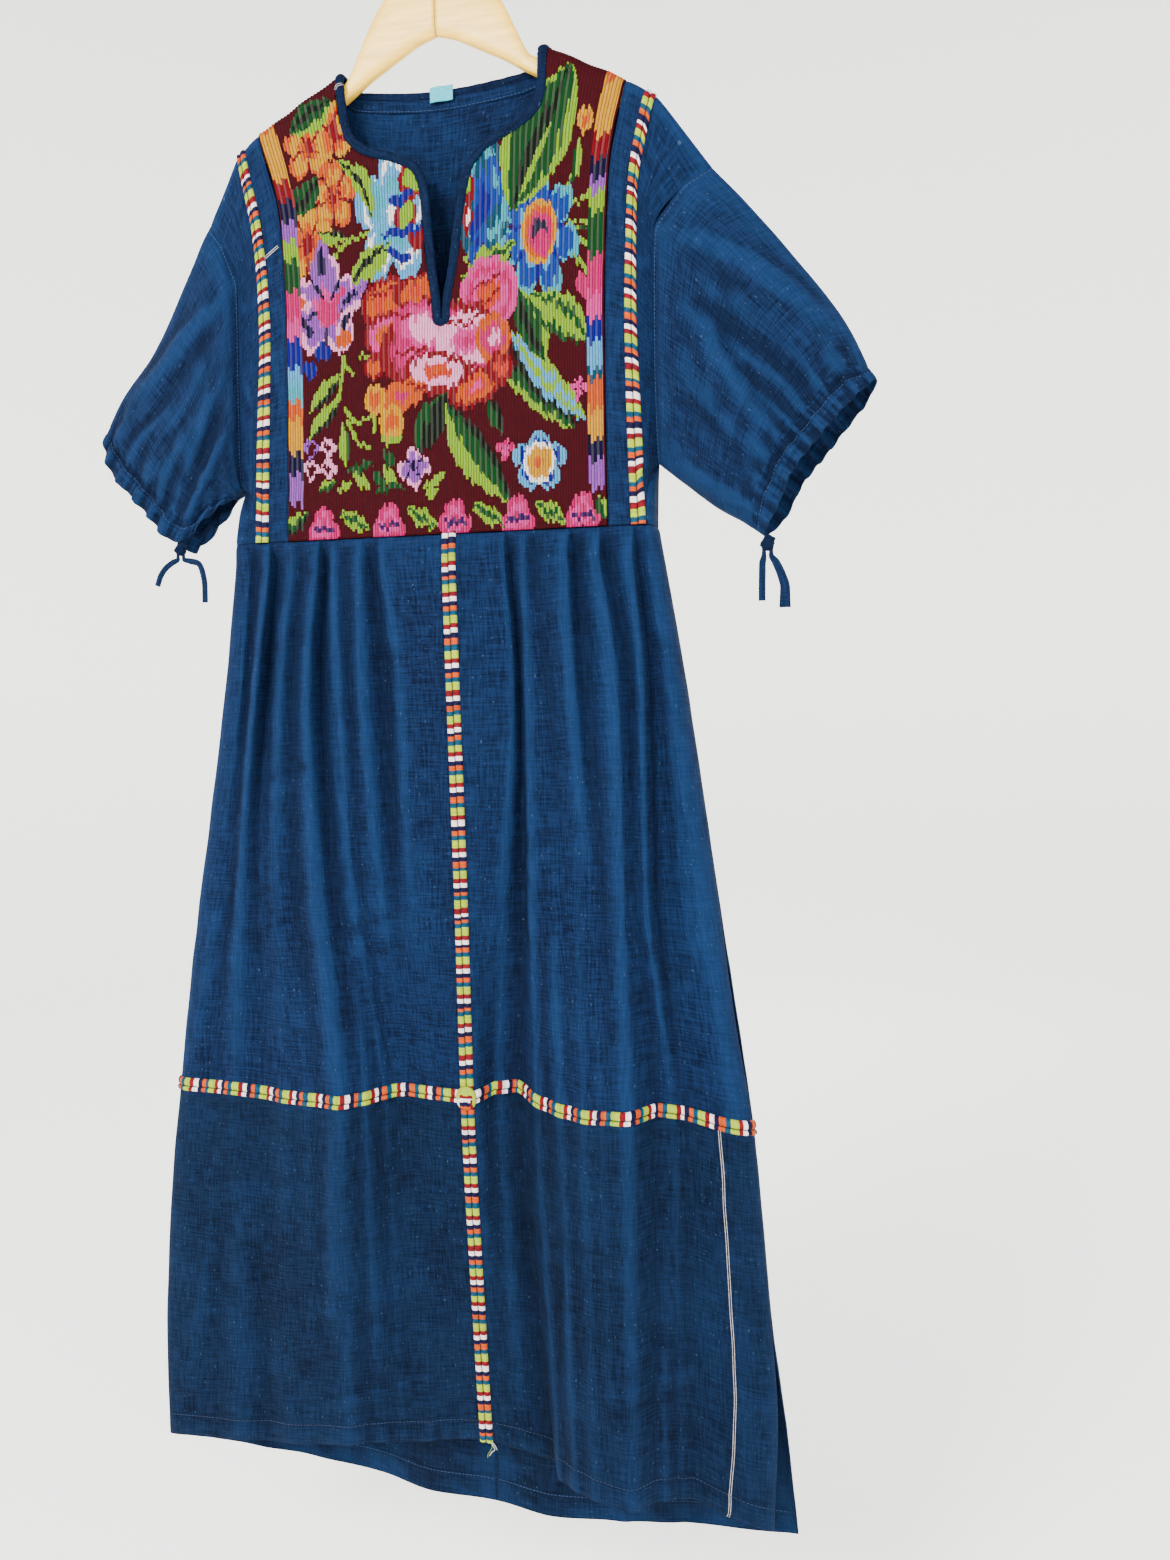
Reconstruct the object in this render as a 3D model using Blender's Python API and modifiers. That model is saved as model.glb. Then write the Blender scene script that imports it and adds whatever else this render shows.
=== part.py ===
"""An embroidered dress hanging on its wooden hanger, as thin cloth walls cut like the real pieces.

Metres, +Z up, +X to the viewer's right, and the front faces -Y. The origin is the inside top of
the hanger's hook. Every cloth piece is an open surface worked out from the tables below and
thickened by a Solidify modifier. Heights, widths and depths in the tables are millimetres.
"""

import math
from collections import namedtuple

import bmesh
import bpy
import numpy as np

MM = 0.001
COLLECTION = "embroidered_dress"

MERGE_DISTANCE = 0.00002

# Walls and gaps
CLOTH_WALL = 1.6
PANEL_WALL = 2.4
SEAM_GAP = 0.3
HALF_GAP = SEAM_GAP / 2
EDGE_GAP = 0.5
SLANT_EASE = 0.6
NECK_EASE = 1.5

# Heights of the garment's levels
YOKE_SEAM = -565.0
PLEAT_LEVEL = -586.0
THIGH_LEVEL = -703.0
MID_LEVEL = -889.0
SLIT_TOP = -1270.0
BACK_KNEE = -1085.0

# Depth of the yoke's front and back walls from the middle plane, at the shoulder and at the seam
SHOULDER_RADIUS = 9.0
YOKE_TOP_DEPTH = 10.5
YOKE_FRONT_DEPTH = 20.0
YOKE_BACK_DEPTH = 16.0
YOKE_DROP = 400.0
CENTRE_X = 7.5

# Rows of every yoke piece: place up its height, or drop below the shoulder seam, beside the
# armhole stop (from the shoulder tip to the underarm) where the row of the outer piece ends
TOP_DROP = 20.0
YokeRow = namedtuple("YokeRow", "share drop stop")
YOKE_ROWS = (
    YokeRow(0.0, None, None),
    YokeRow(0.06, None, None),
    YokeRow(0.12, None, 1.0),
    YokeRow(0.14, None, 0.996),
    YokeRow(0.17, None, 0.97),
    YokeRow(0.24, None, 0.9),
    YokeRow(0.39, None, 0.74),
    YokeRow(0.54, None, 0.58),
    YokeRow(0.69, None, 0.42),
    YokeRow(0.84, None, 0.26),
    YokeRow(1.0, 20.0, 0.1),
    YokeRow(None, 6.0, 0.03),
    YokeRow(None, 0.9, 0.004),
    YokeRow(None, 0.0, 0.0),
)
FLAP_ROWS = (YokeRow(None, 0.9, 0.004), YokeRow(None, 5.6, 0.027))
BACK_ROWS = YOKE_ROWS[:-3] + (YokeRow(None, 6.4, 0.032),)
# Rows that the floral panel adds between those: yoke row it follows, part way on, place on the neck
PanelRow = namedtuple("PanelRow", "row part neck")
PANEL_FOOT_ROW = 7
PANEL_ROWS = (
    PanelRow(7, 0.12, 0.0),
    PanelRow(7, 0.34, 0.09),
    PanelRow(7, 0.67, 0.2),
    PanelRow(8, 0.0, 0.31),
    PanelRow(8, 0.25, 0.41),
    PanelRow(8, 0.5, 0.475),
    PanelRow(8, 0.75, 0.52),
    PanelRow(9, 0.0, 0.58),
    PanelRow(9, 0.25, 0.66),
    PanelRow(9, 0.5, 0.75),
    PanelRow(9, 0.75, 0.85),
    PanelRow(10, 0.0, 0.93),
    PanelRow(11, 0.0, 0.98),
    PanelRow(12, 0.0, 0.995),
    PanelRow(13, 0.0, 1.0),
)
PANEL_COLUMNS = 5

# Randa trims: two thread rolls side by side, as heights over the cloth across the band
TRIM_HALF = 6.5
TRIM_CLEARANCE = 0.6
TRIM_PROFILE = ((-6.5, 0.6), (-3.3, 2.6), (0.0, 0.9), (3.3, 2.6), (6.5, 0.6))

# Neck binding, an oval roll
BINDING_HALF_WIDTH = 4.3
BINDING_HALF_DEPTH = 2.4
BINDING_SIDES = 8

# Small tab inside the back neck: middle x, y, z and full width, thickness, height
TAB_MIDDLE = (1.0, 6.7, -171.0)
TAB_SIZE = (22.0, 0.9, 13.0)

# Drawstring ties: the knots are blocks with rounded edges, and both ends leave one from below
TIE_RADIUS = 2.4
TIE_SPACING = 3.0
TIE_GAP = 0.08
TIE_STEP = 5.0
KNOT_SIZE = (12.0, 10.0, 13.0)
KNOT_ROUNDING = 1.8

# Hanger
BOARD_HALF = 5.5
HOOK_INNER_RADIUS = 19.0
HOOK_WIRE_RADIUS = 1.9
HOOK_START = -72.0
HOOK_SWEEP = 272.0
HOOK_STEPS = 17
BOARD_ROUNDING = 2.5
# The board along one arm: distance from the middle, top z, lower z
BOARD = (
    (0.15, -56.0, -125.0),
    (16.0, -58.0, -130.0),
    (32.0, -68.0, -138.0),
    (47.0, -84.0, -146.0),
    (62.0, -106.0, -154.0),
    (75.0, -132.0, -162.0),
    (88.0, -155.0, -170.0),
    (105.0, -160.5, -179.0),
    (140.0, -178.0, -196.0),
    (172.0, -194.0, -211.0),
    (187.0, -206.5, -220.0),
    (194.0, -213.0, -217.0),
)

# Shoulder ridge of each side: x from the middle, z
SHOULDER_LEFT = ((-229.0, -266.0), (-214.0, -236.0), (-199.0, -209.0), (-175.0, -189.0), (-92.0, -148.0))
SHOULDER_RIGHT = ((100.0, -150.0), (172.0, -188.0), (198.0, -205.0), (222.0, -237.0), (246.0, -270.0))

# Edges of the yoke pieces by height: z, panel edge, trim centre line
YokeLine = namedtuple("YokeLine", "z panel trim")
YOKE_LEFT = (
    YokeLine(-565.0, -143.0, -171.0),
    YokeLine(-470.0, -143.0, -169.0),
    YokeLine(-374.0, -144.0, -167.0),
    YokeLine(-284.0, -149.0, -175.0),
    YokeLine(-189.0, -174.0, -197.0),
)
YOKE_RIGHT = (
    YokeLine(-565.0, 158.0, 185.5),
    YokeLine(-462.0, 156.0, 181.0),
    YokeLine(-378.0, 155.0, 179.0),
    YokeLine(-277.0, 158.0, 181.5),
    YokeLine(-188.0, 173.0, 199.0),
)

# Armhole seam of each side from the shoulder tip down to the underarm: x, z
ARMHOLE_LEFT = ((-229, -266), (-212, -288), (-201, -306), (-197, -326), (-197, -380), (-198, -450),
                (-200, -512))
ARMHOLE_RIGHT = ((246, -270), (220, -286), (203, -304), (197, -322), (197, -380), (198, -450), (200, -512))
ARMHOLE_DEPTH = {"front": 10.0, "back": 7.5}
# Side edge of the bodice under the arm at the yoke's lower two rows: x, z
UNDERARM_SIDE = {"left": ((-207, -565), (-203, -539)), "right": ((198.5, -565), (199, -539))}
# Columns of the back where they end at its upper edge
BACK_TOP_X = (-183, -155, -127, -97.4, -95, -87.3, -71, -50, -25, 0, 25, 50, 77, 94, 103, 106, 135,
              165, 195)
SIDE_TURN = {"left": 17.0, "right": 6.2}
BACK_TURN = 15.0
# Share of the back's width over which its rows bend to meet the armhole
ARMHOLE_PULL = 0.1
TURN_STEPS = 3

# Neckline as the middle line of the binding, from the foot of the slit up to each neck point
NECK_FOOT = (7.5, -379.5)
NECK_LEFT = ((2.9, -374), (2.6, -362), (-1, -338), (-5, -300), (-9, -262), (-16, -243),
             (-36, -231), (-66, -220), (-82, -204), (-87, -184), (-92, -148))
NECK_RIGHT = ((12.1, -374), (12.6, -362), (17, -338), (22, -305), (27, -272), (34, -246),
              (52, -229), (83, -214), (97, -199), (100, -180), (100, -150))
NECK_BACK = ((98.5, -156), (91.5, -163), (76, -166.5), (50, -169), (25, -170.5), (0, -171),
             (-25, -169.5), (-50, -166.5), (-70, -163.5), (-84, -160.5), (-90.5, -154.5))

# Side seams by height: z, left x, right x
SIDE_SEAM = ((-1470, -303, 299), (-1350, -306, 303), (-1207, -298, 292), (-1087, -283, 281),
             (-1004, -272, 267), (-889, -254, 251), (-800, -239, 238), (-703, -224, 223),
             (-650, -217, 214), (-565, -207, 198.5))
SIDE_SEAM_DEPTH = 2.0

# Front folds from left to right: x and y at the pleats, thigh, middle, knee and hem, then z at
# the knee seam and at the hem. A ridge has a more negative y than the dips beside it.
Fold = namedtuple("Fold", "name x y knee_z hem_z")
FRONT_LEFT = (
    Fold("side_turn", (-190, -200, -230, -257, -278), (-14, -16, -16, -12, -8), -1085, -1441),
    Fold("side_dip", (-184, -195, -216, -239, -250), (-10, -11, -14, -12, -7), -1085, -1440),
    Fold("pleat_1", (-165, -178, -201, -213, -221), (-21, -26, -22, -16, -10), -1084, -1436),
    Fold("deep_1", (-162, -174, -186, -186, -193), (-10, -10, -14, -14, -4), -1086, -1436),
    Fold("pleat_2", (-141, -152, -162, -152, -158), (-22, -27, -24, -22, -12), -1086, -1429),
    Fold("dip_2", (-132, -143, -145, -127, -133), (-16, -18, -20, -26, -12), -1085, -1425),
    Fold("pleat_3", (-115, -123, -117, -97, -103), (-22, -28, -30, -32, -14), -1084, -1421),
    Fold("deep_3", (-111, -118, -101, -78, -78), (-10, -10, -18, -22, -6), -1082, -1419),
    Fold("pleat_4", (-98, -94, -84, -63, -54), (-21, -26, -24, -10, -2), -1079, -1416),
    Fold("dip_4", (-88, -85, -74, -53, -39), (-16, -18, -18, -4, 0), -1077, -1415),
    Fold("pleat_5", (-73, -70, -58, -40, -24), (-22, -26, -20, -4, 0), -1075, -1413),
    Fold("deep_5", (-63, -54, -44, -28, -12), (-11, -10, -12, -4, 3), -1076, -1411),
    Fold("pleat_6", (-49, -32, -27, -12, 2), (-22, -22, -18, -6, 5), -1076, -1409),
)
FRONT_CENTRE = Fold("centre", (14, 16, 19, 20, 31), (-22, -20, -14, -6, 6), -1077, -1407)
FRONT_RIGHT = (
    Fold("pleat_7", (64, 70, 55, 42, 64), (-21, -16, -10, 8, 6), -1071, -1410),
    Fold("deep_7", (68, 75, 75, 61, 95), (-11, -6, 0, 18, 8), -1071, -1417),
    Fold("long_fold", (82, 86, 89, 91, 112), (-19, -22, -24, -2, -22), -1079, -1415),
    Fold("dip_8", (90, 104, 115, 116, 132), (-14, -18, -24, -16, -34), -1080, -1415),
    Fold("pleat_9", (122, 129, 135, 140, 153), (-24, -30, -30, -26, -42), -1080, -1415),
    Fold("deep_9", (127, 138, 152, 156, 167), (-12, -20, -29, -30, -44), -1078, -1416),
    Fold("pleat_10", (150, 167, 173, 175, 182), (-24, -33, -37, -34, -46), -1076, -1416),
    Fold("deep_10", (155, 178, 183, 200, 205), (-12, -20, -24, -11, -28), -1073, -1414),
    Fold("pleat_11", (179, 190, 193, 211, 219), (-22, -30, -30, -12, -16), -1073, -1418),
    Fold("deep_11", (183, 195, 200, 222, 231), (-12, -14, -12, -8, -10), -1075, -1420),
    Fold("side_turn", (192.3, 212, 236, 262, 276), (-16, -22, -20, -14, -16), -1081, -1430),
)
FRONT_SIDE_Z = {"left": (-1087, -1446), "right": (-1086, -1441)}

# Back folds from left to right, plain and soft, with the same columns
BACK_FOLDS = (
    Fold("back_turn_left", (-192, -208, -238, -264, -286), (13, 15, 17, 17, 20), -1085, -1458),
    Fold("back_fold_1", (-150, -160, -185, -205, -225), (17, 22, 27, 27, 25), -1085, -1462),
    Fold("back_dip_1", (-112, -120, -140, -152, -165), (13, 14, 19, 25, 33), -1085, -1468),
    Fold("back_fold_2", (-70, -76, -86, -90, -95), (18, 24, 31, 35, 38), -1085, -1476),
    Fold("back_dip_2", (-25, -27, -31, -33, -35), (14, 16, 22, 26, 30), -1085, -1481),
    Fold("back_centre", (20, 22, 25, 28, 30), (18, 24, 31, 34, 36), -1085, -1484),
    Fold("back_dip_3", (63, 67, 74, 80, 85), (14, 16, 22, 26, 30), -1085, -1486),
    Fold("back_fold_3", (105, 114, 130, 143, 155), (18, 24, 31, 35, 38), -1085, -1485),
    Fold("back_dip_4", (142, 157, 180, 198, 215), (13, 15, 20, 25, 31), -1085, -1470),
    Fold("back_turn_right", (183.5, 207, 234, 263, 300), (13, 15, 17, 18, 25), -1085, -1460),
)
BACK_SIDE_Z = {"left": (-1087, -1455), "right": (-1086, -1455)}
FRONT_HEM_MEAN = -1425.0
# Folds narrower than this at the seam have no columns between their two edges
NARROW_FOLD = 12
# How far the corners spread from the side seam at the foot of each slit: x, y
SLIT_CURVE = 1.4
SLIT_SPREAD = {
    ("front", "left"): (0, -4),
    ("front", "right"): (0, -4),
    ("back", "left"): (-3, 9),
    ("back", "right"): (20, 17),
}

# Sleeve outlines: top edge, underarm edge and the gathered end, as x, z, then the cuff's share
# of its full width at the top and at the underarm, how far the back face reaches beyond the
# front one, as place across and millimetres, and the depth of the front face by place along
SleeveCut = namedtuple("SleeveCut", "top under end top_share under_share back_reach depths")
SLEEVES = {
    "left": SleeveCut(
        ((-229, -266), (-256, -320), (-289, -378), (-328, -422), (-349, -455)),
        ((-200, -512), (-204, -516), (-209, -520)),
        ((-349, -455), (-338, -487), (-321, -507), (-294, -535), (-279, -553), (-262, -560),
         (-243, -546), (-224, -530), (-209, -520)),
        0.45,
        0.15,
        ((0, 0), (0.4, 1), (0.6, 4), (0.8, 11), (0.93, 9), (1, 0)),
        ((0.0, 10.0), (0.08, 19.0), (0.5, 22.0), (1.0, 15.0)),
    ),
    "right": SleeveCut(
        ((246, -270), (277, -305), (318, -356), (359, -412), (381, -455)),
        ((200, -512), (226, -533), (252, -553), (277, -568), (290, -577)),
        ((381, -455), (356, -479), (334, -504), (314, -529), (305, -550), (290, -577)),
        0.45,
        0.45,
        ((0, 0), (0.15, 6), (0.5, 8), (0.85, 6), (1, 0)),
        ((0.0, 10.0), (0.08, 19.0), (0.5, 27.0), (1.0, 20.0)),
    ),
}
SLEEVE_BACK_SHARE = 0.75
SLEEVE_SQUARENESS = 3.0
SLEEVE_FOLD_RISE = 0.25
SLEEVE_FOLD_FALL = 0.3
ARM_CLEAR = 1.8
CUFF_WIDTH = 24.0
CUFF_WAVES = 9
CUFF_UNEVENNESS = 0.9
CASING_PINCH = 3.0
GATHER_HEIGHT = 3.2
SLEEVE_COLUMNS = (0.0, 0.004, 0.03, 0.1, 0.18, 0.26, 0.34, 0.42, 0.5, 0.58, 0.66, 0.74, 0.82, 0.9,
                  0.97, 0.996, 1.0)
CUFF_SPLIT = 3
# Sleeve folds: place across the sleeve at the armhole and at the cuff, height, width, start, end
SleeveFold = namedtuple("SleeveFold", "at_arm at_cuff height width start end")
SLEEVE_FOLDS = {
    "left": (
        SleeveFold(0.20, 0.16, 5.0, 0.07, 0.10, 1.0),
        SleeveFold(0.42, 0.40, 5.0, 0.12, 0.05, 0.9),
        SleeveFold(0.62, 0.56, -5.0, 0.09, 0.15, 1.0),
        SleeveFold(0.80, 0.72, 5.0, 0.08, 0.05, 0.9),
    ),
    "right": (
        SleeveFold(0.16, 0.14, 5.0, 0.08, 0.35, 1.0),
        SleeveFold(0.34, 0.34, -5.0, 0.11, 0.15, 1.0),
        SleeveFold(0.56, 0.66, 6.0, 0.13, 0.05, 1.0),
        SleeveFold(0.82, 0.84, -5.0, 0.07, 0.10, 0.9),
    ),
}

# Knots as x, y and top z, and the free tie ends after their short straight start, as x, y, z
KNOTS = {"left": (-260.0, -15.5, -560.3), "right": (293.0, -7.0, -577.9)}
TIE_DROP = 2.5
TIE_ENDS = {
    ("left", "outer"): ((-268, -17, -579), (-275, -19, -585), (-280, -20, -593), (-283, -20, -601)),
    ("left", "inner"): ((-250, -17, -578), (-239, -19, -581), (-234, -20, -590), (-232, -20, -603),
                        (-232, -20, -618)),
    ("right", "outer"): ((300, -9, -600), (305, -10, -611), (308, -11, -622), (308, -11, -638)),
    ("right", "inner"): ((289, -9, -601), (289, -10, -611), (289, -11, -621), (289, -11, -632)),
}

COLOURS = {
    "indigo": ((0.012, 0.045, 0.115), 0.85),
    "maroon": ((0.12, 0.01, 0.02), 0.8),
    "thread": ((0.75, 0.55, 0.25), 0.7),
    "turquoise": ((0.05, 0.45, 0.50), 0.7),
    "wood": ((0.72, 0.50, 0.30), 0.5),
    "wire": ((0.65, 0.65, 0.66), 0.3),
}


def clear_scene():
    for old in list(bpy.data.objects):
        bpy.data.objects.remove(old, do_unlink=True)


def make_material(name):
    colour, roughness = COLOURS[name]
    material = bpy.data.materials.get(name) or bpy.data.materials.new(name)
    material.use_nodes = True
    surface = material.node_tree.nodes["Principled BSDF"]
    surface.inputs["Base Color"].default_value = (*colour, 1.0)
    surface.inputs["Roughness"].default_value = roughness
    surface.inputs["Metallic"].default_value = 1.0 if name == "wire" else 0.0
    return material


def add_object(name, data, material):
    piece = bpy.data.objects.new(name, data)
    piece.data.materials.append(make_material(material))
    bpy.data.collections[COLLECTION].objects.link(piece)
    return piece


def smooth(knots, values, at):
    """Value at a place along rising knots, on a curve that never overshoots its knots."""
    knots = np.asarray(knots, float)
    values = np.asarray(values, float)
    steps = np.diff(knots)
    rises = np.diff(values) / steps
    slopes = np.zeros(len(knots))
    slopes[0], slopes[-1] = rises[0], rises[-1]
    same_way = rises[:-1] * rises[1:] > 0
    slopes[1:-1][same_way] = 2 / (1 / rises[:-1][same_way] + 1 / rises[1:][same_way])
    at = np.clip(at, knots[0], knots[-1])
    i = np.clip(np.searchsorted(knots, at, "right") - 1, 0, len(steps) - 1)
    s = (at - knots[i]) / steps[i]
    return (
        (1 + 2 * s) * (1 - s) ** 2 * values[i]
        + s * (1 - s) ** 2 * steps[i] * slopes[i]
        + s * s * (3 - 2 * s) * values[i + 1]
        + s * s * (s - 1) * steps[i] * slopes[i + 1]
    )


def curve_through(points):
    """A function of 0 to 1 along a smooth curve through the points, even by length."""
    points = np.asarray(points, float)
    lengths = np.concatenate([[0], np.cumsum(np.linalg.norm(np.diff(points, axis=0), axis=1))])
    lengths /= lengths[-1]
    return lambda s: np.array([smooth(lengths, points[:, k], s) for k in range(points.shape[1])])


def shoulder_z(x):
    """Height of the shoulder ridge over a place across the dress."""
    if x < 0:
        return float(np.interp(x, *zip(*SHOULDER_LEFT)))
    return float(np.interp(x, *zip(*SHOULDER_RIGHT)))


def yoke_depth(x, z, side):
    """Distance of the yoke wall from the middle plane: round over the shoulder, then nearly flat."""
    drop = max(shoulder_z(x) - z, 0.0)
    root = drop + SHOULDER_RADIUS
    full = YOKE_FRONT_DEPTH if side < 0 else YOKE_BACK_DEPTH
    depth = YOKE_TOP_DEPTH + (full - YOKE_TOP_DEPTH) * min(drop / YOKE_DROP, 1.0)
    return side * depth * math.sqrt(root * root - SHOULDER_RADIUS**2) / root


def wall_from(name, points, wall, material):
    """A cloth wall over a grid of points, an array of rows and columns in millimetres."""
    rows, columns = points.shape[0] - 1, points.shape[1] - 1
    shape = bmesh.new()
    bmesh.ops.create_grid(shape, x_segments=columns, y_segments=rows, size=0.5)
    for vertex in shape.verts:
        column = round((vertex.co.x + 0.5) * columns)
        row = round((vertex.co.y + 0.5) * rows)
        vertex.co = points[row, column] * MM
    return solidified(name, shape, wall, material)


def solidified(name, shape, wall, material):
    mesh = bpy.data.meshes.new(name)
    bmesh.ops.recalc_face_normals(shape, faces=shape.faces)
    shape.to_mesh(mesh)
    shape.free()
    mesh.shade_smooth()
    piece = add_object(name, mesh, material)
    thickness = piece.modifiers.new("wall", "SOLIDIFY")
    thickness.thickness = wall * MM
    thickness.offset = 0.0
    return piece


def loft(name, rings, material, closed=False):
    """A solid through rings of points in millimetres, with flat ends or joined end to end."""
    rings = np.asarray(rings, float)
    if closed:
        rings = np.concatenate([rings, rings[:1]])
    rows, columns = rings.shape[0] - 1, rings.shape[1]
    shape = bmesh.new()
    bmesh.ops.create_grid(shape, x_segments=columns, y_segments=rows, size=0.5)
    for vertex in shape.verts:
        column = round((vertex.co.x + 0.5) * columns) % columns
        row = round((vertex.co.y + 0.5) * rows)
        vertex.co = rings[row, column] * MM
    bmesh.ops.remove_doubles(shape, verts=shape.verts, dist=MERGE_DISTANCE)
    if not closed:
        bmesh.ops.holes_fill(shape, edges=shape.edges, sides=columns)
    bmesh.ops.recalc_face_normals(shape, faces=shape.faces)
    mesh = bpy.data.meshes.new(name)
    shape.to_mesh(mesh)
    shape.free()
    mesh.shade_smooth()
    return add_object(name, mesh, material)


def normals_of(points):
    """Unit normals of a grid of points, halfway between those of the faces beside each point."""
    across = joined_steps(points, 1)
    along = joined_steps(points, 0)
    return unit_rows(np.cross(across, along))


def joined_steps(points, axis):
    steps = unit_rows(np.diff(points, axis=axis))
    first, last = np.take(steps, [0], axis=axis), np.take(steps, [-1], axis=axis)
    return np.concatenate([first, steps], axis=axis) + np.concatenate([steps, last], axis=axis)


def trim_band(name, strip):
    """A randa over a strip of cloth: strip is stations along the band by places across it."""
    normals = normals_of(strip)
    lift = CLOTH_WALL / 2 + TRIM_CLEARANCE
    rings = []
    for station, facing in zip(strip, normals):
        top = [p + n * (lift + height) for p, n, (_, height) in zip(station, facing, TRIM_PROFILE)]
        foot = [station[i] + facing[i] * lift for i in (-1, 0)]
        rings.append(top + foot)
    return loft(name, rings, "thread")


# Skirt

def level_values(fold, v, back):
    """x, y and z of one fold at a level: 0 seam, 1 pleats, 2 thigh, 3 middle, 4 knee, 5 hem."""
    levels = np.arange(6.0)
    seam_depth = yoke_depth(fold.x[0], YOKE_SEAM, 1 if back else -1)
    xs = (fold.x[0],) + fold.x
    ys = (seam_depth,) + fold.y
    zs = (YOKE_SEAM, PLEAT_LEVEL, THIGH_LEVEL, MID_LEVEL, fold.knee_z, fold.hem_z)
    return np.array([smooth(levels, values, v) for values in (xs, ys, zs)])


def side_point(side, face, v):
    """A point on the side seam or, under the slit's top, on the free edge of one face."""
    knee_z, hem_z = (BACK_SIDE_Z if face == "back" else FRONT_SIDE_Z)[side]
    levels = np.arange(6.0)
    z = smooth(levels, (YOKE_SEAM, PLEAT_LEVEL, THIGH_LEVEL, MID_LEVEL, knee_z, hem_z), v)
    heights, left, right = zip(*SIDE_SEAM)
    x = smooth(heights, left if side == "left" else right, z)
    open_share = min(max((SLIT_TOP - z) / (SLIT_TOP - hem_z), 0.0), 1.0) ** SLIT_CURVE
    spread_x, spread_y = SLIT_SPREAD[face, side]
    y = SIDE_SEAM_DEPTH + (EDGE_GAP if face == "back" else -EDGE_GAP)
    return np.array([x + spread_x * open_share, y + spread_y * open_share, z])


def across_folds(folds, side, face, v, u, side_first):
    """A point at place u along a row of folds. Whole numbers are the folds themselves, and the
    side seam comes before the first or after the last."""
    count = len(folds)
    last = count if side else count - 1
    u = min(max(u, 0.0), last)
    i = min(int(u), last - 1)
    s = u - i

    def knot(k):
        if side and side_first:
            return side_point(side, face, v) if k == 0 else level_values(folds[k - 1], v, face == "back")
        if side and k == count:
            return side_point(side, face, v)
        return level_values(folds[k], v, face == "back")

    start, finish = knot(i), knot(i + 1)
    if side and side_first and i == 0:
        turn = np.array([1 - math.cos(s * math.pi / 2), math.sin(s * math.pi / 2), s])
    elif side and not side_first and i == count - 1:
        turn = np.array([math.sin(s * math.pi / 2), 1 - math.cos(s * math.pi / 2), s])
    else:
        turn = np.array([s, 0.5 - 0.5 * math.cos(s * math.pi), s])
    return start + (finish - start) * turn


def trim_neighbour(sign):
    """The fold that keeps the cloth flat under the centre trim, at one of its edges."""
    xs = tuple(x + sign * TRIM_HALF for x in FRONT_CENTRE.x)
    return FRONT_CENTRE._replace(name="trim_edge", x=xs)


LEFT_HALF = FRONT_LEFT + (trim_neighbour(-1), FRONT_CENTRE)
RIGHT_HALF = (FRONT_CENTRE, trim_neighbour(1)) + FRONT_RIGHT


def column_places(folds, side_first):
    """Places of the columns along a row of folds: more on a wide fold and on the side's turn."""
    places = []
    last = len(folds)
    for i in range(last):
        is_turn = i == 0 if side_first else i == last - 1
        if is_turn:
            count = TURN_STEPS
        else:
            k = i - 1 if side_first else i
            gap = abs(folds[k + 1].x[0] - folds[k].x[0])
            count = 1 if gap < NARROW_FOLD else 3
        places += [i + k / count for k in range(count)]
    return places + [last]


def skirt_levels():
    """Levels of the rows of the upper and the lower tier, with a row at each edge of the knee trim."""
    upper_trim = 4 - TRIM_HALF / (MID_LEVEL - BACK_KNEE)
    lower_trim = 4 + TRIM_HALF / (BACK_KNEE - FRONT_HEM_MEAN)
    upper = [0, 0.5, 1, 1.3, 1.65, 2, 2.5, 3, 3.5, upper_trim, 4]
    lower = [4, lower_trim, 4.25, 4.5, 4.75, 5]
    return upper, lower


def tier_points(folds, side, face, side_first, levels, places):
    return np.array(
        [[across_folds(folds, side, face, v, u, side_first) for u in places] for v in levels]
    )


def ease_edge(points, top=0.0, foot=0.0, left=0.0, right=0.0):
    """Draws the edges of a grid back by half a seam gap."""
    points = points.copy()
    for edge, inner, ease in ((0, 1, top), (-1, -2, foot)):
        points[edge] += ease * unit_rows(points[inner] - points[edge])
    for edge, inner, ease in ((0, 1, left), (-1, -2, right)):
        points[:, edge] += ease * unit_rows(points[:, inner] - points[:, edge])
    return points


def unit_rows(vectors):
    return vectors / np.linalg.norm(vectors, axis=-1, keepdims=True)


def skirt_front():
    upper, lower = skirt_levels()
    halves = (("left", LEFT_HALF, True), ("right", RIGHT_HALF, False))
    for side, folds, side_first in halves:
        places = column_places(folds, side_first)
        inner = {"right": HALF_GAP} if side_first else {"left": HALF_GAP}
        for tier, levels in (("upper", upper), ("lower", lower)):
            grid = tier_points(folds, side, "front", side_first, levels, places)
            top = SLANT_EASE if tier == "upper" else HALF_GAP
            eased = ease_edge(grid, top=top, foot=HALF_GAP if tier == "upper" else 0.0, **inner)
            wall_from(f"skirt_{tier}_{side}", eased[::-1], CLOTH_WALL, "indigo")
        knee_trim(side, folds, side_first, places)
    centre_trim("upper", upper)
    centre_trim("lower", lower)


def knee_trim(side, folds, side_first, places):
    """The randa along the knee seam, on the same columns as the cloth under it."""
    upper, lower = skirt_levels()
    kept = places[:-1] if side_first else places[1:]
    stations = []
    for u in kept:
        station = []
        for offset, _ in TRIM_PROFILE:
            step = (4 - upper[-2]) if offset < 0 else (lower[1] - 4)
            v = 4 + offset / TRIM_HALF * step
            station.append(across_folds(folds, side, "front", v, u, side_first))
        stations.append(station)
    strip = np.array(stations)
    end = -1 if side_first else 0
    inward = strip[end - 1 if side_first else 1] - strip[end]
    strip[end] += TRIM_CLEARANCE * unit_rows(inward)
    trim_band(f"trim_knee_{side}", strip)


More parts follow.
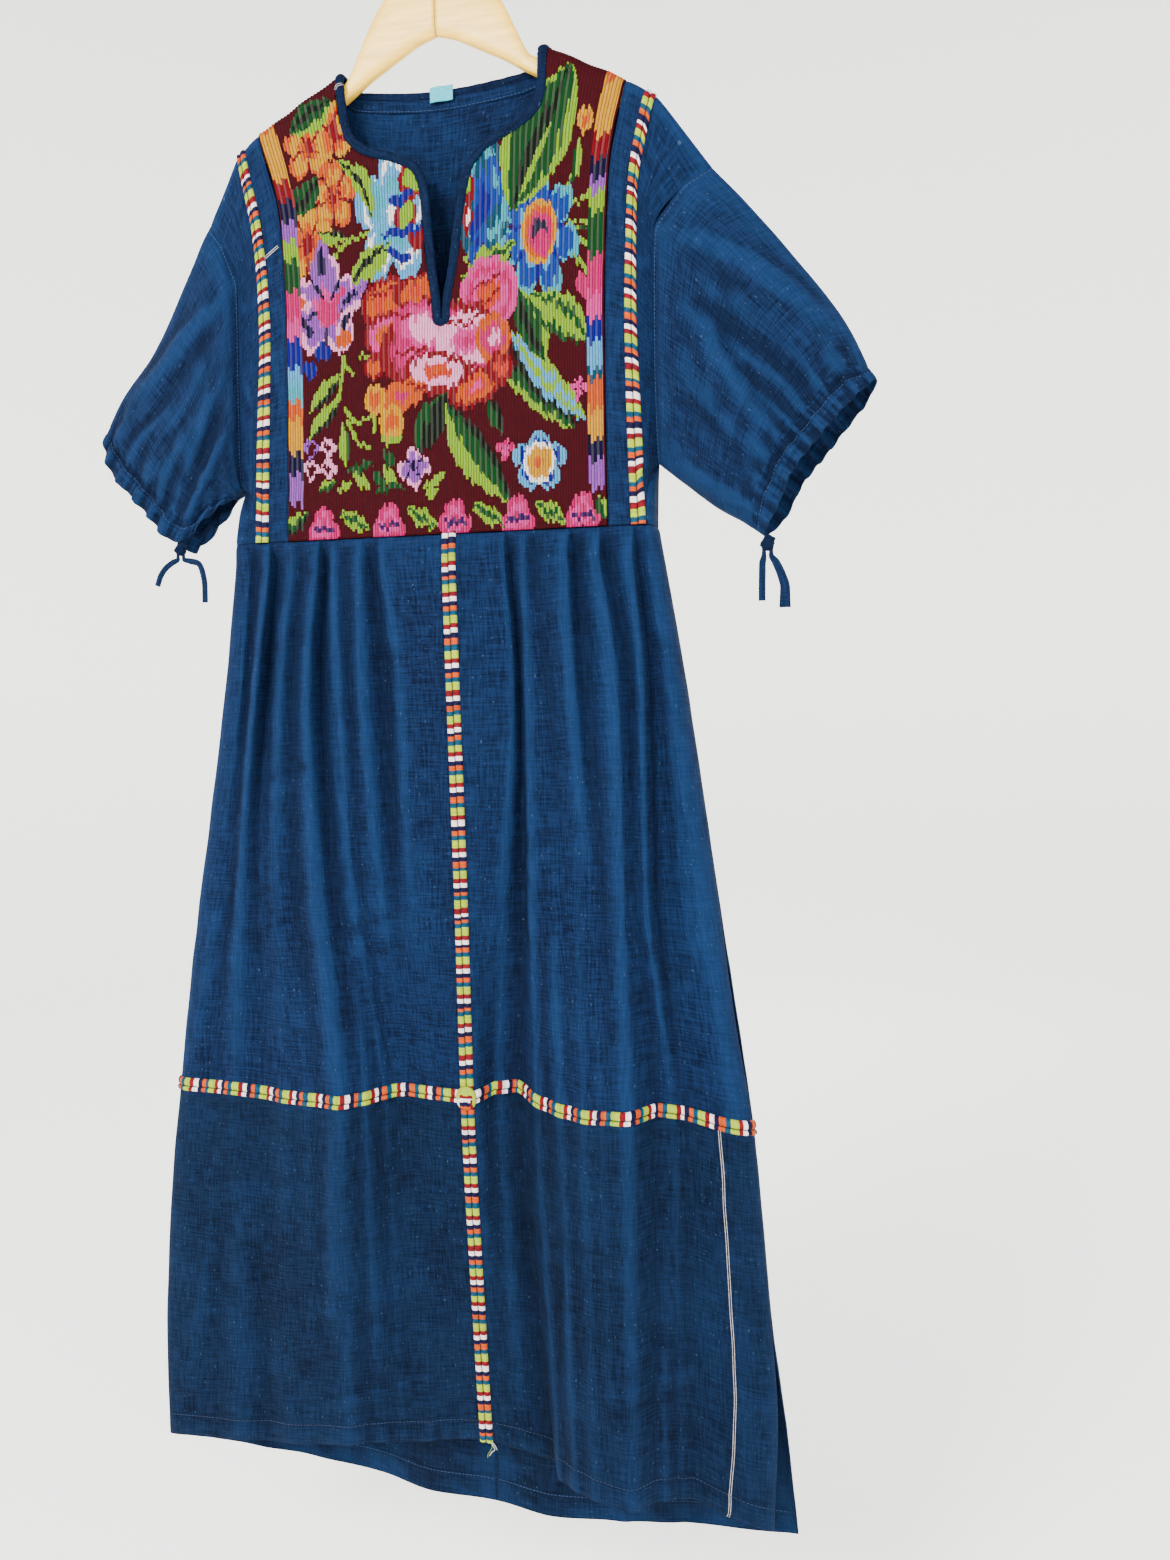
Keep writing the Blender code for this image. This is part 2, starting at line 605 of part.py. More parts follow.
def centre_trim(tier, levels):
    """The randa down the middle seam, on the same rows as the cloth under it."""
    strip = []
    for v in levels:
        middle = level_values(FRONT_CENTRE, v, False)
        strip.append([middle + np.array([offset, 0.0, 0.0]) for offset, _ in TRIM_PROFILE])
    strip = np.array(strip[::-1])
    strip = ease_edge(strip, top=HALF_GAP, foot=HALF_GAP)
    trim_band(f"trim_centre_{tier}", strip)


def skirt_back():
    upper, lower = skirt_levels()
    levels = [0, 0.5, 1, 1.5, 2, 3] + lower
    centre = next(i for i, fold in enumerate(BACK_FOLDS) if fold.name == "back_centre")
    halves = (
        ("left", BACK_FOLDS[: centre + 1], True),
        ("right", BACK_FOLDS[centre:], False),
    )
    for side, folds, side_first in halves:
        places = column_places(folds, side_first)
        grid = tier_points(folds, side, "back", side_first, levels, places)
        inner = {"right": HALF_GAP} if side_first else {"left": HALF_GAP}
        wall_from(f"skirt_back_{side}", ease_edge(grid, top=SLANT_EASE, **inner)[::-1], CLOTH_WALL, "indigo")


# Yoke and bodice

def yoke_edge(side, column, z):
    table = YOKE_LEFT if side == "left" else YOKE_RIGHT
    heights = [row.z for row in table]
    return float(smooth(heights, [getattr(row, column) for row in table], z))


def ridge_x(side, column):
    """Where an edge line of the yoke meets the shoulder seam."""
    z = -190.0
    for _ in range(8):
        x = yoke_edge(side, column, z)
        z = shoulder_z(x)
    return x


def edge_line(side, column):
    """Points x, z of an edge line of the yoke on the yoke's rows."""
    top_x = ridge_x(side, column)
    top_z = shoulder_z(top_x)
    points = []
    for row in YOKE_ROWS:
        z = top_z - row.drop if row.share is None else YOKE_SEAM + (top_z - TOP_DROP - YOKE_SEAM) * row.share
        points.append(np.array([yoke_edge(side, column, z), z]))
    return points


def on_wall(row, face):
    """Gives x, z points their y on a face of the yoke."""
    side = -1 if face == "front" else 1
    return [(x, yoke_depth(x, z, side), z) for x, z in row]


def over_shoulder(rows):
    """Adds the rows that turn over the shoulder to the top of the back, under the last row."""
    ridge = rows[-1]
    for flap in FLAP_ROWS:
        rows.append(on_wall([(x, shoulder_z(x) - flap.drop) for x, _, _ in ridge], "back"))
    return rows


def neck_path(side):
    """The binding's middle line from the foot of the slit up to the neck point, as x, z."""
    return curve_through(NECK_LEFT if side == "left" else NECK_RIGHT)


def beside_neck(side, s):
    """A point of the floral panel's edge along the neck, clear of the binding, as x, z."""
    path = neck_path(side)
    before, after = path(max(s - 0.01, 0)), path(min(s + 0.01, 1))
    along = (after - before) / np.linalg.norm(after - before)
    outward = -1 if side == "left" else 1
    return path(s) + np.array([along[1], -along[0]]) * outward * (BINDING_HALF_WIDTH + SEAM_GAP)


def panel_edges(side):
    """The floral panel's outer and inner edge points and the drop of each row."""
    line = edge_line(side, "panel")
    foot_z = NECK_FOOT[1] - BINDING_HALF_WIDTH - EDGE_GAP
    foot_half = NECK_RIGHT[0][0] - CENTRE_X + BINDING_HALF_WIDTH + EDGE_GAP
    base = YOKE_SEAM + HALF_GAP
    outer, inner, drops = [], [], []
    for row, point in zip(YOKE_ROWS[: PANEL_FOOT_ROW + 1], line):
        outer.append(point)
        inner.append((CENTRE_X, base + (foot_z - base) * row.share / YOKE_ROWS[PANEL_FOOT_ROW].share))
        drops.append(None)
    for place in PANEL_ROWS:
        here, above = line[place.row], line[min(place.row + 1, len(line) - 1)]
        outer.append(here + (above - here) * place.part)
        drop = YOKE_ROWS[place.row].drop if place.part == 0 else None
        x, z = beside_neck(side, place.neck)
        if place.neck == 0:
            x, z = CENTRE_X + foot_half * (-1 if side == "left" else 1), NECK_FOOT[1]
        inner.append((x, shoulder_z(x) - drop) if drop is not None else (x, z))
        drops.append(drop)
    return outer, inner, drops


def floral_panel():
    """The brocaded panel: two halves that join under the slit and end at the shoulder seams."""
    shape = bmesh.new()
    places = [k / PANEL_COLUMNS for k in range(PANEL_COLUMNS + 1)]
    for side in ("left", "right"):
        rows = []
        for start, finish, drop in zip(*panel_edges(side)):
            start, finish = np.asarray(start), np.asarray(finish)
            row = [start + (finish - start) * s for s in places]
            if drop is not None and drop < TOP_DROP:
                row = [(x, shoulder_z(x) - drop) for x, _ in row]
            rows.append(on_wall(row, "front"))
        rows = np.array(over_shoulder(rows))
        rows[0, :, 2] = YOKE_SEAM + HALF_GAP
        add_grid(shape, rows)
    bmesh.ops.remove_doubles(shape, verts=shape.verts, dist=MERGE_DISTANCE)
    solidified("floral_panel", shape, PANEL_WALL, "maroon")


def add_grid(shape, points):
    """Adds a grid of points in millimetres to a shape that may already hold one."""
    rows, columns = points.shape[0] - 1, points.shape[1] - 1
    made = bmesh.ops.create_grid(shape, x_segments=columns, y_segments=rows, size=0.5)
    for vertex in made["verts"]:
        column = round((vertex.co.x + 0.5) * columns)
        row = round((vertex.co.y + 0.5) * rows)
        vertex.co = points[row, column] * MM


def strip_points(side):
    """The narrow cloth strip between the floral panel and the yoke trim."""
    outward = -1 if side == "left" else 1
    rows = []
    for row, start, finish in zip(YOKE_ROWS, edge_line(side, "panel"), edge_line(side, "trim")):
        start = start + np.array([outward * 2 * SEAM_GAP, 0.0])
        across = (finish - start) / np.linalg.norm(finish - start)
        finish = finish - across * SEAM_GAP
        flat = finish - across * (TRIM_HALF - SEAM_GAP)
        points = [start, (start + flat) / 2, flat, finish]
        if row.share is None:
            points = [(x, shoulder_z(x) - row.drop) for x, _ in points]
        rows.append(on_wall(points, "front"))
    rows = np.array(over_shoulder(rows))
    rows[0, :, 2] += HALF_GAP
    return rows


def arm_curve(side):
    return curve_through(ARMHOLE_LEFT if side == "left" else ARMHOLE_RIGHT)


def sleeve_profile(b):
    """Depth of the sleeve across its width, as a share: round at its two edges, flat between."""
    return max(1 - abs(2 * b - 1) ** SLEEVE_SQUARENESS, 0.0) ** (1 / SLEEVE_SQUARENESS)


def arm_point(side, face, t):
    """A point of the armhole seam on straight lines between the stops of the yoke's rows."""
    sign = -1 if face == "front" else 1
    used = YOKE_ROWS if face == "front" else BACK_ROWS + FLAP_ROWS + YOKE_ROWS[-1:]
    stops = sorted(row.stop for row in used if row.stop is not None)
    curve = arm_curve(side)
    points = []
    for stop in stops:
        x, z = curve(stop)
        points.append((x, sign * (EDGE_GAP + ARMHOLE_DEPTH[face] * sleeve_profile(stop)), z))
    return np.array([np.interp(t, stops, values) for values in zip(*points)])


def bodice_end(side, face, k):
    """The outer end of a bodice row: on the armhole, or on the side edge under the arm."""
    rows = YOKE_ROWS if face == "front" else BACK_ROWS
    if rows[k].stop is None:
        x, z = UNDERARM_SIDE[side][k]
        sign = -1 if face == "front" else 1
        share = 1.0 if k == 0 else 0.5
        return np.array([x, SIDE_SEAM_DEPTH * share + sign * EDGE_GAP, z])
    return arm_point(side, face, rows[k].stop)


def side_points(side):
    """The piece from the yoke trim out to the armhole seam and the side edge."""
    rows = []
    for k, (yoke_row, line_point) in enumerate(zip(YOKE_ROWS, edge_line(side, "trim"))):
        end = bodice_end(side, "front", k)
        finish = end[[0, 2]]
        across = (finish - line_point) / np.linalg.norm(finish - line_point)
        start = line_point + across * SEAM_GAP
        finish = finish - across * HALF_GAP
        width = np.linalg.norm(finish - start)
        flat = TRIM_HALF - SEAM_GAP
        turn = min(SIDE_TURN[side], width - flat - 0.3)
        angles = [k * math.pi / 2 / TURN_STEPS for k in range(TURN_STEPS + 1)]
        places = [0.0, flat] + [width - turn + turn * math.sin(a) for a in angles]
        row = []
        for distance in places:
            x, z = start + across * distance
            if yoke_row.share is None and distance <= flat:
                z = shoulder_z(x) - yoke_row.drop
            y = yoke_depth(x, z, -1)
            if distance > flat:
                under = yoke_row.stop is None
                angle = max((distance - (width - turn)) / turn, 0.0)
                along = (distance - flat) / (width - flat)
                round_edge = math.sqrt(max(1 - angle**2, 0))
                left_over = round_edge if under else 0.5 + 0.5 * math.cos(math.pi * along)
                y = end[1] + (y - end[1]) * left_over
            row.append((x, y, z))
        rows.append(row)
    rows[-1] = [(x, 0.0, shoulder_z(x)) for x, _, _ in rows[-1]]
    rows = over_shoulder(rows)
    for row, flap in zip(rows[-len(FLAP_ROWS):], FLAP_ROWS):
        end = arm_point(side, "back", flap.stop)
        for k in range(3, len(row)):
            share = ((k - 2) / (len(row) - 3)) ** 2
            row[k] = tuple(np.array(row[k]) * (1 - share) + end * share)
        inner = np.array(row[-2]) - end
        row[-1] = tuple(end + inner / np.linalg.norm(inner) * SLANT_EASE)
    rows = np.array(rows)
    rows[0, :, 2] += HALF_GAP
    return rows


def yoke_sides():
    """The strips and the outer pieces of the yoke, and the randa over the seam between them."""
    for side in ("left", "right"):
        strip, outer = strip_points(side), side_points(side)
        wall_from(f"yoke_strip_{side}", strip, CLOTH_WALL, "indigo")
        wall_from(f"bodice_side_{side}", outer, CLOTH_WALL, "indigo")
        under = np.concatenate([strip[:, 2:], outer[:, :2]], axis=1)
        places = (-TRIM_HALF, -SEAM_GAP, SEAM_GAP, TRIM_HALF)
        stations = []
        for row in under[: len(YOKE_ROWS) - 1]:
            stations.append([[np.interp(o, places, row[:, k]) for k in range(3)] for o, _ in TRIM_PROFILE])
        stations = np.array(stations)
        if side == "right":
            trim_band("trim_yoke_right", stations)
        else:
            trim_band("trim_yoke_left", stations[:, ::-1])


def back_columns():
    """Places across the back, with the turns to both sides and the neck's corners."""
    left, right = UNDERARM_SIDE["left"][0][0], UNDERARM_SIDE["right"][0][0]
    share = BACK_TURN / (right - left)
    turn = [share * (1 - math.cos(k * math.pi / 2 / TURN_STEPS)) for k in range(TURN_STEPS + 1)]
    left_x, right_x = (bodice_end(side, "back", -1)[0] for side in ("left", "right"))
    middle = [(x - left_x) / (right_x - left_x) for x in BACK_TOP_X]
    return turn + middle + [1 - t for t in reversed(turn)]


def back_neck_edge():
    """The back's edge under the neck binding, as rising x and z."""
    path = np.array([NECK_RIGHT[-1], *NECK_BACK, NECK_LEFT[-1]], float)
    along = unit_rows(path[2:] - path[:-2])
    clear = BINDING_HALF_WIDTH + NECK_EASE
    edge = path[1:-1] + np.stack([-along[:, 1], along[:, 0]], axis=1) * clear
    return edge[::-1]


def back_top(x):
    """The level that the back's rows hang from: the shoulders, and the neck between them."""
    edge = back_neck_edge()
    if edge[0, 0] - 0.5 < x < edge[-1, 0] + 0.5:
        return float(np.interp(x, edge[:, 0], edge[:, 1])) + BACK_ROWS[-1].drop
    return shoulder_z(x)


def bodice_back():
    """The plain back from just under the shoulders and the back neck down to the yoke seam."""
    places = back_columns()
    turn_share = places[TURN_STEPS]
    tips = [bodice_end(side, "back", -1) for side in ("left", "right")]
    rows = []
    for k, yoke_row in enumerate(BACK_ROWS):

        def natural_z(s):
            top = back_top(tips[0][0] + (tips[1][0] - tips[0][0]) * s)
            if yoke_row.share is None:
                return top - yoke_row.drop
            return YOKE_SEAM + (top - TOP_DROP - YOKE_SEAM) * yoke_row.share

        left, right = bodice_end("left", "back", k), bodice_end("right", "back", k)
        row = []
        for s in places:
            end, corner = (left, 0.0) if s < 0.5 else (right, 1.0)
            edge = max(1 - abs(s - corner) / ARMHOLE_PULL, 0.0)
            x = left[0] + (right[0] - left[0]) * s
            z = natural_z(s) + (end[2] - natural_z(corner)) * edge**2
            y = yoke_depth(x, z, 1)
            angle = max(1 - abs(s - corner) / turn_share, 0.0)
            left_over = math.sqrt(max(1 - angle**2, 0)) if yoke_row.stop is None else 1 - edge**2
            row.append((x, end[1] + (y - end[1]) * left_over, z))
        rows.append(row)
    rows = np.array(rows)
    rows[0, :, 2] = YOKE_SEAM + HALF_GAP
    rows = ease_edge(rows, left=HALF_GAP, right=HALF_GAP)
    wall_from("bodice_back", rows, CLOTH_WALL, "indigo")


def neck_binding():
    """One closed oval roll down the front neckline, round the slit's foot and along the back."""
    stops = [place.neck for place in PANEL_ROWS[:-2]] + [1.0]
    left = [neck_path("left")(s) for s in reversed(stops)]
    right = [neck_path("right")(s) for s in stops]
    foot_x, foot_z = NECK_FOOT
    radius = NECK_RIGHT[0][0] - foot_x
    turn = [
        (foot_x + radius * math.cos(a), foot_z + radius + 1.0 + radius * math.sin(a))
        for a in (math.radians(225), math.radians(270), math.radians(315))
    ]
    path = [(x, z, -1) for x, z in left + turn + right] + [(x, z, 1) for x, z in NECK_BACK]
    points = np.array([(x, yoke_depth(x, z, side), z) for x, z, side in path])
    rings = []
    count = len(points)
    for i, (point, (x, z, side)) in enumerate(zip(points, path)):
        ahead = points[(i + 1) % count] - points[i]
        behind = points[i] - points[i - 1]
        along = ahead / np.linalg.norm(ahead) + behind / np.linalg.norm(behind)
        along /= np.linalg.norm(along)
        root = max(shoulder_z(x) - z, 0.0) + SHOULDER_RADIUS
        rise = SHOULDER_RADIUS / root
        facing = np.array([0.0, side * math.sqrt(max(1 - rise * rise, 0.0)), rise])
        facing -= along * (facing @ along)
        facing /= np.linalg.norm(facing)
        wide = np.cross(along, facing)
        ring = []
        for k in range(BINDING_SIDES):
            angle = 2 * math.pi * (k + 0.5) / BINDING_SIDES
            ring.append(
                point
                + wide * BINDING_HALF_WIDTH * math.cos(angle) / math.cos(math.pi / BINDING_SIDES)
                + facing * BINDING_HALF_DEPTH * math.sin(angle)
            )
        rings.append(ring)
    loft("neck_binding", rings, "indigo", closed=True)


def neck_tab():
    """The small plain fabric tab that hangs inside the back neck."""
    shape = bmesh.new()
    bmesh.ops.create_cube(shape, size=1.0)
    for vertex in shape.verts:
        vertex.co = (TAB_MIDDLE + np.array(vertex.co) * TAB_SIZE) * MM
    mesh = bpy.data.meshes.new("neck_tab")
    shape.to_mesh(mesh)
    shape.free()
    add_object("neck_tab", mesh, "turquoise")


# Sleeves

def sleeve_surface(side, face):
    """x, z by place along (0 armhole, 1 cuff line, 2 gathered edge) and across the sleeve."""
    cut = SLEEVES[side]
    inward = -1 if side == "left" else 1
    places, reaches = zip(*cut.back_reach)
    edge_curve = curve_through(cut.end)
    top, under = curve_through(cut.top), curve_through(cut.under)

    def arm(b):
        before, after = (arm_point(side, face, t)[[0, 2]] for t in (max(b - 0.004, 0), min(b + 0.004, 1)))
        along = (after - before) / np.linalg.norm(after - before)
        return arm_point(side, face, b)[[0, 2]] - np.array([along[1], -along[0]]) * inward * ARM_CLEAR

    def from_edge(b, width):
        toward_arm = arm(b) - edge_curve(b)
        return edge_curve(b) + toward_arm / np.linalg.norm(toward_arm) * width

    def reach(b):
        return smooth(places, reaches, b) if face == "back" else 0.0

    def edge(b):
        return from_edge(b, -reach(b))

    def cuff_line(b):
        shrink = CUFF_WIDTH * min(1.0, 4 * b + cut.top_share, 4 * (1 - b) + cut.under_share)
        return from_edge(b, shrink - 0.5 * reach(b))

    def toward(curve, start, corner, a):
        return curve(a) + (corner - curve(1)) * a**3 + (start - curve(0)) * (1 - a) ** 3

    starts = arm(0), arm(1)
    corners = cuff_line(0), cuff_line(1)

    def at(a, b):
        if a > 1:
            return cuff_line(b) + (edge(b) - cuff_line(b)) * (a - 1)
        upper, lower = toward(top, starts[0], corners[0], a), toward(under, starts[1], corners[1], a)
        across = (1 - b) * upper + b * lower
        along = (1 - a) * arm(b) + a * cuff_line(b)
        flat = (1 - a) * ((1 - b) * starts[0] + b * starts[1]) + a * ((1 - b) * corners[0] + b * corners[1])
        return across + along - flat

    return at


def sleeve_point(side, face, surface, a, b):
    x, z = surface(a, b)
    sign = -1 if face == "front" else 1
    share = 1.0 if face == "front" else SLEEVE_BACK_SHARE
    profile = sleeve_profile(b)
    places, depths = zip(*SLEEVES[side].depths)
    depth = smooth(places, depths, min(a, 1.0)) * profile * share
    if a == 0:
        return (x, arm_point(side, face, b)[1], z)
    for fold in SLEEVE_FOLDS[side]:
        centre = fold.at_arm + (fold.at_cuff - fold.at_arm) * min(a, 1.0)
        centre = centre if face == "front" else 1 - centre
        rise = min(max((a - fold.start) / SLEEVE_FOLD_RISE, 0.0), 1.0)
        fall = min(max((fold.end - a) / SLEEVE_FOLD_FALL + 1, 0.0), 1.0)
        swell = math.exp(-(((b - centre) / fold.width) ** 2))
        depth += fold.height * share * rise * fall * swell * profile
    swing = math.sin(2 * math.pi * CUFF_WAVES * b + CUFF_UNEVENNESS * math.sin(4 * math.pi * b))
    gathered = max(a - 1, 0.0)
    depth += GATHER_HEIGHT * swing * gathered**1.2 * profile
    depth -= CASING_PINCH * math.sin(math.pi * min(2 * gathered, 1.0)) * profile
    return (x, sign * (EDGE_GAP + depth), z)


def sleeves():
    along = (0.0, 0.04, 0.1, 0.25, 0.42, 0.6, 0.8, 1.0)
    gathers = list(SLEEVE_COLUMNS[:3])
    for start, finish in zip(SLEEVE_COLUMNS[2:-3], SLEEVE_COLUMNS[3:-2]):
        gathers += [start + (finish - start) * (k + 1) / CUFF_SPLIT for k in range(CUFF_SPLIT)]
    gathers += SLEEVE_COLUMNS[-2:]
    for side in ("left", "right"):
        for face in ("front", "back"):
            surface = sleeve_surface(side, face)
            body = np.array(
                [[sleeve_point(side, face, surface, a, b) for b in SLEEVE_COLUMNS] for a in along]
            )
            seam = [[np.interp(b, SLEEVE_COLUMNS, body[-1, :, k]) for k in range(3)] for b in gathers]
            body = ease_edge(body, foot=EDGE_GAP)
            wall_from(f"sleeve_{face}_{side}", body, CLOTH_WALL, "indigo")
            rest = [[sleeve_point(side, face, surface, 1 + a, b) for b in gathers] for a in (0.5, 1.0)]
            cuff = ease_edge(np.array([seam] + rest), top=EDGE_GAP)
            wall_from(f"cuff_{face}_{side}", cuff, CLOTH_WALL, "indigo")


def ties():
    """The drawstring's knot at the foot of each cuff, and its two free ends."""
    width, depth, height = KNOT_SIZE
    for side, (x, y, top) in KNOTS.items():
        shape = bmesh.new()
        bmesh.ops.create_cube(shape, size=1.0)
        middle = np.array([x, y, top - height / 2])
        for vertex in shape.verts:
            vertex.co = (middle + np.array(vertex.co) * KNOT_SIZE) * MM
        bmesh.ops.bevel(
            shape, geom=shape.edges, offset=KNOT_ROUNDING * MM, segments=2, profile=0.5, affect="EDGES"
        )
        mesh = bpy.data.meshes.new(f"tie_knot_{side}")
        shape.to_mesh(mesh)
        shape.free()
        mesh.shade_smooth()
        add_object(f"tie_knot_{side}", mesh, "indigo")
    for (side, end), route in TIE_ENDS.items():
        x, y, top = KNOTS[side]
        leaving = TIE_SPACING * (1 if route[0][0] > x else -1)
        start = np.array([x + leaving, y, top - height - TIE_GAP])
        below = start - np.array([0.0, 0.0, TIE_DROP])
        path = curve_through([below, *route])
        length = np.linalg.norm(np.diff([below, *route], axis=0), axis=1).sum()
        points = [start] + [path(s) for s in np.linspace(0, 1, round(length / TIE_STEP) + 1)]
        tube(f"tie_end_{side}_{end}", points, TIE_RADIUS, "indigo")


def tube(name, points, radius, material):
    curve = bpy.data.curves.new(name, "CURVE")
    curve.dimensions = "3D"
    curve.bevel_depth = radius * MM
    curve.bevel_resolution = 2
    curve.use_fill_caps = True
    spline = curve.splines.new("POLY")
    spline.points.add(len(points) - 1)
    for knot, point in zip(spline.points, points):
        knot.co = (*(c * MM for c in point), 1.0)
    return add_object(name, curve, material)


# Hanger

def hanger():
    for side, sign in (("left", -1), ("right", 1)):
        rings = []
        for x, top, foot in BOARD:
            middle, half = (top + foot) / 2, (top - foot) / 2
            cut = min(BOARD_ROUNDING, half * 0.6)
            corners = [(BOARD_HALF, half - cut), (BOARD_HALF - cut, half)]
            corners += [(-y, z) for y, z in reversed(corners)]
            corners += [(-y, -z) for y, z in corners]
            rings.append([(sign * x, y, middle + z) for y, z in corners])
        loft(f"hanger_arm_{side}", rings, "wood")
    wire = HOOK_INNER_RADIUS + HOOK_WIRE_RADIUS
    top_of_wood = BOARD[0][1] + SEAM_GAP
    points = [(0.0, 0.0, top_of_wood), (0.0, 0.0, top_of_wood + 5.0), (0.6, 0.0, top_of_wood + 10.0)]
    for k in range(HOOK_STEPS + 1):
        angle = math.radians(HOOK_START + HOOK_SWEEP * k / HOOK_STEPS)
        points.append((wire * math.cos(angle), 0.0, -HOOK_INNER_RADIUS + wire * math.sin(angle)))
    tube("hanger_hook", points, HOOK_WIRE_RADIUS, "wire")


def main():
    clear_scene()
    collection = bpy.data.collections.new(COLLECTION)
    bpy.context.scene.collection.children.link(collection)
    hanger()
    floral_panel()
    yoke_sides()
    bodice_back()
    neck_binding()
    neck_tab()
    skirt_front()
    skirt_back()
    sleeves()
    ties()


main()
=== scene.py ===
"""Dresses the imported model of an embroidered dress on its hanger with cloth, thread and wood.

Lengths in the tables are millimetres. The meshes are in metres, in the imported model's frame: the
inside top of the hanger's hook is the origin, +Z is up and the front faces -Y.
"""

import math
import random
from collections import namedtuple
from functools import lru_cache

import bmesh
import bpy
import numpy as np
from bpy.props import FloatProperty, FloatVectorProperty, PointerProperty
from mathutils import Matrix, Vector


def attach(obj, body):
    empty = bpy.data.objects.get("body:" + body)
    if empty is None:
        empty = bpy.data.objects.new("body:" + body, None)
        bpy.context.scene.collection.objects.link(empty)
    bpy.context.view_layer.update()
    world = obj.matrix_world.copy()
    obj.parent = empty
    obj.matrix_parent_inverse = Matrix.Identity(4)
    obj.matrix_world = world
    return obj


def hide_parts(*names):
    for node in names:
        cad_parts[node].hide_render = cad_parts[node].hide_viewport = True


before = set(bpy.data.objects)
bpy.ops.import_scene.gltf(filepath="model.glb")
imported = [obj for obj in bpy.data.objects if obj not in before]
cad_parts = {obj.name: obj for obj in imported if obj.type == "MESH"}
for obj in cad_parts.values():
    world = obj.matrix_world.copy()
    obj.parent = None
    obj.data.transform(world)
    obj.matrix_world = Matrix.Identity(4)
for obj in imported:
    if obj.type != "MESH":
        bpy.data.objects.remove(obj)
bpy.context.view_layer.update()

bl_info = {
    "name": "Embroidered dress",
    "version": (1, 0, 0),
    "blender": (4, 5, 0),
    "location": "3D View > Sidebar > Dress",
    "description": "Cloth, brocade, randa trims and hanger over the packed dress",
    "category": "Object",
}

MM = 0.001
TINY = 1e-9
BODY = "root"
SIDES = ("left", "right")
OUTWARD = {"left": -1, "right": 1}
FACE_SIGN = {"front": -1, "back": 1}

MERGE_DISTANCE = 0.00002

# Gaps between the pieces, and how far their edges are drawn back
SEAM_GAP = 0.3
HALF_GAP = SEAM_GAP / 2
EDGE_GAP = 0.5
SLANT_EASE = 0.6
NECK_EASE = -1.5

# Heights of the garment's levels
YOKE_SEAM = -565.0
PLEAT_LEVEL = -586.0
THIGH_LEVEL = -703.0
MID_LEVEL = -889.0
SLIT_TOP = -1270.0
BACK_KNEE = -1085.0

# Depth of the yoke's front and back walls from the middle plane, at the shoulder and at the seam
SHOULDER_RADIUS = 9.0
YOKE_TOP_DEPTH = 10.5
YOKE_FRONT_DEPTH = 20.0
YOKE_BACK_DEPTH = 16.0
YOKE_DROP = 400.0
CENTRE_X = 7.5

# Rows of every yoke piece: place up its height, or drop below the shoulder seam, beside the
# armhole stop (from the shoulder tip to the underarm) where the row of the outer piece ends
TOP_DROP = 20.0
YokeRow = namedtuple("YokeRow", "share drop stop")
YOKE_ROWS = (
    YokeRow(0.0, None, None),
    YokeRow(0.06, None, None),
    YokeRow(0.12, None, 1.0),
    YokeRow(0.14, None, 0.996),
    YokeRow(0.17, None, 0.97),
    YokeRow(0.24, None, 0.9),
    YokeRow(0.39, None, 0.74),
    YokeRow(0.54, None, 0.58),
    YokeRow(0.69, None, 0.42),
    YokeRow(0.84, None, 0.26),
    YokeRow(1.0, 20.0, 0.1),
    YokeRow(None, 6.0, 0.03),
    YokeRow(None, 0.9, 0.004),
    YokeRow(None, 0.0, 0.0),
)
FLAP_ROWS = (YokeRow(None, 0.9, 0.004), YokeRow(None, 5.6, 0.027))
BACK_ROWS = YOKE_ROWS[:-3] + (YokeRow(None, 6.4, 0.032),)

# Randa trims: half their width, the places across them and how far the knee ones keep off the centre
TRIM_HALF = 6.5
TRIM_COLUMNS = (-6.5, -3.3, 0.0, 3.3, 6.5)
TRIM_CLEARANCE = 0.6

# Neck binding, an oval roll
BINDING_HALF_WIDTH = 4.3
BINDING_HALF_DEPTH = 2.4

# Small tab inside the back neck: middle x, y, z and full width, thickness, height
TAB_MIDDLE = (1.0, 6.7, -171.0)
TAB_SIZE = (22.0, 0.9, 13.0)

# Drawstring ties: both ends leave their knot from below
TIE_SPACING = 3.0
TIE_GAP = 0.08
KNOT_SIZE = (12.0, 10.0, 13.0)

# Hanger
BOARD_HALF = 5.5
HOOK_INNER_RADIUS = 19.0
HOOK_WIRE_RADIUS = 1.9
HOOK_START = -72.0
HOOK_SWEEP = 272.0
# The board along one arm: distance from the middle, top z, lower z
BOARD = (
    (0.15, -56.0, -125.0),
    (16.0, -58.0, -130.0),
    (32.0, -68.0, -138.0),
    (47.0, -84.0, -146.0),
    (62.0, -106.0, -154.0),
    (75.0, -132.0, -162.0),
    (88.0, -155.0, -170.0),
    (105.0, -160.5, -179.0),
    (140.0, -178.0, -196.0),
    (172.0, -194.0, -211.0),
    (187.0, -206.5, -220.0),
    (194.0, -213.0, -217.0),
)

# Shoulder ridge of each side: x from the middle, z
SHOULDER_LEFT = ((-229.0, -266.0), (-214.0, -236.0), (-199.0, -209.0), (-175.0, -189.0), (-92.0, -148.0))
SHOULDER_RIGHT = ((100.0, -150.0), (172.0, -188.0), (198.0, -205.0), (222.0, -237.0), (246.0, -270.0))

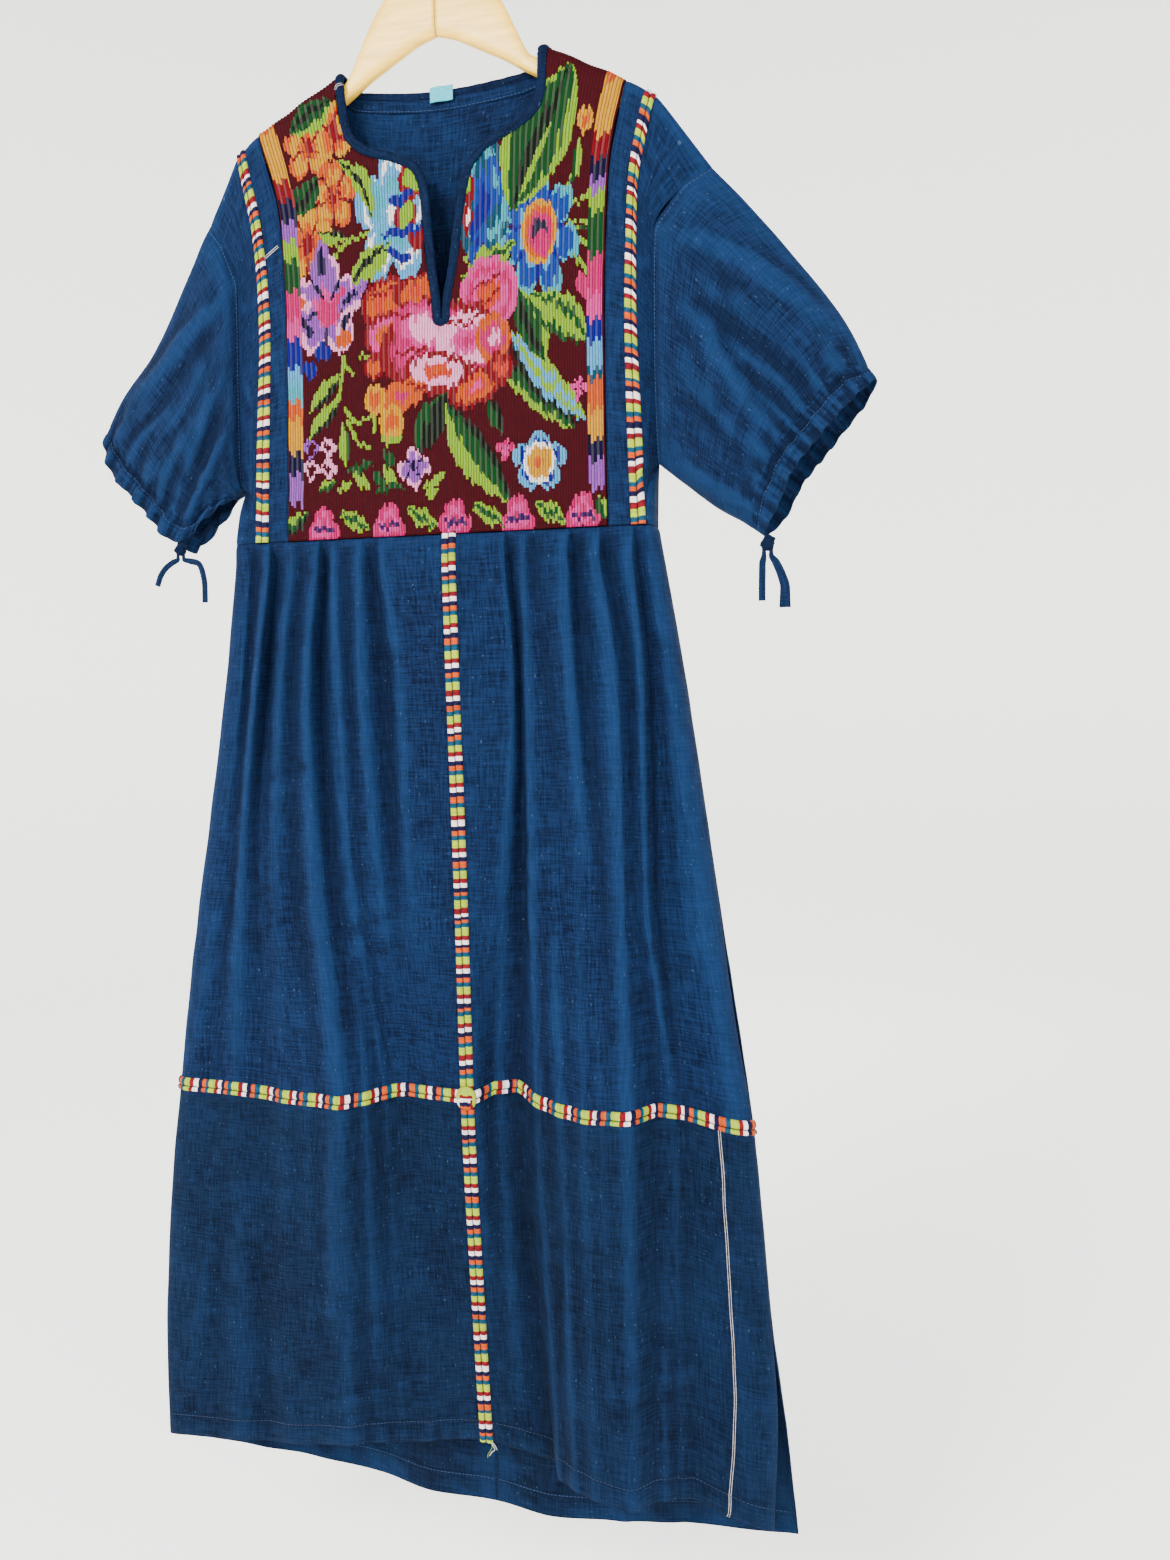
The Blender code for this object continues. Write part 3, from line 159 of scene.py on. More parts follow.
# Edges of the yoke pieces by height: z, panel edge, trim centre line
YokeLine = namedtuple("YokeLine", "z panel trim")
YOKE_LEFT = (
    YokeLine(-565.0, -143.0, -171.0),
    YokeLine(-470.0, -143.0, -169.0),
    YokeLine(-374.0, -144.0, -167.0),
    YokeLine(-284.0, -149.0, -175.0),
    YokeLine(-189.0, -174.0, -197.0),
)
YOKE_RIGHT = (
    YokeLine(-565.0, 158.0, 185.5),
    YokeLine(-462.0, 156.0, 181.0),
    YokeLine(-378.0, 155.0, 179.0),
    YokeLine(-277.0, 158.0, 181.5),
    YokeLine(-188.0, 173.0, 199.0),
)

# Armhole seam of each side from the shoulder tip down to the underarm: x, z
ARMHOLE_LEFT = ((-229, -266), (-212, -288), (-201, -306), (-197, -326), (-197, -380), (-198, -450),
                (-200, -512))
ARMHOLE_RIGHT = ((246, -270), (220, -286), (203, -304), (197, -322), (197, -380), (198, -450), (200, -512))
ARMHOLE_DEPTH = {"front": 10.0, "back": 7.5}
# Side edge of the bodice under the arm at the yoke's lower two rows: x, z
UNDERARM_SIDE = {"left": ((-207, -565), (-203, -539)), "right": ((198.5, -565), (199, -539))}
# Columns of the back where they end at its upper edge
BACK_TOP_X = (-183, -155, -127, -97.4, -95, -87.3, -71, -50, -25, 0, 25, 50, 77, 94, 103, 106, 135,
              165, 195)
SIDE_TURN = {"left": 17.0, "right": 6.2}
BACK_TURN = 15.0
# Share of the back's width over which its rows bend to meet the armhole
ARMHOLE_PULL = 0.1
TURN_STEPS = 3

# Neckline as the middle line of the binding, from the foot of the slit up to each neck point
NECK_FOOT = (7.5, -379.5)
NECK_LEFT = ((2.9, -374), (2.6, -362), (-1, -338), (-5, -300), (-9, -262), (-16, -243),
             (-36, -231), (-66, -220), (-82, -204), (-87, -184), (-92, -148))
NECK_RIGHT = ((12.1, -374), (12.6, -362), (17, -338), (22, -305), (27, -272), (34, -246),
              (52, -229), (83, -214), (97, -199), (100, -180), (100, -150))
NECK_BACK = ((98.5, -156), (91.5, -163), (76, -166.5), (50, -169), (25, -170.5), (0, -171),
             (-25, -169.5), (-50, -166.5), (-70, -163.5), (-84, -160.5), (-90.5, -154.5))

# Side seams by height: z, left x, right x
SIDE_SEAM = ((-1470, -303, 299), (-1350, -306, 303), (-1207, -298, 292), (-1087, -283, 281),
             (-1004, -272, 267), (-889, -254, 251), (-800, -239, 238), (-703, -224, 223),
             (-650, -217, 214), (-565, -207, 198.5))
SIDE_SEAM_DEPTH = 2.0

# Front folds from left to right: x and y at the pleats, thigh, middle, knee and hem, then z at
# the knee seam and at the hem. A ridge has a more negative y than the dips beside it.
Fold = namedtuple("Fold", "name x y knee_z hem_z")
FRONT_LEFT = (
    Fold("side_turn", (-190, -200, -230, -257, -278), (-14, -16, -16, -12, -8), -1085, -1441),
    Fold("side_dip", (-184, -195, -216, -239, -250), (-10, -11, -14, -12, -7), -1085, -1440),
    Fold("pleat_1", (-165, -178, -201, -213, -221), (-21, -26, -22, -16, -10), -1084, -1436),
    Fold("deep_1", (-162, -174, -186, -186, -193), (-10, -10, -14, -14, -4), -1086, -1436),
    Fold("pleat_2", (-141, -152, -162, -152, -158), (-22, -27, -24, -22, -12), -1086, -1429),
    Fold("dip_2", (-132, -143, -145, -127, -133), (-16, -18, -20, -26, -12), -1085, -1425),
    Fold("pleat_3", (-115, -123, -117, -97, -103), (-22, -28, -30, -32, -14), -1084, -1421),
    Fold("deep_3", (-111, -118, -101, -78, -78), (-10, -10, -18, -22, -6), -1082, -1419),
    Fold("pleat_4", (-98, -94, -84, -63, -54), (-21, -26, -24, -10, -2), -1079, -1416),
    Fold("dip_4", (-88, -85, -74, -53, -39), (-16, -18, -18, -4, 0), -1077, -1415),
    Fold("pleat_5", (-73, -70, -58, -40, -24), (-22, -26, -20, -4, 0), -1075, -1413),
    Fold("deep_5", (-63, -54, -44, -28, -12), (-11, -10, -12, -4, 3), -1076, -1411),
    Fold("pleat_6", (-49, -32, -27, -12, 2), (-22, -22, -18, -6, 5), -1076, -1409),
)
FRONT_CENTRE = Fold("centre", (14, 16, 19, 20, 31), (-22, -20, -14, -6, 6), -1077, -1407)
FRONT_RIGHT = (
    Fold("pleat_7", (64, 70, 55, 42, 64), (-21, -16, -10, 8, 6), -1071, -1410),
    Fold("deep_7", (68, 75, 75, 61, 95), (-11, -6, 0, 18, 8), -1071, -1417),
    Fold("long_fold", (82, 86, 89, 91, 112), (-19, -22, -24, -2, -22), -1079, -1415),
    Fold("dip_8", (90, 104, 115, 116, 132), (-14, -18, -24, -16, -34), -1080, -1415),
    Fold("pleat_9", (122, 129, 135, 140, 153), (-24, -30, -30, -26, -42), -1080, -1415),
    Fold("deep_9", (127, 138, 152, 156, 167), (-12, -20, -29, -30, -44), -1078, -1416),
    Fold("pleat_10", (150, 167, 173, 175, 182), (-24, -33, -37, -34, -46), -1076, -1416),
    Fold("deep_10", (155, 178, 183, 200, 205), (-12, -20, -24, -11, -28), -1073, -1414),
    Fold("pleat_11", (179, 190, 193, 211, 219), (-22, -30, -30, -12, -16), -1073, -1418),
    Fold("deep_11", (183, 195, 200, 222, 231), (-12, -14, -12, -8, -10), -1075, -1420),
    Fold("side_turn", (192.3, 212, 236, 262, 276), (-16, -22, -20, -14, -16), -1081, -1430),
)
FRONT_SIDE_Z = {"left": (-1087, -1446), "right": (-1086, -1441)}

# Back folds from left to right, plain and soft, with the same columns
BACK_FOLDS = (
    Fold("back_turn_left", (-192, -208, -238, -264, -286), (13, 15, 17, 17, 20), -1085, -1458),
    Fold("back_fold_1", (-150, -160, -185, -205, -225), (17, 22, 27, 27, 25), -1085, -1462),
    Fold("back_dip_1", (-112, -120, -140, -152, -165), (13, 14, 19, 25, 33), -1085, -1468),
    Fold("back_fold_2", (-70, -76, -86, -90, -95), (18, 24, 31, 35, 38), -1085, -1476),
    Fold("back_dip_2", (-25, -27, -31, -33, -35), (14, 16, 22, 26, 30), -1085, -1481),
    Fold("back_centre", (20, 22, 25, 28, 30), (18, 24, 31, 34, 36), -1085, -1484),
    Fold("back_dip_3", (63, 67, 74, 80, 85), (14, 16, 22, 26, 30), -1085, -1486),
    Fold("back_fold_3", (105, 114, 130, 143, 155), (18, 24, 31, 35, 38), -1085, -1485),
    Fold("back_dip_4", (142, 157, 180, 198, 215), (13, 15, 20, 25, 31), -1085, -1470),
    Fold("back_turn_right", (183.5, 207, 234, 263, 300), (13, 15, 17, 18, 25), -1085, -1460),
)
BACK_SIDE_Z = {"left": (-1087, -1455), "right": (-1086, -1455)}
FRONT_HEM_MEAN = -1425.0
# How far the corners spread from the side seam at the foot of each slit: x, y
SLIT_CURVE = 1.4
SLIT_SPREAD = {
    ("front", "left"): (0, -4),
    ("front", "right"): (0, -4),
    ("back", "left"): (-3, 9),
    ("back", "right"): (20, 17),
}

# Sleeve outlines: top edge, underarm edge and the gathered end, as x, z, then the cuff's share
# of its full width at the top and at the underarm, how far the back face reaches beyond the
# front one, as place across and millimetres, and the depth of the front face by place along
SleeveCut = namedtuple("SleeveCut", "top under end top_share under_share back_reach depths")
SLEEVES = {
    "left": SleeveCut(
        ((-229, -266), (-256, -320), (-289, -378), (-328, -422), (-349, -455)),
        ((-200, -512), (-204, -516), (-209, -520)),
        ((-349, -455), (-338, -487), (-321, -507), (-294, -535), (-279, -553), (-262, -560),
         (-243, -546), (-224, -530), (-209, -520)),
        0.45,
        0.15,
        ((0, 0), (0.4, 1), (0.6, 4), (0.8, 11), (0.93, 9), (1, 0)),
        ((0.0, 10.0), (0.08, 19.0), (0.5, 22.0), (1.0, 15.0)),
    ),
    "right": SleeveCut(
        ((246, -270), (277, -305), (318, -356), (359, -412), (381, -455)),
        ((200, -512), (226, -533), (252, -553), (277, -568), (290, -577)),
        ((381, -455), (356, -479), (334, -504), (314, -529), (305, -550), (290, -577)),
        0.45,
        0.45,
        ((0, 0), (0.15, 6), (0.5, 8), (0.85, 6), (1, 0)),
        ((0.0, 10.0), (0.08, 19.0), (0.5, 27.0), (1.0, 20.0)),
    ),
}
SLEEVE_BACK_SHARE = 0.75
SLEEVE_SQUARENESS = 3.0
SLEEVE_FOLD_RISE = 0.25
SLEEVE_FOLD_FALL = 0.3
ARM_CLEAR = 0.3
CUFF_WIDTH = 24.0
CUFF_WAVES = 9
CUFF_UNEVENNESS = 0.9
CASING_PINCH = 3.0
GATHER_HEIGHT = 3.2
# Sleeve folds: place across the sleeve at the armhole and at the cuff, height, width, start, end
SleeveFold = namedtuple("SleeveFold", "at_arm at_cuff height width start end")
SLEEVE_FOLDS = {
    "left": (
        SleeveFold(0.20, 0.16, 5.0, 0.07, 0.10, 1.0),
        SleeveFold(0.42, 0.40, 5.0, 0.12, 0.05, 0.9),
        SleeveFold(0.62, 0.56, -5.0, 0.09, 0.15, 1.0),
        SleeveFold(0.80, 0.72, 5.0, 0.08, 0.05, 0.9),
    ),
    "right": (
        SleeveFold(0.16, 0.14, 5.0, 0.08, 0.35, 1.0),
        SleeveFold(0.34, 0.34, -5.0, 0.11, 0.15, 1.0),
        SleeveFold(0.56, 0.66, 6.0, 0.13, 0.05, 1.0),
        SleeveFold(0.82, 0.84, -5.0, 0.07, 0.10, 0.9),
    ),
}

# Knots as x, y and top z, and the free tie ends after their short straight start, as x, y, z
KNOTS = {"left": (-260.0, -15.5, -560.3), "right": (293.0, -7.0, -577.9)}
TIE_DROP = 2.5
TIE_ENDS = {
    ("left", "outer"): ((-268, -17, -579), (-275, -19, -585), (-280, -20, -593), (-283, -20, -601)),
    ("left", "inner"): ((-250, -17, -578), (-239, -19, -581), (-234, -20, -590), (-232, -20, -603),
                        (-232, -20, -618)),
    ("right", "outer"): ((300, -9, -600), (305, -10, -611), (308, -11, -622), (308, -11, -638)),
    ("right", "inner"): ((289, -9, -601), (289, -10, -611), (289, -11, -621), (289, -11, -632)),
}


def between_knots(s, length, start, finish, slope, next_slope):
    """Value a share s of the way from one knot to the next, with the slopes at both."""
    return (
        (1 + 2 * s) * (1 - s) ** 2 * start
        + s * (1 - s) ** 2 * length * slope
        + s * s * (3 - 2 * s) * finish
        + s * s * (s - 1) * length * next_slope
    )


def lengths_along(points):
    """How far each point of a line lies from its first one."""
    return np.concatenate([[0], np.cumsum(np.linalg.norm(np.diff(points, axis=0), axis=1))])


def point_at(place, places, points):
    """A point on the straight lines between points that lie at rising places."""
    return np.array([np.interp(place, places, points[:, k]) for k in range(3)])


def smooth(knots, values, at):
    """Value at a place along rising knots, on a curve that never overshoots its knots."""
    knots = np.asarray(knots, float)
    values = np.asarray(values, float)
    steps = np.diff(knots)
    rises = np.diff(values) / steps
    slopes = np.zeros(len(knots))
    slopes[0], slopes[-1] = rises[0], rises[-1]
    same_way = rises[:-1] * rises[1:] > 0
    slopes[1:-1][same_way] = 2 / (1 / rises[:-1][same_way] + 1 / rises[1:][same_way])
    at = np.clip(at, knots[0], knots[-1])
    i = np.clip(np.searchsorted(knots, at, "right") - 1, 0, len(steps) - 1)
    s = (at - knots[i]) / steps[i]
    return between_knots(s, steps[i], values[i], values[i + 1], slopes[i], slopes[i + 1])


def curve_through(points):
    """A function of 0 to 1 along a smooth curve through the points, even by length."""
    points = np.asarray(points, float)
    lengths = lengths_along(points)
    lengths /= lengths[-1]
    return lambda s: np.array([smooth(lengths, points[:, k], s) for k in range(points.shape[1])])


def shoulder_z(x):
    """Height of the shoulder ridge over a place across the dress."""
    if x < 0:
        return float(np.interp(x, *zip(*SHOULDER_LEFT)))
    return float(np.interp(x, *zip(*SHOULDER_RIGHT)))


def yoke_depth(x, z, side):
    """Distance of the yoke wall from the middle plane: round over the shoulder, then nearly flat."""
    drop = max(shoulder_z(x) - z, 0.0)
    root = drop + SHOULDER_RADIUS
    full = YOKE_FRONT_DEPTH if side < 0 else YOKE_BACK_DEPTH
    depth = YOKE_TOP_DEPTH + (full - YOKE_TOP_DEPTH) * min(drop / YOKE_DROP, 1.0)
    return side * depth * math.sqrt(root * root - SHOULDER_RADIUS**2) / root


def normals_of(points):
    """Unit normals of a grid of points, halfway between those of the faces beside each point."""
    across = joined_steps(points, 1)
    along = joined_steps(points, 0)
    return unit_rows(np.cross(across, along))


def joined_steps(points, axis):
    steps = unit_rows(np.diff(points, axis=axis))
    first, last = np.take(steps, [0], axis=axis), np.take(steps, [-1], axis=axis)
    return np.concatenate([first, steps], axis=axis) + np.concatenate([steps, last], axis=axis)


def unit_rows(vectors):
    return vectors / np.maximum(np.linalg.norm(vectors, axis=-1, keepdims=True), TINY)


def level_values(fold, v, back):
    """x, y and z of one fold at a level: 0 seam, 1 pleats, 2 thigh, 3 middle, 4 knee, 5 hem."""
    levels = np.arange(6.0)
    seam_depth = yoke_depth(fold.x[0], YOKE_SEAM, 1 if back else -1)
    xs = (fold.x[0],) + fold.x
    ys = (seam_depth,) + fold.y
    zs = (YOKE_SEAM, PLEAT_LEVEL, THIGH_LEVEL, MID_LEVEL, fold.knee_z, fold.hem_z)
    return np.array([smooth(levels, values, v) for values in (xs, ys, zs)])


def side_point(side, face, v):
    """A point on the side seam or, under the slit's top, on the free edge of one face."""
    knee_z, hem_z = (BACK_SIDE_Z if face == "back" else FRONT_SIDE_Z)[side]
    levels = np.arange(6.0)
    z = smooth(levels, (YOKE_SEAM, PLEAT_LEVEL, THIGH_LEVEL, MID_LEVEL, knee_z, hem_z), v)
    heights, left, right = zip(*SIDE_SEAM)
    x = smooth(heights, left if side == "left" else right, z)
    open_share = min(max((SLIT_TOP - z) / (SLIT_TOP - hem_z), 0.0), 1.0) ** SLIT_CURVE
    spread_x, spread_y = SLIT_SPREAD[face, side]
    y = SIDE_SEAM_DEPTH + (EDGE_GAP if face == "back" else -EDGE_GAP)
    return np.array([x + spread_x * open_share, y + spread_y * open_share, z])


def across_folds(folds, side, face, v, u, side_first):
    """A point at place u along a row of folds. Whole numbers are the folds themselves, and the
    side seam comes before the first or after the last."""
    count = len(folds)
    last = count if side else count - 1
    u = min(max(u, 0.0), last)
    i = min(int(u), last - 1)
    s = u - i

    def knot(k):
        if side and side_first:
            return side_point(side, face, v) if k == 0 else level_values(folds[k - 1], v, face == "back")
        if side and k == count:
            return side_point(side, face, v)
        return level_values(folds[k], v, face == "back")

    start, finish = knot(i), knot(i + 1)
    if side and side_first and i == 0:
        turn = np.array([1 - math.cos(s * math.pi / 2), math.sin(s * math.pi / 2), s])
    elif side and not side_first and i == count - 1:
        turn = np.array([math.sin(s * math.pi / 2), 1 - math.cos(s * math.pi / 2), s])
    else:
        turn = np.array([s, 0.5 - 0.5 * math.cos(s * math.pi), s])
    return start + (finish - start) * turn


def trim_neighbour(sign):
    """The fold that keeps the cloth flat under the centre trim, at one of its edges."""
    xs = tuple(x + sign * TRIM_HALF for x in FRONT_CENTRE.x)
    return FRONT_CENTRE._replace(name="trim_edge", x=xs)


LEFT_HALF = FRONT_LEFT + (trim_neighbour(-1), FRONT_CENTRE)
RIGHT_HALF = (FRONT_CENTRE, trim_neighbour(1)) + FRONT_RIGHT


def skirt_levels():
    """Levels of the rows of the upper and the lower tier, with a row at each edge of the knee trim."""
    upper_trim = 4 - TRIM_HALF / (MID_LEVEL - BACK_KNEE)
    lower_trim = 4 + TRIM_HALF / (BACK_KNEE - FRONT_HEM_MEAN)
    upper = [0, 0.5, 1, 1.3, 1.65, 2, 2.5, 3, 3.5, upper_trim, 4]
    lower = [4, lower_trim, 4.25, 4.5, 4.75, 5]
    return upper, lower


def ease_edge(points, top=0.0, foot=0.0, left=0.0, right=0.0):
    """Draws the edges of a grid back by half a seam gap."""
    points = points.copy()
    for edge, inner, ease in ((0, 1, top), (-1, -2, foot)):
        points[edge] += ease * unit_rows(points[inner] - points[edge])
    for edge, inner, ease in ((0, 1, left), (-1, -2, right)):
        points[:, edge] += ease * unit_rows(points[:, inner] - points[:, edge])
    return points


def yoke_edge(side, column, z):
    table = YOKE_LEFT if side == "left" else YOKE_RIGHT
    heights = [row.z for row in table]
    return float(smooth(heights, [getattr(row, column) for row in table], z))


def ridge_x(side, column):
    """Where an edge line of the yoke meets the shoulder seam."""
    z = -190.0
    for _ in range(8):
        x = yoke_edge(side, column, z)
        z = shoulder_z(x)
    return x


def edge_line(side, column):
    """Points x, z of an edge line of the yoke on the yoke's rows."""
    top_x = ridge_x(side, column)
    top_z = shoulder_z(top_x)
    points = []
    for row in YOKE_ROWS:
        z = top_z - row.drop if row.share is None else YOKE_SEAM + (top_z - TOP_DROP - YOKE_SEAM) * row.share
        points.append(np.array([yoke_edge(side, column, z), z]))
    return points


def on_wall(row, face):
    """Gives x, z points their y on a face of the yoke."""
    return [(x, yoke_depth(x, z, FACE_SIGN[face]), z) for x, z in row]


def over_shoulder(rows):
    """Adds the rows that turn over the shoulder to the top of the back, under the last row."""
    ridge = rows[-1]
    for flap in FLAP_ROWS:
        rows.append(on_wall([(x, shoulder_z(x) - flap.drop) for x, _, _ in ridge], "back"))
    return rows


def slit_turn(radius, lift, degrees):
    """The round foot of the slit, as x, z."""
    x, z = NECK_FOOT
    return [(x + radius * math.cos(a), z + lift + radius * math.sin(a)) for a in np.radians(degrees)]


def neck_path(side):
    """The binding's middle line from the foot of the slit up to the neck point, as x, z."""
    return curve_through(NECK_LEFT if side == "left" else NECK_RIGHT)


def beside_neck(side, s):
    """A point of the floral panel's edge along the neck, clear of the binding, as x, z."""
    path = neck_path(side)
    before, after = path(max(s - 0.01, 0)), path(min(s + 0.01, 1))
    along = (after - before) / np.linalg.norm(after - before)
    outward = OUTWARD[side]
    return path(s) + np.array([along[1], -along[0]]) * outward * (BINDING_HALF_WIDTH + SEAM_GAP)


def strip_points(side):
    """The narrow cloth strip between the floral panel and the yoke trim."""
    outward = OUTWARD[side]
    rows = []
    for row, start, finish in zip(YOKE_ROWS, edge_line(side, "panel"), edge_line(side, "trim")):
        start = start + np.array([outward * 2 * SEAM_GAP, 0.0])
        across = (finish - start) / np.linalg.norm(finish - start)
        finish = finish - across * SEAM_GAP
        flat = finish - across * (TRIM_HALF - SEAM_GAP)
        points = [start, (start + flat) / 2, flat, finish]
        if row.share is None:
            points = [(x, shoulder_z(x) - row.drop) for x, _ in points]
        rows.append(on_wall(points, "front"))
    rows = np.array(over_shoulder(rows))
    rows[0, :, 2] += HALF_GAP
    return rows


def arm_curve(side):
    return curve_through(ARMHOLE_LEFT if side == "left" else ARMHOLE_RIGHT)


def sleeve_profile(b):
    """Depth of the sleeve across its width, as a share: round at its two edges, flat between."""
    return max(1 - abs(2 * b - 1) ** SLEEVE_SQUARENESS, 0.0) ** (1 / SLEEVE_SQUARENESS)


@lru_cache(maxsize=None)
def arm_point(side, face, t):
    """A point of the armhole seam on straight lines between the stops of the yoke's rows."""
    sign = FACE_SIGN[face]
    used = YOKE_ROWS if face == "front" else BACK_ROWS + FLAP_ROWS + YOKE_ROWS[-1:]
    stops = sorted(row.stop for row in used if row.stop is not None)
    curve = arm_curve(side)
    points = []
    for stop in stops:
        x, z = curve(stop)
        points.append((x, sign * (EDGE_GAP + ARMHOLE_DEPTH[face] * sleeve_profile(stop)), z))
    return np.array([np.interp(t, stops, values) for values in zip(*points)])


def bodice_end(side, face, k):
    """The outer end of a bodice row: on the armhole, or on the side edge under the arm."""
    rows = YOKE_ROWS if face == "front" else BACK_ROWS
    if rows[k].stop is None:
        x, z = UNDERARM_SIDE[side][k]
        sign = FACE_SIGN[face]
        share = 1.0 if k == 0 else 0.5
        return np.array([x, SIDE_SEAM_DEPTH * share + sign * EDGE_GAP, z])
    return arm_point(side, face, rows[k].stop)


def side_points(side):
    """The piece from the yoke trim out to the armhole seam and the side edge."""
    rows = []
    for k, (yoke_row, line_point) in enumerate(zip(YOKE_ROWS, edge_line(side, "trim"))):
        end = bodice_end(side, "front", k)
        finish = end[[0, 2]]
        across = (finish - line_point) / np.linalg.norm(finish - line_point)
        start = line_point + across * SEAM_GAP
        finish = finish - across * HALF_GAP
        width = np.linalg.norm(finish - start)
        flat = TRIM_HALF - SEAM_GAP
        turn = min(SIDE_TURN[side], width - flat - 0.3)
        angles = [k * math.pi / 2 / TURN_STEPS for k in range(TURN_STEPS + 1)]
        places = [0.0, flat] + [width - turn + turn * math.sin(a) for a in angles]
        row = []
        for distance in places:
            x, z = start + across * distance
            if yoke_row.share is None and distance <= flat:
                z = shoulder_z(x) - yoke_row.drop
            y = yoke_depth(x, z, -1)
            if distance > flat:
                under = yoke_row.stop is None
                angle = max((distance - (width - turn)) / turn, 0.0)
                along = (distance - flat) / (width - flat)
                round_edge = math.sqrt(max(1 - angle**2, 0))
                left_over = round_edge if under else 0.5 + 0.5 * math.cos(math.pi * along)
                y = end[1] + (y - end[1]) * left_over
            row.append((x, y, z))
        rows.append(row)
    rows[-1] = [(x, 0.0, shoulder_z(x)) for x, _, _ in rows[-1]]
    rows = over_shoulder(rows)
    for row, flap in zip(rows[-len(FLAP_ROWS):], FLAP_ROWS):
        end = arm_point(side, "back", flap.stop)
        for k in range(3, len(row)):
            share = ((k - 2) / (len(row) - 3)) ** 2
            row[k] = tuple(np.array(row[k]) * (1 - share) + end * share)
        inner = np.array(row[-2]) - end
        row[-1] = tuple(end + inner / np.linalg.norm(inner) * SLANT_EASE)
    rows = np.array(rows)
    rows[0, :, 2] += HALF_GAP
    return rows


def back_columns():
    """Places across the back, with the turns to both sides and the neck's corners."""
    left, right = UNDERARM_SIDE["left"][0][0], UNDERARM_SIDE["right"][0][0]
    share = BACK_TURN / (right - left)
    turn = [share * (1 - math.cos(k * math.pi / 2 / TURN_STEPS)) for k in range(TURN_STEPS + 1)]
    left_x, right_x = (bodice_end(side, "back", -1)[0] for side in SIDES)
    middle = [(x - left_x) / (right_x - left_x) for x in BACK_TOP_X]
    return turn + middle + [1 - t for t in reversed(turn)]


def back_neck_edge():
    """The back's edge under the neck binding, as rising x and z."""
    path = np.array([NECK_RIGHT[-1], *NECK_BACK, NECK_LEFT[-1]], float)
    along = unit_rows(path[2:] - path[:-2])
    clear = BINDING_HALF_WIDTH + NECK_EASE
    edge = path[1:-1] + np.stack([-along[:, 1], along[:, 0]], axis=1) * clear
    return edge[::-1]


def back_top(x):
    """The level that the back's rows hang from: the shoulders, and the neck between them."""
    edge = back_neck_edge()
    if edge[0, 0] - 0.5 < x < edge[-1, 0] + 0.5:
        return float(np.interp(x, edge[:, 0], edge[:, 1])) + BACK_ROWS[-1].drop
    return shoulder_z(x)


def back_points():
    """The plain back from just under the shoulders and the back neck down to the yoke seam."""
    places = back_columns()
    turn_share = places[TURN_STEPS]
    tips = [bodice_end(side, "back", -1) for side in SIDES]
    rows = []
    for k, yoke_row in enumerate(BACK_ROWS):

        def natural_z(s):
            top = back_top(tips[0][0] + (tips[1][0] - tips[0][0]) * s)
            if yoke_row.share is None:
                return top - yoke_row.drop
            return YOKE_SEAM + (top - TOP_DROP - YOKE_SEAM) * yoke_row.share

        left, right = bodice_end("left", "back", k), bodice_end("right", "back", k)
        row = []
        for s in places:
            end, corner = (left, 0.0) if s < 0.5 else (right, 1.0)
            edge = max(1 - abs(s - corner) / ARMHOLE_PULL, 0.0)
            x = left[0] + (right[0] - left[0]) * s
            z = natural_z(s) + (end[2] - natural_z(corner)) * edge**2
            y = yoke_depth(x, z, 1)
            angle = max(1 - abs(s - corner) / turn_share, 0.0)
            left_over = math.sqrt(max(1 - angle**2, 0)) if yoke_row.stop is None else 1 - edge**2
            row.append((x, end[1] + (y - end[1]) * left_over, z))
        rows.append(row)
    rows = np.array(rows)
    rows[0, :, 2] = YOKE_SEAM + HALF_GAP
    rows = ease_edge(rows, left=HALF_GAP, right=HALF_GAP)
    return rows


def sleeve_surface(side, face):
    """x, z by place along (0 armhole, 1 cuff line, 2 gathered edge) and across the sleeve."""
    cut = SLEEVES[side]
    places, reaches = zip(*cut.back_reach)
    edge_curve = curve_through(cut.end)
    top, under = curve_through(cut.top), curve_through(cut.under)

    def arm(b):
        before, after = (arm_point(side, face, t)[[0, 2]] for t in (max(b - 0.004, 0), min(b + 0.004, 1)))
        along = (after - before) / np.linalg.norm(after - before)
        return arm_point(side, face, b)[[0, 2]] - np.array([along[1], -along[0]]) * OUTWARD[side] * ARM_CLEAR

    def from_edge(b, width):
        toward_arm = arm(b) - edge_curve(b)
        return edge_curve(b) + toward_arm / np.linalg.norm(toward_arm) * width

    def reach(b):
        return smooth(places, reaches, b) if face == "back" else 0.0

    def edge(b):
        return from_edge(b, -reach(b))

    def cuff_line(b):
        shrink = CUFF_WIDTH * min(1.0, 4 * b + cut.top_share, 4 * (1 - b) + cut.under_share)
        return from_edge(b, shrink - 0.5 * reach(b))

    def toward(curve, start, corner, a):
        return curve(a) + (corner - curve(1)) * a**3 + (start - curve(0)) * (1 - a) ** 3

    starts = arm(0), arm(1)
    corners = cuff_line(0), cuff_line(1)

    def at(a, b):
        if a > 1:
            return cuff_line(b) + (edge(b) - cuff_line(b)) * (a - 1)
        upper, lower = toward(top, starts[0], corners[0], a), toward(under, starts[1], corners[1], a)
        across = (1 - b) * upper + b * lower
        along = (1 - a) * arm(b) + a * cuff_line(b)
        flat = (1 - a) * ((1 - b) * starts[0] + b * starts[1]) + a * ((1 - b) * corners[0] + b * corners[1])
        return across + along - flat

    return at


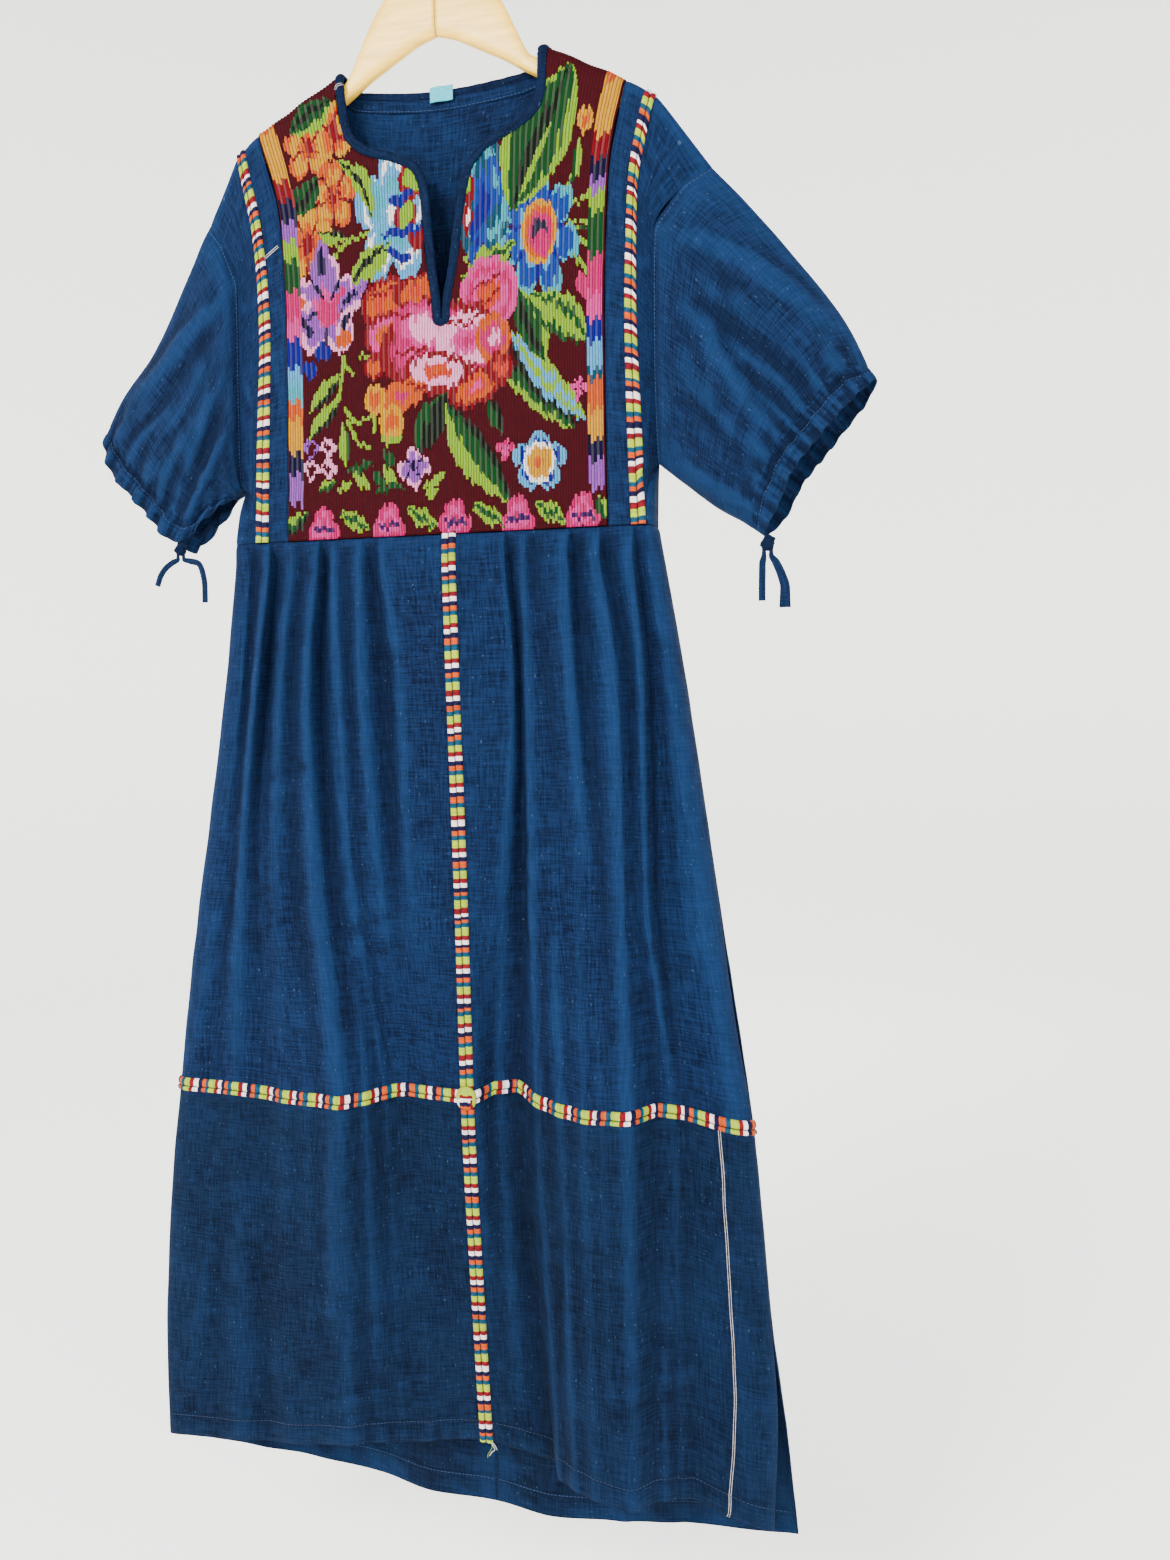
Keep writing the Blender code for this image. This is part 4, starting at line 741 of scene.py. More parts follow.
def sleeve_point(side, face, surface, a, b):
    x, z = surface(a, b)
    sign = FACE_SIGN[face]
    share = 1.0 if face == "front" else SLEEVE_BACK_SHARE
    profile = sleeve_profile(b)
    places, depths = zip(*SLEEVES[side].depths)
    depth = smooth(places, depths, min(a, 1.0)) * profile * share
    if a == 0:
        return (x, arm_point(side, face, b)[1], z)
    for fold in SLEEVE_FOLDS[side]:
        centre = fold.at_arm + (fold.at_cuff - fold.at_arm) * min(a, 1.0)
        centre = centre if face == "front" else 1 - centre
        rise = min(max((a - fold.start) / SLEEVE_FOLD_RISE, 0.0), 1.0)
        fall = min(max((fold.end - a) / SLEEVE_FOLD_FALL + 1, 0.0), 1.0)
        swell = math.exp(-(((b - centre) / fold.width) ** 2))
        depth += fold.height * share * rise * fall * swell * profile
    swing = math.sin(2 * math.pi * CUFF_WAVES * b + CUFF_UNEVENNESS * math.sin(4 * math.pi * b))
    gathered = max(a - 1, 0.0)
    depth += GATHER_HEIGHT * swing * gathered**1.2 * profile
    depth -= CASING_PINCH * math.sin(math.pi * min(2 * gathered, 1.0)) * profile
    return (x, sign * (EDGE_GAP + depth), z)


# How far apart the points of each made piece lie
SKIRT_FINENESS = 5.5
SLEEVE_FINENESS = 3.2
CUFF_FINENESS = 3.5
YOKE_FINENESS = 4.0
BACK_FINENESS = 5.5
WRAP_STEP = 0.7
PANEL_RIBS = 59
PANEL_ROW = 2.0

CLOTH_THICKNESS = 1.1
PANEL_THICKNESS = 1.6
RIB_HEIGHT = 0.9
FLOAT_HEIGHT = 0.3
HEM_DEPTH = 20.0
CASING_DEPTH = 13.0
EDGE_ROLL = 0.8
EDGE_ROLL_WIDTH = 2.2
SEAM_GUARD = (0.8, 2.4)


# Cloth surfaces

def fine_places(points, size):
    """Places of rows about a size apart along a grid, with two more beside each end."""
    steps = np.linalg.norm(np.diff(points, axis=0), axis=-1).max(axis=1)
    places = []
    for k, length in enumerate(steps):
        count = max(math.ceil(length / size), 1)
        places += [k + j / count for j in range(count)]
    last = len(steps)
    places += [guard / steps[0] for guard in SEAM_GUARD if guard < 0.8 * size]
    places += [last - guard / steps[-1] for guard in SEAM_GUARD if guard < 0.8 * size]
    return np.array(sorted(places) + [last])


def along(points, at):
    """Rows of a grid at places between its rows, on curves that never overshoot them."""
    steps = np.maximum(np.linalg.norm(np.diff(points, axis=0), axis=-1).mean(axis=1), TINY)
    rises = np.diff(points, axis=0) / steps[:, None, None]
    slopes = np.empty_like(points)
    slopes[0], slopes[-1] = rises[0], rises[-1]
    before, after = rises[:-1], rises[1:]
    same_way = before * after > 0
    total = np.where(same_way, before + after, 1.0)
    slopes[1:-1] = np.where(same_way, 2 * before * after / total, 0.0)
    at = np.asarray(at, float)
    i = np.clip(np.floor(at).astype(int), 0, len(steps) - 1)
    s = (at - i)[:, None, None]
    length = steps[i][:, None, None]
    return between_knots(s, length, points[i], points[i + 1], slopes[i], slopes[i + 1])


def refined(points, size):
    """The same surface with its points about a size apart both ways."""
    points = along(points, fine_places(points, size))
    turned = points.swapaxes(0, 1)
    return along(turned, fine_places(turned, size)).swapaxes(0, 1)


def thread_places(points):
    """How far each column and each row lies along the cloth, in millimetres."""
    across = np.linalg.norm(np.diff(points, axis=1), axis=-1).mean(axis=0)
    upward = np.linalg.norm(np.diff(points, axis=0), axis=-1).mean(axis=1)
    return np.concatenate([[0], np.cumsum(across)]), np.concatenate([[0], np.cumsum(upward)])


def outward_normals(points, face):
    normals = normals_of(points)
    sign = FACE_SIGN[face]
    return normals if normals[..., 1].mean() * sign > 0 else -normals


# A crease by its start and end as shares of the piece's width and height from its foot, then how
# wide it is and how high it stands, in millimetres. A trough has a negative height.
Crease = namedtuple("Crease", "u0 v0 u1 v1 width height")


def creases(*rows):
    return tuple(Crease(*row) for row in rows)


SIDE_TROUGH = 0.45
TROUGH_PLACE = 1.7
CREASE_BEND = 0.6
CREASE_TAPER = 0.7
# Low waves of each kind of piece: height and the seed of their random draws
WAVE_COUNT = 12
WAVE_LENGTHS = (22, 80)
WAVE_BENDS = (0.5, 1.5)
CROSS_STRETCH = 2.3
WAVE_SHARE = 3.5
WAVES = {
    "panel": (0.5, 5), "strip": (0.3, 3), "side": (0.3, 4), "back": (0.4, 6), "turning": (0.15, 8),
    "skirt": (0.3, 36), "skirt_back": (0.4, 37), "sleeve": (0.3, 41), "cuff": (0.2, 43),
}
# How far in from its seams a cloth is held flat, and the least share of its relief there
HELD_WIDTH = 12
HELD_SHARE = 0.15


def crease_height(crease, u, v):
    """Height of one crease over the cloth: highest halfway, with a shallow trough on one side."""
    start = np.array([crease.u0 * u.max(), crease.v0 * v.max()])
    run = np.array([crease.u1 * u.max(), crease.v1 * v.max()]) - start
    length = np.hypot(*run)
    run /= length
    t = ((u - start[0]) * run[0] + (v - start[1]) * run[1]) / length
    away = (u - start[0]) * run[1] - (v - start[1]) * run[0]
    away = away + crease.width * CREASE_BEND * np.sin(2.6 * t + crease.u0 * 9)
    taper = np.sin(np.pi * np.clip(t, 0, 1)) ** CREASE_TAPER
    ridge = np.exp(-((away / crease.width) ** 2))
    trough = np.exp(-(((away - TROUGH_PLACE * crease.width) / crease.width) ** 2))
    return crease.height * taper * (ridge - SIDE_TROUGH * trough)


def soft_waves(u, v, height, seed):
    """Uneven low waves of hand-washed cloth."""
    drawn = random.Random(seed)
    total = np.zeros_like(u)
    for _ in range(WAVE_COUNT):
        turn, length = drawn.uniform(0, math.tau), drawn.uniform(*WAVE_LENGTHS)
        phase, bend = drawn.uniform(0, math.tau), drawn.uniform(*WAVE_BENDS)
        way = (u * math.cos(turn) + v * math.sin(turn)) / length
        cross = (v * math.cos(turn) - u * math.sin(turn)) / (CROSS_STRETCH * length)
        total += np.sin(math.tau * way + phase + bend * np.sin(math.tau * cross))
    return total * height / WAVE_SHARE


def shaped(points, face, waves, creases=(), relief=None, rolled=EDGE_ROLL):
    """Cloth with its creases, soft waves and edges drawn in by their seams."""
    normals = outward_normals(points, face)
    across, upward = thread_places(points)
    u, v = np.meshgrid(across, upward)
    height = soft_waves(u, v, *WAVES[waves])
    for crease in creases:
        height += crease_height(crease, u, v)
    if relief is not None:
        height += relief(v)
    inset = np.minimum(np.minimum(u, u.max() - u), np.minimum(v, v.max() - v))
    height *= np.clip(inset / HELD_WIDTH, HELD_SHARE, 1)
    height -= rolled * np.exp(-((inset / EDGE_ROLL_WIDTH) ** 2))
    return points + normals * height[..., None]


def standing_out(points, face, reach=2, gain=0.9):
    """How far each point stands out of the cloth round it, from 0 in a dip to 1 on a ridge."""
    normals = outward_normals(points, face)
    padded = np.pad(points, ((reach, reach), (reach, reach), (0, 0)), mode="edge")
    rows, columns = points.shape[:2]
    mean = np.zeros_like(points)
    shifts = ((0, reach), (2 * reach, reach), (reach, 0), (reach, 2 * reach))
    for down, right in shifts:
        mean += padded[down:down + rows, right:right + columns] / len(shifts)
    return np.clip(0.5 + ((points - mean) * normals).sum(axis=-1) * gain, 0, 1)


# Making objects from grids

def mesh_from(shape, name):
    """A new mesh of a finished shape."""
    mesh = bpy.data.meshes.new(name)
    shape.to_mesh(mesh)
    shape.free()
    return mesh


def spun(profile, steps):
    """A shape turned round the upright axis, from places out and up in metres."""
    shape = bmesh.new()
    rim = [shape.verts.new((out, 0.0, up)) for out, up in profile]
    edges = [shape.edges.new(pair) for pair in zip(rim, rim[1:])]
    bmesh.ops.spin(
        shape, geom=rim + edges, cent=(0, 0, 0), axis=(0, 0, 1), angle=math.tau, steps=steps, use_merge=True,
    )
    bmesh.ops.remove_doubles(shape, verts=shape.verts, dist=MERGE_DISTANCE)
    return shape


def in_scene(name, data):
    """A new object, linked into the scene."""
    thing = bpy.data.objects.new(name, data)
    bpy.context.scene.collection.objects.link(thing)
    return thing


def strand(name, places, radius, rounding, material):
    """A round wire or thread through places in metres, riding on the body."""
    curve = bpy.data.curves.new(name, "CURVE")
    curve.dimensions = "3D"
    curve.bevel_depth = radius * MM
    curve.bevel_resolution = rounding
    curve.use_fill_caps = True
    spline = curve.splines.new("POLY")
    spline.points.add(len(places) - 1)
    for knot, place in zip(spline.points, places):
        knot.co = (*place, 1.0)
    piece = in_scene(name, curve)
    curve.materials.append(material)
    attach(piece, BODY)
    return piece


def finished(name, mesh, material, nodes=(), wall=0.0):
    """A piece of the dress from a mesh in place: it rides on the body and stands for some solids."""
    piece = in_scene(name, mesh)
    mesh.materials.append(material)
    mesh.shade_smooth()
    if wall:
        thickness = piece.modifiers.new("wall", "SOLIDIFY")
        thickness.thickness = wall * MM
        thickness.offset = 0.0
    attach(piece, BODY)
    if nodes:
        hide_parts(*nodes)
    return piece


def grid_mesh(name, points, wear=None, tints=None, opening=None):
    """A mesh over a grid of points in millimetres, with its thread directions as UV."""
    rows, columns = points.shape[0] - 1, points.shape[1] - 1
    shape = bmesh.new()
    bmesh.ops.create_grid(shape, x_segments=columns, y_segments=rows, size=0.5)
    places = [(round((p.co.y + 0.5) * rows), round((p.co.x + 0.5) * columns)) for p in shape.verts]
    row, column = np.array(places).T
    for vertex, place in zip(shape.verts, points[row, column] * MM):
        vertex.co = place
    bmesh.ops.recalc_face_normals(shape, faces=shape.faces)
    mesh = mesh_from(shape, name)
    corner = np.empty(len(mesh.loops), np.int32)
    mesh.loops.foreach_get("vertex_index", corner)
    across, upward = thread_places(points)
    uv = np.stack([across[column[corner]], upward[row[corner]]], axis=1) * MM
    mesh.uv_layers.new(name="threads").data.foreach_set("uv", uv.ravel())
    if wear is not None:
        mesh.attributes.new("wear", "FLOAT", "POINT").data.foreach_set("value", wear[row, column])
    if tints is not None:
        faces = corner.reshape(-1, 4)
        tint = tints[row[faces].min(axis=1), column[faces].min(axis=1)].repeat(4, axis=0)
        mesh.color_attributes.new("thread", "FLOAT_COLOR", "CORNER").data.foreach_set("color", tint.ravel())
    if opening is not None:
        shape = bmesh.new()
        shape.from_mesh(mesh)
        inside = opening[row, column]
        gone = [face for face in shape.faces if all(inside[corner.index] for corner in face.verts)]
        bmesh.ops.delete(shape, geom=gone, context="FACES")
        shape.to_mesh(mesh)
        shape.free()
    return mesh


# How far round each point its ridge is judged, in points, and how strongly it shows. The cloth material
# paints ridges paler, partly as wear and partly as painted highlight, and dips darker as painted shade
WEAR_AND_SHADING_SETTINGS = {
    "yoke": (2, 0.9), "upper": (2, 0.6), "lower": (2, 0.35), "skirt_back": (3, 0.45), "sleeve": (4, 0.55),
}


def cloth(name, nodes, points, face, material, wear="yoke"):
    """A piece of plain cloth that stands for some solids."""
    mesh = grid_mesh(name, points, standing_out(points, face, *WEAR_AND_SHADING_SETTINGS[wear]))
    piece = finished(name, mesh, material, nodes, CLOTH_THICKNESS)
    return piece


# The brocaded panel

def byte_colour(red, green, blue):
    """A linear colour from the three bytes of a screen colour."""
    def linear(byte):
        share = byte / 255
        return share / 12.92 if share <= 0.04045 else ((share + 0.055) / 1.055) ** 2.4
    return (linear(red), linear(green), linear(blue), 1.0)


DYE_STRENGTH = 1.6
DYE_DEPTH = 0.42


def dyed(red, green, blue):
    """The strong colour of a dyed thread. The paler it is, the less light it takes up."""
    shares = byte_colour(red, green, blue)[:3]
    light = DYE_DEPTH + (1 - DYE_DEPTH) * min(shares)
    return tuple(light * share ** DYE_STRENGTH for share in shares) + (1.0,)


THREADS = {
    "maroon": byte_colour(52, 3, 10),
    "white": dyed(237, 230, 228),
    "navy": dyed(33, 25, 107),
    "cobalt": dyed(31, 45, 184),
    "blue": dyed(31, 115, 204),
    "sky": dyed(128, 199, 235),
    "teal": dyed(33, 128, 153),
    "aqua": dyed(107, 204, 217),
    "green": dyed(31, 128, 69),
    "dark_green": dyed(13, 69, 43),
    "lime": dyed(184, 219, 64),
    "pale_lime": dyed(216, 232, 92),
    "orange": dyed(246, 138, 24),
    "yellow": dyed(252, 200, 18),
    "coral": dyed(242, 107, 77),
    "pink": dyed(240, 28, 158),
    "rose": dyed(245, 104, 186),
    "pale_pink": dyed(247, 184, 216),
    "lilac": dyed(184, 122, 209),
    "purple": dyed(110, 40, 140),
    "crimson": dyed(184, 15, 64),
    "slate": dyed(70, 80, 110),
}

# The panel's figures in millimetres across and up. They are worked in this order. Tones run from
# the middle outward, and on a leaf from its left edge to its right one as it points up.
Stem = namedtuple("Stem", "points width colour")
Leaf = namedtuple("Leaf", "x0 z0 x1 z1 width bend tones")
Bloom = namedtuple("Bloom", "x z rx rz petals tones parting")
Oval = namedtuple("Oval", "x z rx rz tilt tones")
# Middles of the buds in the bottom row
BUDS = (-107, -43, 20, 78, 137)

STEMS = (
    Stem(((100, -254), (81, -268), (71, -286), (68, -301), (57, -313), (43, -324), (32, -326)), 6, "lime"),
    Stem(((97, -258), (78, -272), (68, -290), (64, -304)), 3, "green"),
    Stem(((118, -278), (132, -265), (134, -240)), 4, "lime"),
    Stem(((123, -291), (140, -287), (148, -275)), 4, "lime"),
    Stem(((123, -307), (149, -309)), 4, "lime"),
    Stem(((125, -318), (148, -330)), 4, "lime"),
    Stem(((128, -331), (141, -350)), 4, "lime"),
    Stem(((116, -283), (128, -271), (130, -246)), 2.6, "green"),
    Stem(((124, -312), (147, -314)), 2.6, "green"),
    Stem(((-86, -402), (-91, -436), (-98, -443)), 3.5, "lime"),
    Stem(((-86, -409), (-77, -419)), 3.5, "lime"),
    Stem(((-86, -448), (-76, -462), (-57, -458)), 3.5, "lime"),
    Stem(((-83, -460), (-74, -478), (-61, -487)), 3.5, "lime"),
    Stem(((-57, -470), (-56, -452)), 3, "lime"),
    Stem(((-96, -312), (-79, -298), (-56, -295)), 4, "lime"),
    Stem(((-70, -402), (-58, -408)), 3.5, "lime"),
)
LEAVES = (
    Leaf(64, -268, 90, -212, 16, 0, ("dark_green", "maroon", "dark_green", "lime")),
    Leaf(73, -291, 128, -172, 60, 5, ("lime", "green", "green", "dark_green", "green", "green", "lime")),
    Leaf(80, -282, 110, -215, 5, 0, ("lime",)),
    Leaf(-140, -196, -98, -172, 30, 0, ("green", "dark_green", "green", "lime")),
    Leaf(-92, -226, -58, -281, 17, 9, ("lime", "lime", "dark_green", "lime")),
    Leaf(-139, -272, -110, -240, 25, 0, ("green", "dark_green", "green")),
    Leaf(-112, -290, -82, -298, 13, 0, ("dark_green", "lime", "lime")),
    Leaf(-78, -342, -40, -306, 25, 3, ("lime", "dark_green", "lime", "lime")),
    Leaf(-121, -449, -90, -415, 15, 0, ("lime", "lime", "dark_green")),
    Leaf(-121, -472, -91, -439, 15, 0, ("lime", "lime", "dark_green")),
    Leaf(-85, -500, -87, -462, 11, 0, ("lime", "lime", "green")),
    Leaf(-13, -493, 13, -444, 30, 3, ("green", "dark_green", "dark_green")),
    Leaf(12, -452, 72, -540, 33, -5, ("dark_green", "green", "green", "lime", "lime")),
    Leaf(58, -420, 130, -482, 25, 4, ("dark_green", "green", "green", "lime")),
    Leaf(72, -394, 140, -476, 27, -4, ("lime", "sky", "lime", "sky", "dark_green")),
    Leaf(52, -450, 64, -480, 13, 0, ("dark_green", "green")),
    Leaf(78, -358, 104, -420, 27, 0, ("lime", "green", "dark_green", "green")),
    Leaf(88, -362, 140, -408, 34, 4, ("lime", "green", "lime", "lime", "green")),
    Leaf(10, -398, 44, -352, 19, 2, ("lime", "lime", "green")),
    Leaf(26, -345, 78, -316, 16, 0, ("lime", "green", "lime")),
    Leaf(36, -362, 74, -326, 13, 0, ("lime", "dark_green")),
    Leaf(-113, -521, -95, -512, 10, 0, ("lime", "green")),
    Leaf(-94, -522, -79, -515, 7, 0, ("lime",)),
    Leaf(-85, -505, -57, -499, 8, 0, ("green",)),
    Leaf(-78, -506, -61, -523, 9, 0, ("lime",)),
    Leaf(-58, -505, -45, -526, 8, 0, ("green",)),
    Leaf(-49, -502, -35, -523, 9, 0, ("lime",)),
    Leaf(-48, -489, -37, -505, 9, 0, ("green",)),
    Leaf(-57, -526, -25, -522, 6, 2, ("green",)),
    Leaf(-10, -526, 12, -513, 9, 0, ("lime",)),
    Leaf(-8, -533, 5, -526, 8, 0, ("lime",)),
    Leaf(-150, -560, -122, -541, 15, 0, ("lime", "green", "dark_green")),
    Leaf(-91, -541, -62, -559, 15, 0, ("lime", "green", "lime")),
    Leaf(-26, -541, 4, -560, 15, 0, ("lime", "green", "lime")),
    Leaf(36, -541, 66, -560, 15, 0, ("lime", "green", "lime")),
    Leaf(94, -541, 122, -560, 15, 0, ("lime", "green", "lime")),
    Leaf(150, -541, 160, -562, 12, 0, ("lime", "green")),
)
BLOOMS = (
    Bloom(-120, -212, 27, 30, 5, ("crimson", "orange", "yellow", "yellow", "orange"), "crimson"),
    Bloom(-95, -202, 18, 28, 3, ("crimson", "orange", "yellow"), "crimson"),
    Bloom(-96, -258, 25, 32, 5, ("crimson", "orange", "yellow", "orange"), "crimson"),
    Bloom(-122, -298, 26, 36, 5, ("crimson", "orange", "yellow", "yellow"), "crimson"),
    Bloom(-38, -281, 38, 66, 5, ("white", "sky", "aqua", "sky", "white", "sky"), "sky"),
    Bloom(48, -276, 26, 62, 3, ("cobalt", "blue", "teal", "aqua", "teal"), "blue"),
    Bloom(97, -313, 38, 58, 7, ("blue", "blue", "sky", "blue", "blue", "aqua"), "cobalt"),
    Bloom(-103, -356, 36, 48, 5, ("pink", "rose", "lilac", "lilac", "pale_pink"), "navy"),
    Bloom(-108, -318, 12, 22, 3, ("navy", "lilac"), None),
    Bloom(98, -507, 26, 27, 5, ("cobalt", "cobalt", "cobalt", "sky"), None),
    Bloom(-120, -482, 9, 9, 4, ("maroon", "lilac"), None),
    Bloom(-102, -482, 9, 9, 4, ("maroon", "pale_pink"), None),
    Bloom(-120, -501, 9, 9, 4, ("maroon", "pale_pink"), None),
    Bloom(-102, -501, 9, 9, 4, ("maroon", "pale_pink"), None),
    Bloom(-19, -506, 16, 18, 4, ("navy", "lilac", "lilac", "pale_pink"), "navy"),
    Bloom(133, -447, 9, 9, 4, ("rose", "rose"), "maroon"),
    Bloom(67, -494, 9, 9, 4, ("rose", "pink"), "maroon"),
) + tuple(Bloom(x, -554, 17, 18, 3, ("pink", "rose", "pink"), None) for x in BUDS)
OVALS = (
    Oval(-85, -196, 10, 16, 20, ("orange", "yellow", "crimson")),
    Oval(-20, -252, 13, 16, 20, ("lime", "lime", "crimson")),
    Oval(-26, -283, 11, 16, -10, ("lime", "lime", "crimson")),
    Oval(-16, -305, 8, 9, 0, ("crimson",)),
    Oval(-30, -268, 12, 5, 20, ("cobalt",)),
    Oval(-30, -297, 20, 4, 5, ("cobalt",)),
    Oval(-32, -318, 14, 4, -25, ("cobalt",)),
    Oval(-52, -262, 5, 12, 25, ("aqua",)),
    Oval(34, -266, 5, 13, 0, ("lime", "crimson")),
    Oval(33, -292, 5, 14, 0, ("white", "crimson")),
    Oval(44, -292, 6, 20, -25, ("cobalt",)),
    Oval(40, -318, 5, 14, -20, ("cobalt", "blue")),
    Oval(58, -262, 6, 22, 10, ("aqua", "blue")),
    Oval(-103, -362, 9, 11, 0, ("pink", "pink")),
    Oval(-92, -354, 6, 16, -20, ("pink",)),
    Oval(-124, -372, 7, 19, 40, ("navy", "lilac")),
    Oval(-78, -348, 6, 18, -55, ("navy", "lilac")),
    Oval(-86, -372, 6, 15, -25, ("navy", "pale_pink")),
    Oval(-128, -352, 9, 8, 0, ("orange", "pale_pink")),
    Oval(-86, -386, 8, 8, 0, ("orange",)),
    Oval(-42, -360, 27, 25, 15, ("orange", "coral", "orange", "crimson")),
    Oval(-16, -350, 24, 13, 15, ("coral", "orange", "crimson")),
    Oval(-44, -388, 22, 21, -10, ("crimson", "orange", "rose", "crimson")),
    Oval(52, -360, 27, 33, -10, ("orange", "coral", "rose", "pink", "rose")),
    Oval(10, -403, 62, 41, 0, ("pink", "pink", "rose", "pink", "crimson")),
    Oval(-8, -384, 33, 22, -25, ("pale_pink", "pale_pink", "rose", "pink")),
    Oval(32, -398, 30, 25, 10, ("pink", "rose", "pale_pink", "pale_pink")),
    Oval(56, -398, 16, 22, 0, ("pale_pink", "pink", "orange")),
    Oval(4, -423, 33, 17, -8, ("orange", "coral", "pale_pink", "pale_pink", "crimson")),
    Oval(-30, -441, 23, 13, 15, ("pink", "orange", "orange")),
    Oval(40, -440, 26, 15, 25, ("rose", "coral", "orange", "crimson")),
    Oval(62, -424, 12, 15, 0, ("coral", "crimson")),
    Oval(-107, -396, 8, 8, 0, ("cobalt",)),
    Oval(-120, -411, 7, 8, 0, ("cobalt",)),
    Oval(-57, -415, 10, 10, 30, ("orange", "orange", "crimson")),
    Oval(-56, -443, 10, 14, 0, ("orange", "yellow")),
    Oval(-40, -476, 10, 9, 0, ("lime",)),
    Oval(-40, -464, 12, 15, 0, ("orange", "yellow")),
    Oval(139, -221, 7, 11, 0, ("orange", "yellow")),
    Oval(138, -362, 6, 13, 25, ("pink",)),
    Oval(98, -310, 16, 28, 0, ("slate", "slate", "pink", "orange", "yellow")),
    Oval(101, -320, 7, 12, 0, ("pink",)),
    Oval(98, -507, 14, 18, 0, ("orange", "yellow", "yellow", "white")),
)
CROSSINGS = (
    Stem(((38, -356), (49, -349), (62, -344)), 3, "crimson"),
    Stem(((34, -370), (50, -366), (61, -357)), 3, "crimson"),
    Stem(((-60, -352), (-38, -346), (-14, -338)), 3, "crimson"),
    Stem(((-62, -372), (-42, -368), (-22, -372)), 3, "crimson"),
    Stem(((-34, -404), (-10, -402), (14, -412), (40, -420)), 3.5, "crimson"),
    Stem(((14, -380), (30, -384), (46, -376)), 3, "crimson"),
    Stem(((-24, -432), (2, -440), (28, -436)), 3, "crimson"),
    Stem(((98, -348), (100, -338)), 3, "cobalt"),
) + tuple(Stem(((x - 8, -556), (x + 9, -556)), 4.5, "purple") for x in BUDS)
# The band down each outer edge: from the top down, each colour and the height of its foot
BAND_WIDTH = 15.0
BAND_TOP = -160.0
BAND_COLOURS = (
    "orange", "yellow", "crimson", "navy", "lilac", "lime", "green", "pink", "rose", "cobalt", "sky", "aqua",
    "orange", "yellow", "navy", "lilac",
)
BAND_FEET = {
    "left": (-192, -240, -258, -277, -294, -312, -340, -366, -384, -410, -424, -440, -456, -487, -506,
             -533),
    "right": (-190, -236, -256, -272, -283, -300, -336, -368, -390, -408, -432, -440, -466, -492, -509,
              -534),
}
BANDS = {side: list(zip(feet, BAND_COLOURS)) for side, feet in BAND_FEET.items()}
# The one block whose colour isn't the same on both edges
BANDS["right"][11] = (-440, "teal")
# The panel's top, and the levels between which its rows bend to meet the shoulders
PANEL_TOP = -148.0
PANEL_BEND = -380.0
# Rows behind the shoulder, how deep a row may reach into the neck, a level over everything, and
# the cut's round end at the foot of the slit
PANEL_FLAPS = (0.9, 2.2, 3.9, 5.6)
NECK_REACH = 4.5
OPEN_TOP = 60.0
SLIT_ROUND = 4.6
SLIT_LIFT = 5.6
# How unevenly the bands and figures end from rib to rib, and how the stitches vary in shade
BAND_STAGGER = 5.0
RIB_STAGGER = 2.6
TONE_STAGGER = 0.42
STITCH_SEED = 11
STITCH_SHADES = (0.86, 1.08)
PARTING = 0.3


def on_stem(stem, x, z):
    """Where a stem covers the cloth."""
    covered = np.zeros(x.shape, bool)
    for (x0, z0), (x1, z1) in zip(stem.points[:-1], stem.points[1:]):
        length = (x1 - x0) ** 2 + (z1 - z0) ** 2
        t = np.clip(((x - x0) * (x1 - x0) + (z - z0) * (z1 - z0)) / length, 0, 1)
        covered |= np.hypot(x - x0 - t * (x1 - x0), z - z0 - t * (z1 - z0)) < stem.width / 2
    return covered


def on_leaf(leaf, x, z):
    """Where a pointed leaf covers the cloth, and the share of its width from its left edge."""
    length = math.hypot(leaf.x1 - leaf.x0, leaf.z1 - leaf.z0)
    ux, uz = (leaf.x1 - leaf.x0) / length, (leaf.z1 - leaf.z0) / length
    t = ((x - leaf.x0) * ux + (z - leaf.z0) * uz) / length
    bow = np.sin(np.pi * np.clip(t, 0, 1))
    away = (x - leaf.x0) * uz - (z - leaf.z0) * ux + leaf.bend * bow
    half = np.maximum(leaf.width / 2 * bow**0.8, TINY)
    return (t > 0) & (t < 1) & (np.abs(away) < half), np.clip(away / half * 0.5 + 0.5, 0, 1)


def on_bloom(bloom, x, z):
    """Where petals cover the cloth, the share of the way out, and where two petals part."""
    across, up = (x - bloom.x) / bloom.rx, (z - bloom.z) / bloom.rz
    lobe = np.abs(np.cos(np.arctan2(across, up) * bloom.petals / 2))
    share = np.hypot(across, up) / (0.6 + 0.4 * lobe**0.8)
    return share < 1, share, (share > 0.25) & (lobe < PARTING * (1.2 - 0.5 * share))


def on_oval(oval, x, z):
    turn = math.radians(oval.tilt)
    across = (x - oval.x) * math.cos(turn) + (z - oval.z) * math.sin(turn)
    up = (z - oval.z) * math.cos(turn) - (x - oval.x) * math.sin(turn)
    share = np.hypot(across / oval.rx, up / oval.rz)
    return share < 1, share


